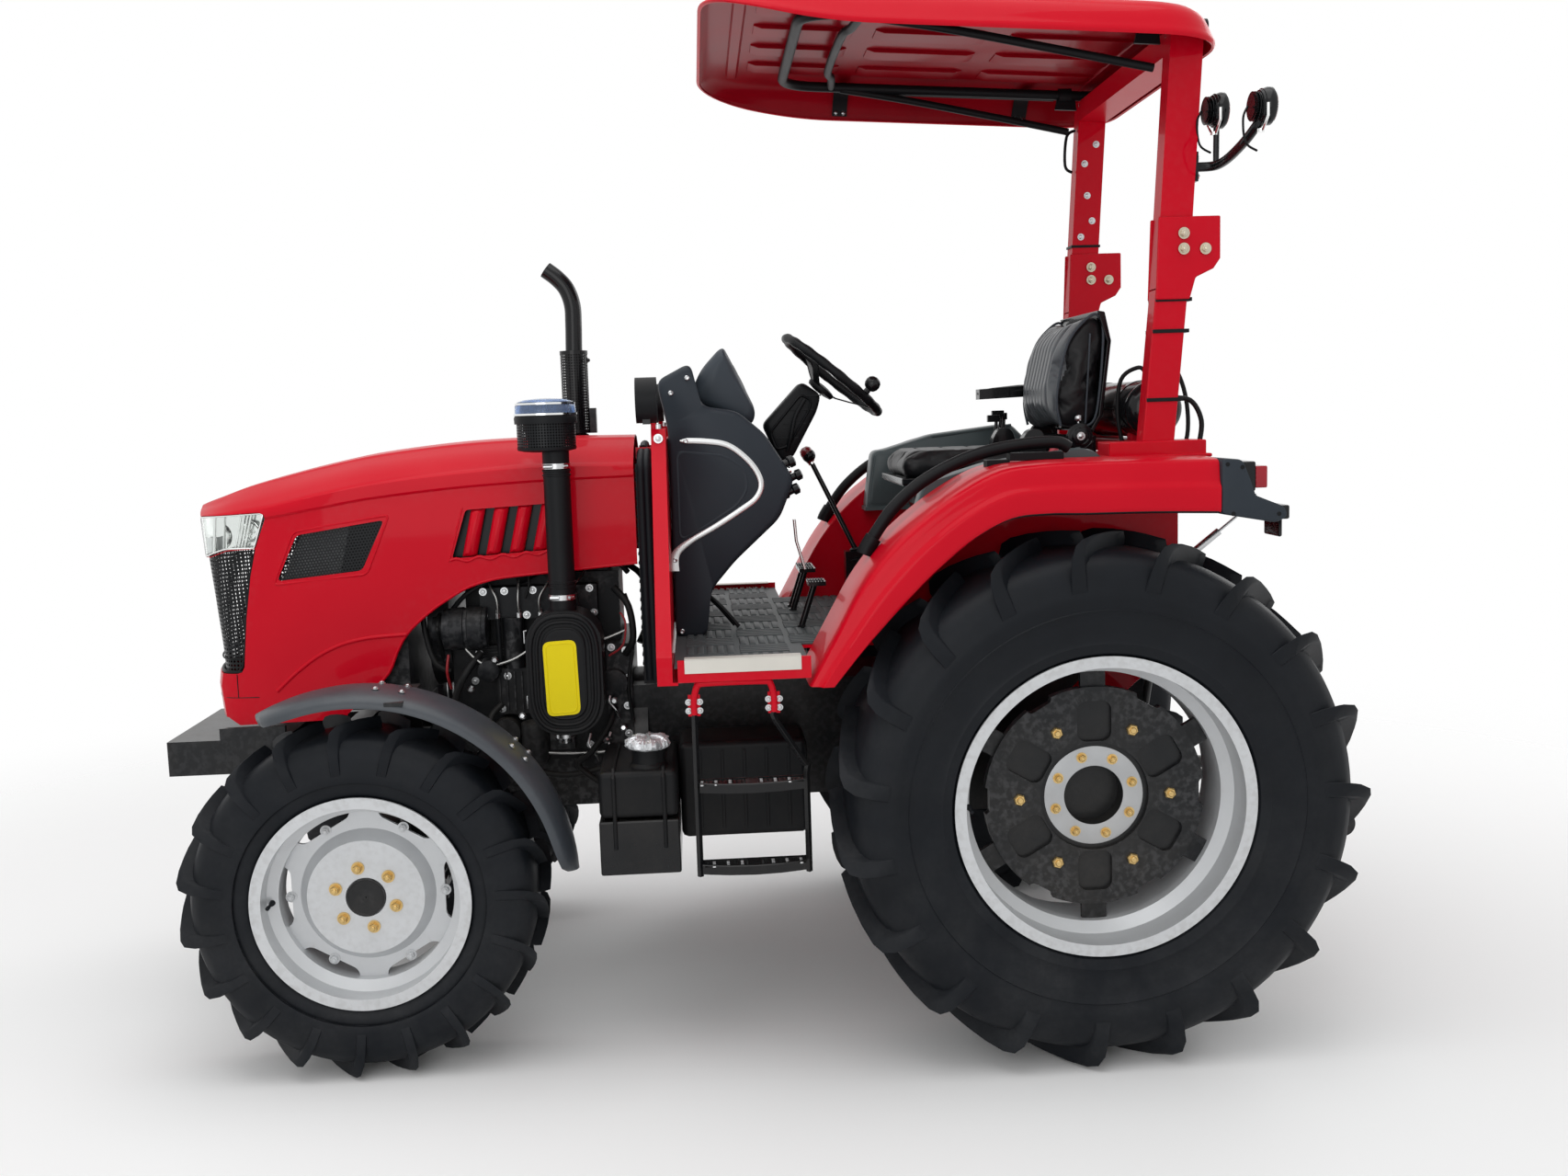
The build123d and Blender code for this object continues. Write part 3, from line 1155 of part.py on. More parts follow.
with BuildPart() as lower_links:
    for side in (1, -1):
        bar((link_ahead, side * link_in, link_rise),
            (-link_reach + ball_radius, side * link_out, link_end_rise), 20)
        bar((link_ahead, side * (link_in - 22), link_rise),
            (link_ahead, side * (link_in + 22), link_rise), 36)
        bar((-link_reach + ball_radius, side * (link_out - 22), link_end_rise),
            (-link_reach + ball_radius, side * (link_out + 22), link_end_rise), ball_radius)
    for side in (1, -1):
        bar((link_ahead, side * (link_in - 30), link_rise), (link_ahead, side * (link_in + 30), link_rise),
            link_pin + pin_gap, mode=Mode.SUBTRACT)
        bar((-link_reach + ball_radius, side * (link_out - 30), link_end_rise),
            (-link_reach + ball_radius, side * (link_out + 30), link_end_rise), ball_bore, mode=Mode.SUBTRACT)
save(lower_links, "lower_links")

with BuildPart() as lift_rods:
    for side in (1, -1):
        bar((arm_end[0], side * 295, arm_end[1]), (rod_low[0], side * (rod_y + 36), rod_low[1]), 13)
        bar((arm_end[0], side * (265 + 14 + 1), arm_end[1]), (arm_end[0], side * 312, arm_end[1]), 24)
        bar((rod_low[0], side * (rod_y + 26), rod_low[1]), (rod_low[0], side * (rod_y + 46), rod_low[1]), 22)
save(lift_rods, "lift_rods")
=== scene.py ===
from math import atan2, cos, hypot, pi, radians, sin

import bmesh
import bpy
from mathutils import Matrix, Vector


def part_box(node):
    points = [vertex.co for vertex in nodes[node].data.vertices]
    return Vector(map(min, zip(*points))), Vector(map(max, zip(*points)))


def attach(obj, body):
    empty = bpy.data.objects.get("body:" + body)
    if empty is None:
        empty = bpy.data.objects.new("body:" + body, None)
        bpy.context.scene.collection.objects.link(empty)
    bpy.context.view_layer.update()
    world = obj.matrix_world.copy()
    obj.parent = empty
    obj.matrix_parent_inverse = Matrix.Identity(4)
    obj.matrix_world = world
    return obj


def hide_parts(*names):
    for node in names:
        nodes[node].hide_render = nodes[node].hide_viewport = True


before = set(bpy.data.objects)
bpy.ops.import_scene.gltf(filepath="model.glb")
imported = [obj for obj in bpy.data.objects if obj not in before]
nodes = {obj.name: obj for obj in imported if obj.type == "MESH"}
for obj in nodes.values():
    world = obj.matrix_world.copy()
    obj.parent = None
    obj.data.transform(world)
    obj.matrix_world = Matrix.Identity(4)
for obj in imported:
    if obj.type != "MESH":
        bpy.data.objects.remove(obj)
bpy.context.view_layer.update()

# The studio: a pale floor under a white sky, with one broad soft lamp over the tractor, a weaker one on
# the side that is seen and a third behind, so that paint, rubber and castings all show their real colour.
scene = bpy.context.scene
scene.view_settings.view_transform = "Standard"


def placed(name, data):
    """A new object that stands in the scene."""
    thing = bpy.data.objects.new(name, data)
    scene.collection.objects.link(thing)
    return thing


def add_node(tree, kind, links=(), **settings):
    """A node with its settings, its input values and what feeds it."""
    node = tree.nodes.new(kind)
    for key, value in settings.items():
        setattr(node, key, value)
    for label, source in links:
        if isinstance(source, bpy.types.NodeSocket):
            tree.links.new(source, node.inputs[label])
        else:
            node.inputs[label].default_value = source
    return node


def new_material(name):
    """A material with its node tree and its shader."""
    material = bpy.data.materials.new(name)
    material.use_nodes = True
    return material, material.node_tree, material.node_tree.nodes["Principled BSDF"]


floor_half, fade_start, fade_end = 60, 2.2, 5.5
floor_mesh = bpy.data.meshes.new("floor")
floor_mesh.from_pydata([(x * floor_half, y * floor_half, 0) for x, y in ((-1, -1), (1, -1), (1, 1), (-1, 1))],
    [], [(0, 1, 2, 3)])
floor = placed("floor", floor_mesh)
floor_paint, floor_tree, floor_shader = new_material("floor_paint")
for label, value in (("Base Color", (0.93, 0.93, 0.93, 1)), ("Roughness", 0.9), ("Specular IOR Level", 0.1)):
    floor_shader.inputs[label].default_value = value
floor_place = add_node(floor_tree, "ShaderNodeTexCoord")
floor_away = add_node(floor_tree, "ShaderNodeVectorMath", [(0, floor_place.outputs["Object"])],
    operation="LENGTH")
floor_fade = add_node(floor_tree, "ShaderNodeMapRange", [("Value", floor_away.outputs["Value"]),
    ("From Min", fade_start), ("From Max", fade_end)], interpolation_type="SMOOTHSTEP")
floor_clear = add_node(floor_tree, "ShaderNodeBsdfTransparent")
floor_mix = add_node(floor_tree, "ShaderNodeMixShader", [("Fac", floor_fade.outputs["Result"]),
    (1, floor_shader.outputs[0]), (2, floor_clear.outputs[0])])
floor_tree.links.new(floor_mix.outputs[0], floor_tree.nodes["Material Output"].inputs["Surface"])
floor_mesh.materials.append(floor_paint)

# The sky is plain white to the camera, in reflections and through clear parts, and lights a little less
sky = bpy.data.worlds.new("sky")
scene.world = sky
sky.use_nodes = True
sky_tree = sky.node_tree
sky_light = sky_tree.nodes["Background"]
sky_light.inputs["Color"].default_value = (1, 1, 1, 1)
sky_light.inputs["Strength"].default_value = 0.7
sky_seen = add_node(sky_tree, "ShaderNodeBackground", [("Color", (1, 1, 1, 1))])
sky_rays = add_node(sky_tree, "ShaderNodeLightPath")
sky_glossy = add_node(sky_tree, "ShaderNodeMath", [(0, sky_rays.outputs["Is Camera Ray"]),
    (1, sky_rays.outputs["Is Glossy Ray"])], operation="MAXIMUM")
sky_clear = add_node(sky_tree, "ShaderNodeMath", [(0, sky_glossy.outputs[0]),
    (1, sky_rays.outputs["Is Transmission Ray"])], operation="MAXIMUM")
sky_mix = add_node(sky_tree, "ShaderNodeMixShader", [("Fac", sky_clear.outputs[0]), (1, sky_light.outputs[0]),
    (2, sky_seen.outputs[0])])
sky_tree.links.new(sky_mix.outputs[0], sky_tree.nodes["World Output"].inputs["Surface"])

lamp_aim = Vector((0, 0, 0.9))
for name, place, size, watts in (("lamp_over", (0.6, 0.9, 5.6), 5.0, 120),
        ("lamp_side", (1.6, 6.0, 2.6), 3.5, 60), ("lamp_back", (-4.5, -3.5, 3.6), 3.0, 50)):
    lamp = bpy.data.lights.new(name, "AREA")
    lamp.energy, lamp.size = watts, size
    lamp_object = placed(name, lamp)
    lamp_object.location = place
    lamp_object.rotation_euler = (lamp_aim - Vector(place)).to_track_quat("-Z", "Y").to_euler()

# The camera stands on the tractor's left at a standing person's eye level, a little ahead of the middle,
# and is turned, tipped and rolled by a few degrees.
camera_data = bpy.data.cameras.new("camera")
camera_data.lens, camera_data.sensor_width = 34.04, 36.0
camera = placed("camera", camera_data)
scene.camera = camera
camera_place, camera_turn, camera_tip, camera_roll = (0.1707, 4.3989, 1.6804), 0.0577, 0.1186, -0.0315
facing, rightward, upward = Vector((0, -1, 0)), Vector((-1, 0, 0)), Vector((0, 0, 1))
level = cos(camera_turn) * facing + sin(camera_turn) * rightward
right = cos(camera_turn) * rightward - sin(camera_turn) * facing
forward = cos(camera_tip) * level - sin(camera_tip) * upward
up = cos(camera_tip) * upward + sin(camera_tip) * level
rolled_right = cos(camera_roll) * right + sin(camera_roll) * up
rolled_up = cos(camera_roll) * up - sin(camera_roll) * right
turn = Matrix((rolled_right, rolled_up, -forward)).transposed().to_4x4()
camera.matrix_world = Matrix.Translation(camera_place) @ turn


# Rear and front tyres: black rubber moulded round a fabric carcass, with two rows of tall slanted lugs
# that meet in a chevron and run down the shoulder, thin moulded rings on the walls and a thick bead
# that seats in the rim. Clay dust stays in the mould grain and between the lugs.
def add_math(tree, operation, first, second=None, clamp=False):
    """A sum between two values, each a number or another node's output."""
    links = [(0, first)] + ([(1, second)] if second is not None else [])
    return add_node(tree, "ShaderNodeMath", links, operation=operation, use_clamp=clamp).outputs[0]


def effect(name, inputs, plan):
    """A shader node group with number sockets; the plan makes its outputs from the tree and its inputs."""
    tree = bpy.data.node_groups.new(name, "ShaderNodeTree")
    for label, value in inputs:
        tree.interface.new_socket(label, in_out="INPUT", socket_type="NodeSocketFloat").default_value = value
    given, end = tree.nodes.new("NodeGroupInput").outputs, tree.nodes.new("NodeGroupOutput")
    for label, source in plan(tree, given).items():
        tree.interface.new_socket(label, in_out="OUTPUT", socket_type="NodeSocketFloat")
        tree.links.new(source, end.inputs[label])
    return tree


def dust_plan(tree, given):
    """Dust settles on what faces up, low on the machine and in patches."""
    place = add_node(tree, "ShaderNodeTexCoord").outputs["Object"]
    cloud = add_node(tree, "ShaderNodeTexNoise", [("Vector", place), ("Scale", given["Patch Scale"]),
        ("Detail", 6.0), ("Roughness", 0.65)])
    fine = add_node(tree, "ShaderNodeTexNoise", [("Vector", place), ("Scale", 90.0), ("Detail", 3.0)])
    rise = add_node(tree, "ShaderNodeSeparateXYZ", [(0, place)]).outputs["Z"]
    low = add_math(tree, "SUBTRACT", 1.0, add_math(tree, "DIVIDE", rise, given["Reach"]), clamp=True)
    normal = add_node(tree, "ShaderNodeNewGeometry").outputs["Normal"]
    tilt = add_node(tree, "ShaderNodeSeparateXYZ", [(0, normal)]).outputs["Z"]
    up = add_math(tree, "MULTIPLY", add_math(tree, "MAXIMUM", tilt, 0.0), 0.6)
    where = add_math(tree, "ADD", low, up, clamp=True)
    patch = add_node(tree, "ShaderNodeMapRange", [("Value", cloud.outputs["Fac"]), ("From Min", 0.38),
        ("From Max", 0.68)]).outputs[0]
    grit = add_math(tree, "MULTIPLY", patch, add_math(tree, "ADD", fine.outputs["Fac"], 0.35, clamp=True))
    return {"Mask": add_math(tree, "MULTIPLY", add_math(tree, "MULTIPLY", grit, where), given["Amount"],
        clamp=True)}


def grain_plan(tree, given):
    """Grain is the fine pebble of moulded or cast surfaces, and the slow waves under it."""
    place = add_node(tree, "ShaderNodeTexCoord").outputs["Object"]
    pebble = add_node(tree, "ShaderNodeTexVoronoi", [("Vector", place), ("Scale", given["Pebble Scale"])],
        feature="SMOOTH_F1").outputs["Distance"]
    wave = add_node(tree, "ShaderNodeTexNoise",
        [("Vector", place), ("Scale", given["Wave Scale"]), ("Detail", 4.0)]).outputs["Fac"]
    mixed = add_node(tree, "ShaderNodeMix", [(0, given["Pebble Share"]), (2, wave), (3, pebble)],
        data_type="FLOAT")
    return {"Height": mixed.outputs[0], "Tone": wave}


def wear_plan(tree, given):
    """Wear is paint rubbed thin and paler along outer edges."""
    point = add_node(tree, "ShaderNodeNewGeometry").outputs["Pointiness"]
    edge = add_node(tree, "ShaderNodeMapRange", [("Value", point), ("From Min", 0.53), ("From Max", 0.6)])
    place = add_node(tree, "ShaderNodeTexCoord").outputs["Object"]
    scuff = add_node(tree, "ShaderNodeTexNoise",
        [("Vector", place), ("Scale", given["Scuff Scale"]), ("Detail", 5.0)]).outputs["Fac"]
    patch = add_node(tree, "ShaderNodeMapRange", [("Value", scuff), ("From Min", 0.45), ("From Max", 0.62)])
    worn = add_math(tree, "MULTIPLY", edge.outputs[0], patch.outputs[0])
    return {"Mask": add_math(tree, "MULTIPLY", worn, given["Amount"], clamp=True)}


dust_effect = effect("dust_effect", [("Amount", 0.3), ("Reach", 1.2), ("Patch Scale", 5.0)], dust_plan)
grain_effect = effect("grain_effect", [("Pebble Scale", 900.0), ("Wave Scale", 14.0), ("Pebble Share", 0.6)],
    grain_plan)
wear_effect = effect("wear_effect", [("Amount", 0.4), ("Scuff Scale", 60.0)], wear_plan)


def finish(name, colour, rough, metal=0.0, tone=0.12, pebble=900.0, wave=14.0, pebble_share=0.6, relief=0.15,
        depth=0.0006, dust=0.25, dust_colour=(0.36, 0.31, 0.25), reach=1.3, wear=0.0, worn=(0.5, 0.5, 0.5),
        coat=0.0, coat_rough=0.08, specular=0.5, clear=()):
    """A solid colour with its grain, tone, dust, worn edges and, on enamel, a clear top coat. A clear part
    gives its transmission and index in clear."""
    material, tree, shader = new_material(name)
    grain = add_node(tree, "ShaderNodeGroup", node_tree=grain_effect)
    dusty = add_node(tree, "ShaderNodeGroup", node_tree=dust_effect)
    for group, label, value in ((grain, "Pebble Scale", pebble), (grain, "Wave Scale", wave),
            (grain, "Pebble Share", pebble_share), (dusty, "Amount", dust), (dusty, "Reach", reach)):
        group.inputs[label].default_value = value
    darker = tuple(channel * (1 - tone) for channel in colour)
    paler = tuple(min(1, channel * (1 + tone) + 0.004 * tone) for channel in colour)
    shade = add_node(tree, "ShaderNodeMix", [(0, grain.outputs["Tone"]), (6, (*darker, 1)), (7, (*paler, 1))],
        data_type="RGBA")
    top = shade.outputs[2]
    if wear:
        rubbed = add_node(tree, "ShaderNodeGroup", node_tree=wear_effect)
        rubbed.inputs["Amount"].default_value = wear
        top = add_node(tree, "ShaderNodeMix", [(0, rubbed.outputs["Mask"]), (6, top), (7, (*worn, 1))],
            data_type="RGBA").outputs[2]
    dirty = add_node(tree, "ShaderNodeMix", [(0, dusty.outputs["Mask"]), (6, top), (7, (*dust_colour, 1))],
        data_type="RGBA")
    tree.links.new(dirty.outputs[2], shader.inputs["Base Color"])
    dull = add_node(tree, "ShaderNodeMapRange", [("Value", add_math(tree, "ADD", dusty.outputs["Mask"],
        add_math(tree, "MULTIPLY", grain.outputs["Tone"], 0.25), clamp=True)), ("To Min", rough * 0.85),
        ("To Max", min(1.0, rough * 1.15 + 0.3))])
    tree.links.new(dull.outputs[0], shader.inputs["Roughness"])
    bump = add_node(tree, "ShaderNodeBump", [("Height", grain.outputs["Height"]), ("Strength", relief),
        ("Distance", depth)])
    tree.links.new(bump.outputs["Normal"], shader.inputs["Normal"])
    for label, value in (("Metallic", metal), ("Specular IOR Level", specular), ("Coat Weight", coat),
            ("Coat Roughness", coat_rough), *clear):
        shader.inputs[label].default_value = value
    return material


def dress(material, *names):
    """Gives a carried-over solid its finish."""
    for name in names:
        for place in nodes[name].material_slots:
            place.material = material


def as_mesh(form, name, outward=True):
    """A form turned into a mesh with its faces outward; the form is used up."""
    if outward:
        bmesh.ops.recalc_face_normals(form, faces=form.faces)
    mesh = bpy.data.meshes.new(name)
    form.to_mesh(mesh)
    form.free()
    return mesh


def as_form(mesh, form=None):
    """A mesh turned back into a form, or joined to one; the mesh is used up."""
    form = form or bmesh.new()
    form.from_mesh(mesh)
    bpy.data.meshes.remove(mesh)
    return form


def settled(thing):
    """The plain mesh of an object with its modifiers applied; the object is used up."""
    mesh = bpy.data.meshes.new_from_object(thing.evaluated_get(bpy.context.evaluated_depsgraph_get()))
    bpy.data.objects.remove(thing)
    return mesh


def mesh_piece(name, form, material, body="chassis", smooth=35, bevel=0.0):
    """Turns a form into a piece that rides on a body, with its edges sharp past an angle."""
    mesh = as_mesh(form, name)
    mesh.shade_smooth()
    mesh.set_sharp_from_angle(angle=radians(smooth))
    mesh.materials.append(material)
    piece = placed(name, mesh)
    if bevel:
        rounding = piece.modifiers.new("rounding", "BEVEL")
        rounding.width = bevel
        rounding.segments = 2
        rounding.limit_method = "ANGLE"
        rounding.angle_limit = radians(35)
        rounding.harden_normals = True
    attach(piece, body)
    return piece


def copy_tree(name, inputs, plan):
    """A geometry tree that copies one object to points and gives the copies one material. From the tree, its
    inputs and a point's index, the plan makes the number of points, a point's place and its turn."""
    tree = bpy.data.node_groups.new(name, "GeometryNodeTree")
    tree.is_modifier = True
    sockets = {
        label: tree.interface.new_socket(label, in_out="INPUT", socket_type="NodeSocket" + kind).identifier
        for label, kind in (*inputs, ("Copied", "Object"), ("Finish", "Material"))}
    tree.interface.new_socket("Geometry", in_out="OUTPUT", socket_type="NodeSocketGeometry")
    given, end = tree.nodes.new("NodeGroupInput").outputs, tree.nodes.new("NodeGroupOutput")
    count, place, turn = plan(tree, given, add_node(tree, "GeometryNodeInputIndex").outputs[0])
    shape = add_node(tree, "GeometryNodeObjectInfo", [("Object", given["Copied"])])
    made = add_node(tree, "GeometryNodeMeshLine", [("Count", count), ("Offset", (0, 0, 0))])
    for kind, inlet, values in (("SetPosition", "Geometry", [("Position", place)]), ("InstanceOnPoints",
            "Points", [("Instance", shape.outputs["Geometry"]), ("Rotation", turn)]),
            ("RealizeInstances", "Geometry", []),
            ("SetMaterial", "Geometry", [("Material", given["Finish"])])):
        made = add_node(tree, "GeometryNode" + kind, [(inlet, made.outputs[0]), *values])
    tree.links.new(made.outputs[0], end.inputs[0])
    return tree, sockets


def ring_plan(tree, given, index):
    """Copies turned evenly round an axle, for lugs, bolts and fins."""
    step = add_math(tree, "DIVIDE", 2 * pi, given["Copies"])
    angle = add_math(tree, "ADD", add_math(tree, "MULTIPLY", index, step), given["First Angle"])
    return given["Copies"], given["Centre"], add_node(tree, "ShaderNodeCombineXYZ", [("Y", angle)]).outputs[0]


ring_tree, ring_sockets = copy_tree("ring_of_copies",
    [("Copies", "Int"), ("First Angle", "Float"), ("Centre", "Vector")], ring_plan)


def plain_result(tree, values, name):
    """Runs a geometry tree on an empty mesh and gives the plain mesh that comes out."""
    host = placed(name, bpy.data.meshes.new(name))
    working = host.modifiers.new("working", "NODES")
    working.node_group = tree
    for identifier, value in values.items():
        working[identifier] = value
    return settled(host)


def copies_of(tree, sockets, form, material, name, **values):
    """A form copied by a geometry tree."""
    pattern = placed(name + "_pattern", as_mesh(form, name))
    values = {"Copied": pattern, "Finish": material, **values}
    result = plain_result(tree, {sockets[label.replace("_", " ")]: value for label, value in values.items()},
        name)
    bpy.data.objects.remove(pattern)
    return result


def ring_mesh(form, copies, centre, material, name, first=0.0):
    """The mesh of a form, given about the Y axis, copied round a centre."""
    return copies_of(ring_tree, ring_sockets, form, material, name, Copies=copies, First_Angle=first,
        Centre=centre)


def skin(form, loops, closed=True, capped=True):
    """Joins rows of points into a skin: each row is a loop, and the two ends are capped unless told not
    to be."""
    rows = [[form.verts.new(point) for point in loop] for loop in loops]
    count = len(rows[0])
    for low, high in zip(rows, rows[1:]):
        for index in range(count if closed else count - 1):
            after = (index + 1) % count
            form.faces.new((low[index], low[after], high[after], high[index]))
    if capped:
        form.faces.new(rows[0])
        form.faces.new(list(reversed(rows[-1])))


def spin(form, profile, centre, steps=96):
    """A closed profile of (across, radius) points spun round an axle."""
    rings = []
    for step in range(steps):
        angle = 2 * pi * step / steps
        rings.append([form.verts.new((centre[0] + radius * cos(angle), centre[1] + across,
            centre[2] + radius * sin(angle))) for across, radius in profile])
    count = len(profile)
    for step in range(steps):
        near, far = rings[step], rings[(step + 1) % steps]
        for index in range(count):
            after = (index + 1) % count
            form.faces.new((near[index], near[after], far[after], far[index]))


rubber = finish("tyre_rubber", (0.0048, 0.0062, 0.0088), 0.5, tone=0.3, pebble=420, wave=9, pebble_share=0.45,
    relief=0.3, depth=0.0008, dust=0.10, dust_colour=(0.16, 0.16, 0.16), reach=1.25, specular=0.15)
lug_count, slant = 19, radians(45)


def lug_form(top, half, carcass, gauge, run):
    """One lug of the left row at the wheel's top: rows of six points from the tread's middle to the wall."""
    form = bmesh.new()
    loops = []
    # share of the half width, base radius, top radius, how far round, how square to the slant, how wide
    for share, base, crest, around, square, spread in ((0.05, carcass[0], top - 0.012, 0.50, 1.0, 0.86),
            (0.075, carcass[0], top - 0.001, 0.46, 1.0, 0.98),
            (0.30, carcass[0] - 0.002, top, 0.23, 1.0, 1.0), (0.55, carcass[1], top - 0.002, -0.02, 1.0, 1.0),
            (0.78, carcass[2], top - 0.007, -0.25, 0.9, 1.02),
            (0.90, carcass[3], top - 0.018, -0.38, 0.75, 1.06),
            (0.965, carcass[4], top - 0.045, -0.46, 0.5, 1.1),
            (0.995, carcass[5], top - 0.085, -0.50, 0.25, 1.12),
            (0.998, carcass[6], top - 0.125, -0.52, 0.0, 1.1)):
        y = share * half
        wide = gauge / 2 * spread
        along_y, along_c = -sin(slant) * square, 1 - square * (1 - cos(slant))
        middle = around * run
        row = []
        for place, level in ((-1.22, 0.0), (-1.0, 0.82), (-0.86, 1.0), (0.86, 1.0), (1.0, 0.82), (1.22, 0.0)):
            radius = base - 0.006 + (crest - base + 0.006) * level
            inward = 0.0 if share < 0.95 else (1 - level) * 0.012
            offset = middle + place * wide * along_c
            angle = pi / 2 + offset / top
            across = min(y + place * wide * along_y * (1 if share < 0.97 else 0.2), half * 0.998) - inward
            row.append((radius * cos(angle), across, radius * sin(angle)))
        loops.append(row)
    skin(form, loops)
    return form


def tyre_piece(name, body, centre, side, top, half, tread, bead, gauge, run):
    """A tyre spun from its section: tread, walls with thin rings and bead, with its two rows of lugs."""
    wall = [(0.0, tread), (0.36, tread - 0.001), (0.62, tread - 0.006), (0.80, tread - 0.018),
        (0.91, tread - 0.040), (0.965, tread - 0.070), (0.985, tread - 0.100), (1.0, tread - 0.112),
        (0.985, tread - 0.122)]
    low = bead + 0.045
    span = tread - 0.122 - low
    wall += [(0.975, low + 0.8 * span), (0.99, low + 0.77 * span), (0.972, low + 0.73 * span),
        (0.955, low + 0.5 * span), (0.93, low + 0.25 * span), (0.905, low), (0.92, low - 0.008),
        (0.90, low - 0.018), (0.875, low - 0.032), (0.80, low - 0.040), (0.77, bead - 0.016),
        (0.5, bead - 0.014)]
    profile = [(share * half, radius) for share, radius in wall]
    profile += [(-across, radius) for across, radius in reversed(profile[1:])]
    form = bmesh.new()
    spin(form, profile, (0, 0, 0), 120)
    carcass = [tread, tread - 0.004, tread - 0.016, tread - 0.036, tread - 0.068, tread - 0.104,
        tread - 0.118]
    for row in (1, -1):
        lug = lug_form(top, half, carcass, gauge, run)
        if row < 0:
            bmesh.ops.scale(lug, vec=(1, -1, 1), verts=lug.verts)
        first = 0.0 if row > 0 else pi / lug_count
        as_form(ring_mesh(lug, lug_count, (0, 0, 0), rubber, name + "_lugs", first), form)
    bmesh.ops.scale(form, vec=(1, side, 1), verts=form.verts)
    bmesh.ops.translate(form, vec=centre, verts=form.verts)
    return mesh_piece(name, form, rubber, body, smooth=38)


# Both axles: how far ahead and how high they are, and what each tyre measures
sides = ((1, "left"), (-1, "right"))
axles = {"front": (1.0585, 0, 0.46914), "rear": (-0.8185, 0, 0.67924)}
tyre_sizes = {
    # track, half width, tread radius, bead radius, lug width, lug run
    "rear": (1.410, 0.1885, 0.642, 0.376, 0.044, 0.170),
    "front": (1.170, 0.120, 0.440, 0.274, 0.032, 0.102)}
for side, hand in sides:
    for end, (track, *sizes) in tyre_sizes.items():
        ahead, _, rolling = axles[end]
        piece = tyre_piece(f"{end}_tyre_rubber_{hand}", f"{end}_wheel_{hand}",
            (ahead, side * track / 2, rolling), side, rolling, *sizes)
        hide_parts(f"{end}_tyre_{hand}")


# Wheel rims: rolled steel bands, silver enamel over the welds. The front ones carry a pressed dish held by
# six lobes and six studs; the rear ones carry a heavy black cast disc with a bolt in each of six pockets
# and the pale machined flange of the axle hub in its middle.
rim_silver = finish("rim_silver", (0.56, 0.575, 0.59), 0.34, metal=0.25, tone=0.06, pebble=700,
    pebble_share=0.8, relief=0.06, dust=0.06, coat=0.3, coat_rough=0.2, wear=0.25, worn=(0.30, 0.29, 0.28))
cast_black = finish("cast_black", (0.0075, 0.0085, 0.010), 0.40, tone=0.3, pebble=330, wave=22,
    pebble_share=0.5, relief=0.45, depth=0.0009, dust=0.07, specular=0.14, coat=0.25, coat_rough=0.25,
    wear=0.35, worn=(0.09, 0.09, 0.095))
flange_steel = finish("flange_steel", (0.42, 0.43, 0.44), 0.36, metal=0.75, tone=0.15, pebble=500,
    relief=0.12, dust=0.25)
gold_zinc = finish("gold_zinc", (0.62, 0.43, 0.17), 0.30, metal=0.9, tone=0.2, pebble=800, relief=0.08,
    dust=0.15)
for _, hand in sides:
    dress(rim_silver, f"front_rim_{hand}", f"rear_rim_{hand}")
    dress(cast_black, f"rear_disc_{hand}")


def hex_bolt(form, place, out, radius, height, washer=1.45):
    """A washer, a six-sided head with a chamfered crown and a stud end, standing along an axis."""
    axis = Vector(out).normalized()
    side = axis.orthogonal().normalized()
    over = axis.cross(side)
    place = Vector(place)
    for steps, levels in ((24, ((0.0, washer), (0.18, washer))), (6, ((0.18, 1.0), (0.86, 1.0), (1.0, 0.82))),
            (12, ((0.9, 0.55), (1.22, 0.52), (1.3, 0.40)))):
        skin(form,
            [[place + axis * (height * level)
            + (side * cos(2 * pi * i / steps) + over * sin(2 * pi * i / steps)) * (radius * wide)
            for i in range(steps)] for level, wide in levels])


def bolt_ring(name, body, centre, side, face, circle, count, radius, height, material, first=0.0):
    """Bolts round a wheel's middle, on a face at some distance from the tractor's middle line."""
    form = bmesh.new()
    hex_bolt(form, (0, 0, circle), (0, side, 0), radius, height)
    rings = as_form(ring_mesh(form, count, (centre[0], side * face, centre[2]), material, name, first))
    mesh_piece(name, rings, material, body, smooth=30)


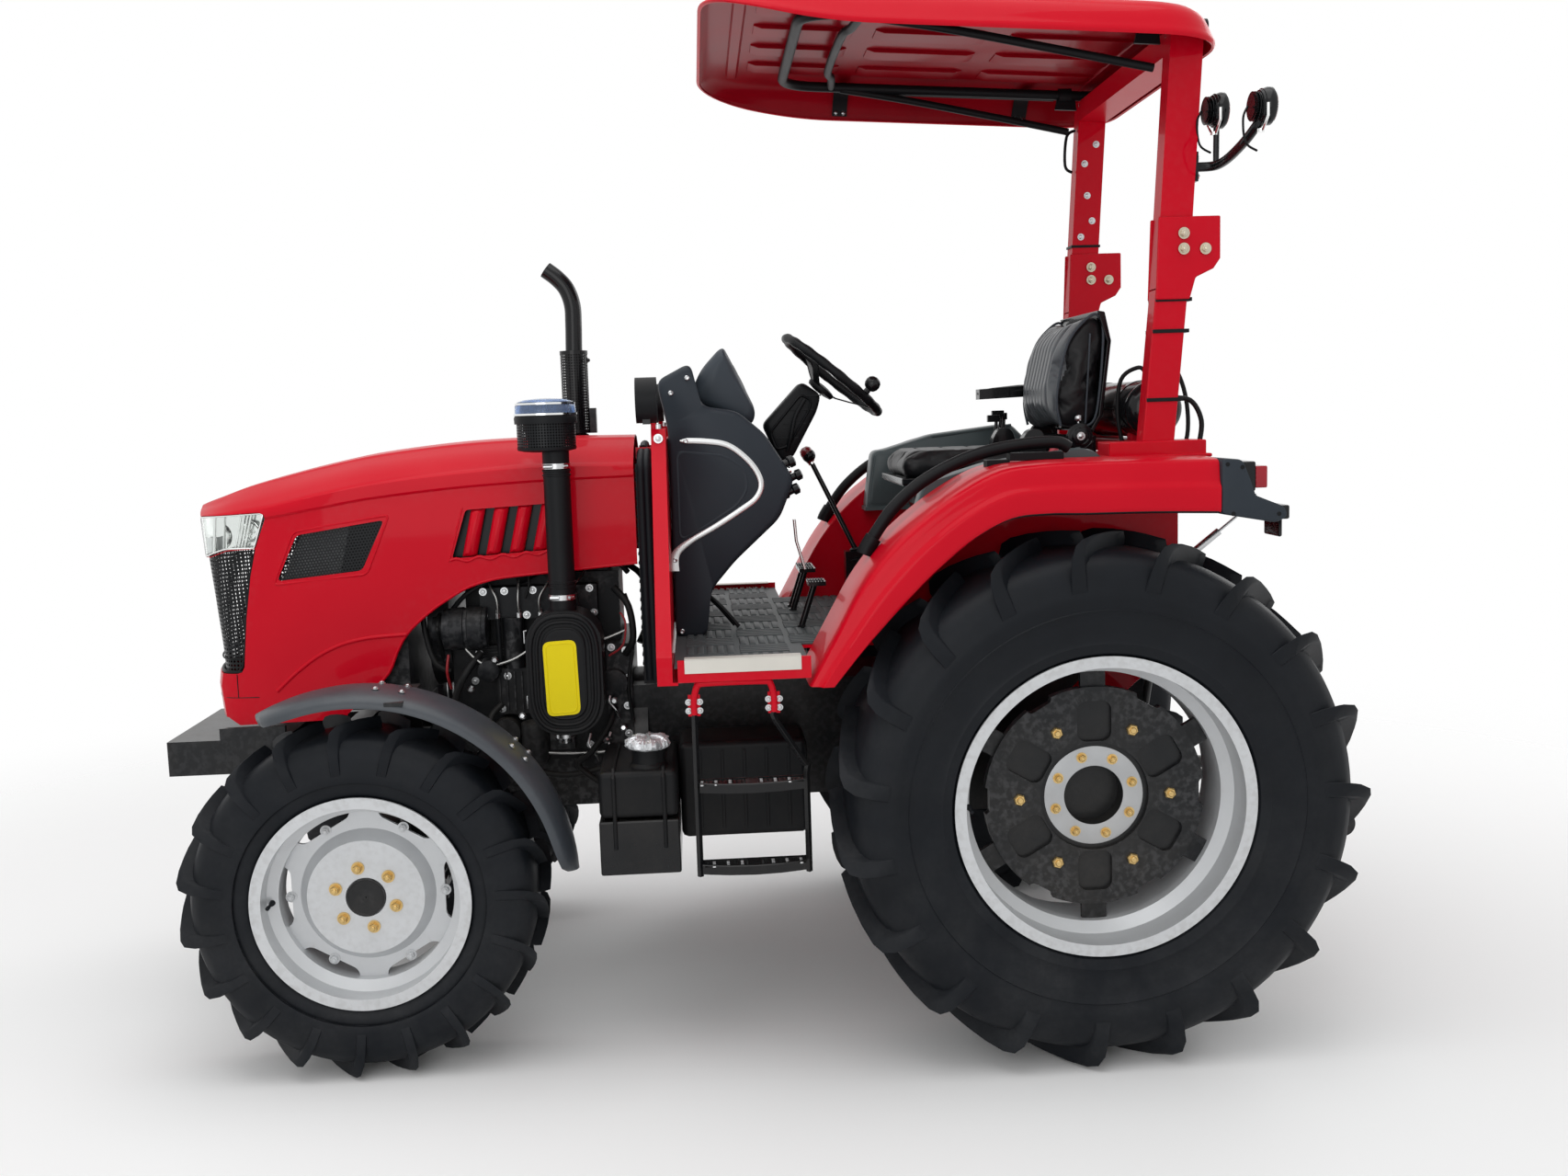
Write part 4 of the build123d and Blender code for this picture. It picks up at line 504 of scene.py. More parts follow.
for side, hand in sides:
    for name, face, circle, count, radius, height, material, first in (
            ("front_hub_nuts", 0.631, 0.080, 6, 0.0115, 0.017, gold_zinc, 0.2),
            ("front_lobe_bolts", 0.597, 0.198, 6, 0.010, 0.012, rim_silver, pi / 6),
            ("rear_disc_bolts", 0.740, 0.195, 6, 0.0155, 0.022, gold_zinc, pi / 6),
            ("rear_hub_bolts", 0.741, 0.104, 8, 0.0095, 0.013, gold_zinc, 0.3)):
        end = name.split("_")[0]
        bolt_ring(f"{name}_{hand}", f"{end}_wheel_{hand}", axles[end], side, face, circle, count, radius,
            height, material, first)

    # A flat black disc in the front hub's mouth inside its nuts, a painted shade for the opening, and the
    # pale machined face of the rear hub's flange
    for end, part, material, face, steps, profile in (("front", "mouth", cast_black, 0.631, 48, [(0, 0.002),
            (0, 0.050), (0.0016, 0.0495), (0.0022, 0.046), (0.0006, 0.044), (0.0004, 0.002)]),
            ("rear", "face", flange_steel, 0.740, 72, [(0, 0.077), (0, 0.128), (0.0014, 0.128),
            (0.0018, 0.1265), (0.0018, 0.0785), (0.0014, 0.077)])):
        form = bmesh.new()
        spin(form, profile, axles[end], steps)
        bmesh.ops.scale(form, vec=(1, side, 1), verts=form.verts)
        bmesh.ops.translate(form, vec=(0, side * face, 0), verts=form.verts)
        mesh_piece(f"{end}_hub_{part}_{hand}", form, material, f"{end}_wheel_{hand}")

    # Rubber valve stems
    for end, face, circle in (("front", 0.640, 0.235), ("rear", 0.800, 0.335)):
        centre = axles[end]
        form = bmesh.new()
        skin(form, [[(centre[0] + circle + wide * cos(a), side * (face + level), centre[2] + wide * sin(a))
            for a in (2 * pi * i / 12 for i in range(12))] for level, wide in ((0.0, 0.008), (0.012, 0.0065),
            (0.02, 0.0045), (0.036, 0.0042), (0.037, 0.0055), (0.048, 0.0052), (0.05, 0.004))])
        mesh_piece(f"{end}_valve_{hand}", form, rubber, f"{end}_wheel_{hand}")

# Chassis, axles and engine: iron castings and thick plate, painted black together once they are bolted up,
# so the paint pools in the cast skin and wears off machined corners. Pins and shafts stay bright.
chassis_black = finish("chassis_black", (0.0075, 0.0085, 0.010), 0.36, tone=0.25, pebble=260, wave=16,
    pebble_share=0.45, relief=0.35, depth=0.0008, dust=0.10, coat=0.3, coat_rough=0.22, wear=0.2,
    specular=0.12, worn=(0.07, 0.07, 0.075))
bright_steel = finish("bright_steel", (0.55, 0.56, 0.57), 0.27, metal=1.0, tone=0.12, pebble=1200,
    relief=0.05, dust=0.2)
engine_iron = finish("engine_iron", (0.0095, 0.0105, 0.0125), 0.42, metal=0.1, tone=0.35, pebble=220, wave=20,
    pebble_share=0.4, relief=0.55, depth=0.001, dust=0.12, wear=0.35, worn=(0.13, 0.13, 0.135), specular=0.15)
dress(chassis_black, "front_frame", "front_axle", "transmission", "rear_axle", "drawbar", "knuckle_left",
    "knuckle_right", "lift_arms", "lower_links", "lift_rods", "steering_rod", "battery_box")
dress(engine_iron, "engine", "radiator")

# Red sheet metal: hood, fenders, pillar frame, platform sill and roll bar, pressed from steel and sprayed
# with a deep glossy red under a clear coat. The roof is the same red on moulded plastic.
red_enamel = finish("red_enamel", (0.56, 0.0015, 0.014), 0.34, tone=0.05, pebble=260, wave=5,
    pebble_share=0.75, relief=0.03, depth=0.0003, dust=0.04, coat=0.17, coat_rough=0.04, wear=0.08,
    worn=(0.50, 0.05, 0.06), specular=0.04)
dress(red_enamel, "hood", "fenders", "pillar_frame", "rops_base", "rops_upper", "canopy", "platform")

# Moulded black and slate plastic, fine grained
black_plastic = finish("black_plastic", (0.0062, 0.0068, 0.008), 0.45, tone=0.2, pebble=1100, wave=9,
    relief=0.22, depth=0.0004, dust=0.04, specular=0.14)
slate_plastic = finish("slate_plastic", (0.026, 0.033, 0.042), 0.45, tone=0.12, pebble=1000, wave=7,
    relief=0.25, depth=0.0004, dust=0.04, specular=0.16)
gloss_black = finish("gloss_black", (0.0055, 0.006, 0.0072), 0.22, tone=0.2, pebble=400, relief=0.05,
    dust=0.05, coat=0.3, coat_rough=0.08, specular=0.12)
dress(black_plastic, "steering_column", "mudguard_left", "mudguard_right", "steering_wheel", "grab_handles",
    "fuel_tank", "air_cleaner", "precleaner", "headlamps", "hood_grilles", "work_lamps", "pillar_lamps",
    "bulkhead")
dress(slate_plastic, "dash_cowl", "fender_consoles", "fender_tails")
dress(gloss_black, "exhaust", "pedals_levers", "steps", "canopy_frame", "seat_frame", "air_reservoir")
seat_vinyl = finish("seat_vinyl", (0.0075, 0.0078, 0.009), 0.38, tone=0.2, pebble=520, wave=12, relief=0.35,
    depth=0.0006, dust=0.03, specular=0.2)
dress(seat_vinyl, "seat_cushion", "seat_backrest")

# Hood: one long steel pressing from the dash to the nose, with a raised band along its top, a shoulder
# crease, a panel sunk below it, and openings cut for the wheel arch, side meshes, louvres, lamps and grille.
def box_middle(name):
    """The middle of a solid's box, on the tractor's middle plane."""
    low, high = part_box(name)
    return Vector(((low[0] + high[0]) / 2, 0, (low[2] + high[2]) / 2))


rear_hub = box_middle("rear_rim_left")


def at(ahead, across, rise):
    """A point given in millimetres ahead of, beside and above the middle of the rear axle."""
    return rear_hub + Vector((ahead, across, rise)) / 1000


def smooth_line(points, between=6):
    """A smooth line through the given points."""
    points = [Vector(point) for point in points]
    line, last = [], len(points) - 1
    for index in range(last):
        before, start, end, after = (points[max(0, min(last, index + step))] for step in (-1, 0, 1, 2))
        for part in range(between):
            t = part / between
            line.append(0.5 * (2 * start + (end - before) * t + (2 * before - 5 * start + 4 * end - after) * t
                * t + (3 * start - before - 3 * end + after) * t ** 3))
    return line + [points[-1]]


def tube(form, line, radius, steps=12, flat=1.0, closed=False):
    """A round or flattened tube along a line; the radius may be a list, one for each point."""
    loops, side, last = [], None, len(line) - 1
    for index, point in enumerate(line):
        behind, before = ((line[index - 1], line[(index + 1) % len(line)]) if closed
            else (line[max(index - 1, 0)], line[min(index + 1, last)]))
        ahead = (before - behind).normalized()
        side = side or (Vector((0, 1, 0)) if abs(ahead.y) < 0.8 else Vector((0, 0, 1)))
        side = (side - ahead * side.dot(ahead)).normalized()
        over = ahead.cross(side)
        wide = radius[index] if isinstance(radius, list) else radius
        loops.append([point + (side * cos(a) * flat + over * sin(a)) * wide
            for a in (2 * pi * i / steps for i in range(steps))])
    skin(form, loops + ([loops[0]] if closed else []), capped=not closed)
    if closed:
        bmesh.ops.remove_doubles(form, verts=form.verts, dist=1e-6)


def prism(form, outline, left, right):
    """A plate with a side outline of (ahead, rise) points, between two distances across."""
    skin(form, [[at(ahead, across, rise) for ahead, rise in outline] for across in (left, right)])


def brick(form, low, high):
    """A block between two corners of (ahead, across, rise)."""
    prism(form, [(low[0], low[2]), (high[0], low[2]), (high[0], high[2]), (low[0], high[2])], low[1], high[1])


def bent(form, points, radius, steps=12, between=0, side=1, **how):
    """A tube through (ahead, across, rise) points, drawn smooth where points are put between them."""
    line = [at(ahead, side * across, rise) for ahead, across, rise in points]
    tube(form, smooth_line(line, between) if between else line, radius, steps, **how)


def slab(form, layers, side=1):
    """A skin over outlines of (ahead, rise) points that stand at distances across."""
    skin(form, [[at(ahead, side * across, rise) for ahead, rise in outline] for across, outline in layers])


hood_lines = [
    # ahead, half width, rise of the sunk panel, of the shoulder and of the top
    (1158, 262, 838, 868, 947), (1405, 266, 833, 872, 950), (1640, 266, 822, 861, 944),
    (1880, 261, 800, 838, 921), (2030, 254, 777, 813, 894), (2155, 243, 757, 786, 866),
    (2250, 233, 746, 772, 841), (2290, 229, 742, 767, 828), (2325, 215, 739, 764, 815),
    (2352, 192, 737, 762, 806), (2376, 162, 735, 760, 798), (2402, 118, 733, 758, 788),
]
nose_front = [(160, 2374), (250, 2382), (312, 2384), (330, 2374), (500, 2385), (645, 2397), (730, 2402),
    (765, 2403), (800, 2400)]
nose_sweep, hood_widest, hood_gauge = 82.0, 266.0, 0.004
crown_half = 215


def along(table, place, column):
    """A smooth reading of one column of a table."""
    index = max([0] + [i for i in range(len(table) - 1) if table[i][0] <= place])
    rows = [table[max(0, min(len(table) - 1, index + step))] for step in (-1, 0, 1, 2)]
    span = rows[2][0] - rows[1][0]
    t = min(1.0, max(0.0, (place - rows[1][0]) / span))
    start, end = ((rows[i + 2][column] - rows[i][column]) / (rows[i + 2][0] - rows[i][0]) * span
        for i in (0, 1))
    low, high = rows[1][column], rows[2][column]
    return (low * (2 * t ** 3 - 3 * t * t + 1) + start * (t ** 3 - 2 * t * t + t)
        + high * (3 * t * t - 2 * t ** 3) + end * (t ** 3 - t * t))


def nose_at(across, rise):
    return along(nose_front, rise, 1) - nose_sweep * (across / hood_widest) ** 2


def hood_section(ahead):
    """Half of the hood's outline at a distance ahead, from the middle of the top to the lower edge."""
    half, panel, shoulder, top = (along(hood_lines, ahead, column) for column in (1, 2, 3, 4))
    fall = top - shoulder
    part = min(1.0, half / crown_half)
    points = [(0, top), (50 * part, top - 0.02 * fall), (92 * part, top - 0.07 * fall),
        (98 * part, top - 0.08 * fall), (104 * part, top - 0.13 * fall), (112 * part, top - 0.17 * fall),
        (0.58 * half, top - 0.33 * fall), (0.72 * half, top - 0.52 * fall),
        (0.84 * half, shoulder + 0.27 * fall), (0.924 * half, shoulder + 0.1 * fall),
        (0.97 * half, shoulder + 0.02 * fall), (0.9885 * half, shoulder - 4), (half, panel + 8),
        (half, panel + 2), (half - 2, panel - 1), (half - 6, panel - 5), (half - 6, panel - 10)]
    return points + [(half - 6, panel - 10 + (160 - panel + 10) * share)
        for share in (0.08, 0.18, 0.3, 0.42, 0.54, 0.66, 0.78, 0.89, 1.0)]


def side_y(ahead, rise):
    """How far out the hood's side is."""
    return along(hood_lines, ahead, 1) - (6 if rise < along(hood_lines, ahead, 2) else 0)


hood_back, nose_start, hood_steps, nose_steps = 1158, 2080, 26, 18
marks = len(hood_section(hood_back))
form = bmesh.new()
rows = []
for mark in range(marks):
    line = [(hood_back + (nose_start - hood_back) * step / hood_steps) for step in range(hood_steps)]
    front = 2350.0
    for _ in range(12):
        across, rise = hood_section(front)[mark]
        front = 0.5 * front + 0.5 * nose_at(across, rise)
    line += [nose_start + (front - nose_start) * step / nose_steps for step in range(nose_steps + 1)]
    rows.append([(ahead, *hood_section(ahead)[mark]) for ahead in line])
sheet = {side: [[form.verts.new(at(ahead, side * across, rise)) for ahead, across, rise in row]
    for row in rows] for side in (1, -1)}
for side in (1, -1):
    for upper, lower in zip(sheet[side], sheet[side][1:]):
        for index in range(len(upper) - 1):
            form.faces.new((upper[index], upper[index + 1], lower[index + 1], lower[index]))
face_steps = 20
face_rows = []
for mark, row in enumerate(rows):
    _, across, rise = row[-1]
    inner = [form.verts.new(at(nose_at(across * share, rise), across * share, rise))
        for share in (1 - 2 * step / face_steps for step in range(1, face_steps))]
    face_rows.append([sheet[1][mark][-1]] + inner + [sheet[-1][mark][-1]])
for upper, lower in zip(face_rows, face_rows[1:]):
    for index in range(face_steps):
        form.faces.new((upper[index], upper[index + 1], lower[index + 1], lower[index]))
bmesh.ops.remove_doubles(form, verts=form.verts, dist=2e-5)
bmesh.ops.dissolve_degenerate(form, edges=form.edges, dist=1e-6)
bmesh.ops.recalc_face_normals(form, faces=form.faces)
top_face = max(form.faces, key=lambda face: face.calc_center_median().z)
if top_face.normal.z < 0:
    bmesh.ops.reverse_faces(form, faces=form.faces)

arch_edge = smooth_line([(at(ahead, 0, rise)) for ahead, rise in ((1984, 197), (1915, 258), (1862, 311),
    (1836, 368), (1808, 415), (1765, 457), (1722, 490), (1680, 516), (1636, 540), (1589, 556), (1530, 567),
    (1398, 577), (1158, 594))], 3)
mesh_window = [(2155, 577), (2093, 703), (1849, 738), (1917, 600)]
louvre_window = [(1669, 624), (1625, 758), (1392, 768), (1392, 640)]
lamp_window = [(2460, 757), (2192, 769), (2177, 762), (2176, 752), (2209, 670), (2288, 667), (2345, 648),
    (2460, 640)]
grille_window = [(2209, 668), (2228, 594), (2248, 476), (2259, 381), (2264, 338), (2272, 324), (2286, 320),
    (2460, 320), (2460, 648), (2345, 646), (2288, 665)]


def rounded(outline, radius, steps=4):
    """An outline of (ahead, rise) points with its corners rounded."""
    result, count = [], len(outline)
    for index, corner in enumerate(outline):
        corner = Vector(corner)
        before, after = Vector(outline[index - 1]), Vector(outline[(index + 1) % count])
        start = corner + (before - corner).normalized() * min(radius, (before - corner).length * 0.45)
        end = corner + (after - corner).normalized() * min(radius, (after - corner).length * 0.45)
        for step in range(steps + 1):
            t = step / steps
            result.append(tuple(start * (1 - t) ** 2 + 2 * corner * t * (1 - t) + end * t * t))
    return result


def carve(mesh, cutter):
    """Takes one closed form out of another and gives back the mesh."""
    tool, body = placed("tool", as_mesh(cutter, "tool")), placed("body", mesh)
    cut = body.modifiers.new("cut", "BOOLEAN")
    cut.object, cut.solver = tool, "EXACT"
    result = settled(body)
    bpy.data.objects.remove(tool)
    return result


host = placed("hood_host", as_mesh(form, "hood_shell", outward=False))
wall = host.modifiers.new("wall", "SOLIDIFY")
wall.thickness, wall.offset = hood_gauge, -1
shell = settled(host)

arch_outline = [tuple((point - rear_hub).xz * 1000) for point in arch_edge]
lower_edge = [(1940, 100), (1940, 186), (2288, 174), (2322, 196), (2460, 196), (2460, 100)]
for outline, left, right in ((arch_outline + [(1100, 597), (1100, 120), (1984, 120)], 400, -400),
        (lower_edge, 405, -405), (rounded(mesh_window, 14), 401, -401),
        (rounded(louvre_window, 10), 402, -402), (lamp_window, 403, 112), (lamp_window, -112, -403),
        (grille_window, 404, -404)):
    cutter = bmesh.new()
    prism(cutter, outline, left, right)
    shell = carve(shell, cutter)
hood = mesh_piece("hood_shell", as_form(shell), red_enamel, "hood_body", smooth=32, bevel=0.0012)
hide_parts("hood")

# The pressed lines on each side: a lip round the side mesh, a wavy one under the louvres, the edge over the
# wheel arch and the folded rim of the arch itself, all drawn in the same sheet.
for side, hand in sides:
    form = bmesh.new()

    def on_side(outline, out=0.0):
        return [at(ahead, side * (side_y(ahead, rise) + out), rise) for ahead, rise in outline]

    frame_outline = rounded([(2166, 567), (2101, 713), (1834, 752), (1905, 589)], 16)
    tube(form, on_side(frame_outline, -1.5), 0.0042, 8, closed=True)
    tube(form, smooth_line(on_side([(2176, 268), (2120, 318), (2055, 364), (1990, 394), (1925, 409),
        (1870, 414), (1806, 417)], -2.5), 4), 0.0065, 8)
    wave = [(1674 - run, 618 + 0.055 * run - 5 * cos(2 * pi * (run + 18) / 65))
        for run in (step * 8.4 for step in range(34))]
    tube(form, on_side(wave, -1), 0.0045, 8)
    tube(form, on_side([(1678, 616), (1633, 764)], -1), 0.0032, 8)
    tube(form, [at(ahead, side * (side_y(ahead, 400) - 3), rise) for ahead, rise in arch_outline[4:]], 0.0045,
        8)
    mesh_piece(f"hood_pressed_lines_{hand}", form, red_enamel, "hood_body", smooth=60)

def grid_plan(tree, given, index):
    """Copies in rows and columns, for meshes, ribs and treads."""
    column = add_math(tree, "MODULO", index, given["Columns"])
    row = add_math(tree, "FLOOR", add_math(tree, "DIVIDE", index, given["Columns"]))
    along_row, over_rows = (add_node(tree, "ShaderNodeVectorMath", [(0, given[label]), ("Scale", times)],
        operation="SCALE").outputs[0] for label, times in (("Column Step", column), ("Row Step", row)))
    place = add_node(tree, "ShaderNodeVectorMath", [(0, along_row), (1, over_rows)]).outputs[0]
    place = add_node(tree, "ShaderNodeVectorMath", [(0, place), (1, given["Start"])]).outputs[0]
    return add_math(tree, "MULTIPLY", given["Columns"], given["Rows"]), place, (0, 0, 0)


grid_tree, grid_sockets = copy_tree("rows_of_copies", [("Columns", "Int"), ("Rows", "Int"),
    ("Start", "Vector"), ("Column Step", "Vector"), ("Row Step", "Vector")], grid_plan)


def rows_of(shape, columns, rows, start, column_step, row_step, material, name, form=None):
    """A form repeated in rows and columns, given back as a form or joined to one."""
    return as_form(copies_of(grid_tree, grid_sockets, shape, material, name, Columns=columns, Rows=rows,
        Start=start, Column_Step=column_step, Row_Step=row_step), form)


def pierced_cell(column_step, row_step, hole, gauge):
    """One cell of perforated sheet: a slanted tile with a round hole, from its front to its back."""
    cell = bmesh.new()
    half_along, half_over = Vector(column_step) / 2, Vector(row_step) / 2
    through = half_along.cross(half_over).normalized() * gauge
    ring = [(-1, -1), (0, -1), (1, -1), (1, 0), (1, 1), (0, 1), (-1, 1), (-1, 0)]
    edge = [half_along * u + half_over * v for u, v in ring]
    mouth = [point.normalized() * hole for point in edge]
    loops = [edge, mouth, [point + through for point in mouth], [point + through for point in edge]]
    skin(cell, loops, capped=False)
    return cell


def unit_mesh(columns, rows, hole, material, name):
    """Perforated sheet of unit cells, to be bent to its place point by point."""
    ahead, upright = Vector((1, 0, 0)), Vector((0, 0, 1))
    return rows_of(pierced_cell(ahead, upright, hole, 0.1), columns, rows, Vector((0.5, 0, 0.5)), ahead,
        upright, material, name)


# Side meshes: black perforated sheet behind each slanted opening, and the louvre ribs; black plates behind
# them are a painted shade for the hood's dark inside
grille_black = finish("grille_black", (0.0058, 0.0068, 0.0082), 0.3, tone=0.2, pebble=500, relief=0.1,
    dust=0.03, specular=0.2)
# A pale grey, coarsely bumped plate behind the front of each side mesh: painted light for the brightness seen
# through the mesh
see_through_light_grey = finish("see_through_light_grey", (0.20, 0.21, 0.21), 0.7, tone=0.4, pebble=260, relief=0.5, depth=0.002,
    dust=0.0)
for side, hand in sides:
    column_step, row_step = Vector((-8.6, 0, 0.85)) / 1000, Vector((-4.6, 0, 8.4)) / 1000
    cell = pierced_cell(column_step, row_step, 0.0030, 0.0012)
    form = rows_of(cell, 30, 17, Vector((2162, 0, 575)) / 1000, column_step, row_step, grille_black,
        "side_mesh")
    for point in form.verts:
        ahead, rise = point.co.x * 1000, point.co.z * 1000
        point.co = at(ahead, side * (side_y(ahead, 400) - 9 + point.co.y * 1000), rise)
    mesh_piece(f"hood_side_mesh_{hand}", form, grille_black, "hood_body", smooth=30)
    # Black plates behind the louvres and the rear of the side mesh, and a black wall at the louvres' front
    # edge: painted shade for the dark inside of the hood
    form = bmesh.new()
    prism(form, [(1700, 606), (1640, 786), (1372, 792), (1372, 612)], side * 226, side * 229)
    prism(form, [(1700, 606), (1640, 786), (1636, 786), (1696, 606)], side * 229, side * 255)
    prism(form, [(1990, 566), (1950, 730), (1836, 742), (1896, 588)], side * 214, side * 217)
    mesh_piece(f"hood_liner_{hand}", form, grille_black, "hood_body")
    form = bmesh.new()
    prism(form, [(2150, 570), (2085, 706), (1951, 730), (1991, 566)], side * 208, side * 216)
    mesh_piece(f"hood_foam_{hand}", form, see_through_light_grey, "hood_body")
    rib = bmesh.new()
    loops = []
    for share in (0, 0.08, 0.5, 0.92, 1):
        lift = 0.35 if share in (0, 1) else 1.0
        middle = Vector((-31 * share, 0, 132 * share))
        loops.append([(middle + Vector((20 * cos(a), side * (20 * lift * sin(a) - 12), 0))) / 1000
            for a in (pi * i / 10 for i in range(11))])
    skin(rib, loops)
    form = rows_of(rib, 4, 1, at(1622, side * 256, 628), Vector((-65, 0, 3)) / 1000, Vector((0, 0, 0)),
        red_enamel, "louvre_ribs")
    mesh_piece(f"hood_louvre_ribs_{hand}", form, red_enamel, "hood_body", smooth=50)

# Front grille: black perforated sheet that fills the nose below the lamps and wraps round both corners,
# with a plain moulded frame, a cross bar near its foot and a narrow chin seam in the red below it.
def nose_path(rise, inset, start, end=None):
    """Points from the hood's left side, round its corner and over the nose, at one height."""
    line, ahead = [], min(start, nose_at(side_y(start, 400), rise) - inset - 8)
    while True:
        across = side_y(ahead, 400) - inset
        if ahead > nose_at(across, rise) - inset:
            break
        line.append((ahead, across))
        ahead += 6
    corner = line[-1][1]
    stop = -corner if end is None else end
    count = 40
    line += [(nose_at(corner + (stop - corner) * step / count, rise) - inset,
        corner + (stop - corner) * step / count) for step in range(1, count + 1)]
    if end is None:
        line += [(ahead, -across) for ahead, across in reversed(line[:len(line) - count])]
    for _ in range(3):
        line = [line[0]] + [((a[0] + b[0] + c[0]) / 3, (a[1] + b[1] + c[1]) / 3)
            for a, b, c in zip(line, line[1:], line[2:])] + [line[-1]]
    return line


def on_path(line, share):
    """The point part of the way along a line of (ahead, across) points."""
    lengths = [0.0]
    for start, end in zip(line, line[1:]):
        lengths.append(lengths[-1] + hypot(end[0] - start[0], end[1] - start[1]))
    target = share * lengths[-1]
    index = max(i for i in range(len(line) - 1) if lengths[i] <= target)
    part = (target - lengths[index]) / (lengths[index + 1] - lengths[index])
    (a, b), (c, d) = line[index], line[index + 1]
    return a + (c - a) * part, b + (d - b) * part


grille_columns, grille_rows = 62, 31
form = unit_mesh(grille_columns, grille_rows, 0.34, grille_black, "front_grille")
bmesh.ops.remove_doubles(form, verts=form.verts, dist=0.001)
grille_paths = {}
for point in form.verts:
    rise = 314 + 350 * point.co.z / grille_rows
    inset = 9 + 12 * abs(point.co.y)
    key = (round(rise, 1), round(inset, 1))
    if key not in grille_paths:
        grille_paths[key] = nose_path(rise, inset, 2192)
    ahead, across = on_path(grille_paths[key], min(0.9999, max(0, point.co.x / grille_columns)))
    point.co = at(ahead, across, rise)
grille = mesh_piece("front_grille", form, grille_black, "hood_body", smooth=30)
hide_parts("hood_grilles")
form = bmesh.new()
for rise, radius in ((362, 2.6), (324, 5.0)):
    tube(form, [at(ahead, across, rise) for ahead, across in nose_path(rise, 5, 2262)], radius / 1000, 8)
for side in (1, -1):
    edge = [(2211, 662), (2230, 594), (2250, 476), (2261, 381), (2270, 338), (2282, 325)]
    tube(form, [at(ahead, side * (side_y(ahead, 400) - 5), rise) for ahead, rise in edge], 0.004, 8)
mesh_piece("grille_frame", form, black_plastic, "hood_body", smooth=60)

# Headlamps: a clear moulded lens that wraps each corner, over a bright plated bucket with two bowls
chrome = finish("chrome", (0.80, 0.81, 0.80), 0.10, metal=1.0, tone=0.06, pebble=300, relief=0.02, dust=0.0)
lamp_white = finish("lamp_white", (0.86, 0.88, 0.88), 0.3, tone=0.03, pebble=600, relief=0.05, dust=0.0)
clear_lens = finish("clear_lens", (0.95, 0.97, 0.96), 0.03, tone=0.01, pebble=200, relief=0.01, dust=0.02,
    clear=(("Transmission Weight", 1.0), ("IOR", 1.3)))


def two_skins(form, layers):
    """Two sheets of points, given in rows, joined round their edges into one shell."""
    layers = [[[form.verts.new(point) for point in row] for row in layer] for layer in layers]
    steps, count = len(layers[0]) - 1, len(layers[0][0]) - 1
    for layer in layers:
        for near, far in zip(layer, layer[1:]):
            for index in range(count):
                form.faces.new((near[index], near[index + 1], far[index + 1], far[index]))
    edge = [(0, i) for i in range(count + 1)] + [(step, count) for step in range(1, steps)]
    edge += [(steps, i) for i in range(count, -1, -1)] + [(step, 0) for step in range(steps - 1, 0, -1)]
    for (a, b), (c, d) in zip(edge, edge[1:] + edge[:1]):
        form.faces.new((layers[0][a][b], layers[0][c][d], layers[1][c][d], layers[1][a][b]))


def lamp_point(share, height, inset, side):
    """A point of a headlamp: how far round the corner, how high and how far in."""
    low = 669 - 22 * min(1.0, max(0.0, share - 0.35) / 0.35)
    high = 768 - 12 * share
    rise = low + 1.5 + (high - low - 3) * height
    start = 2178 + (766 - rise) * 33 / 96 + 2
    ahead, across = on_path(nose_path(rise, inset, start, 114), min(share, 0.9999))
    return at(ahead, side * across, rise)


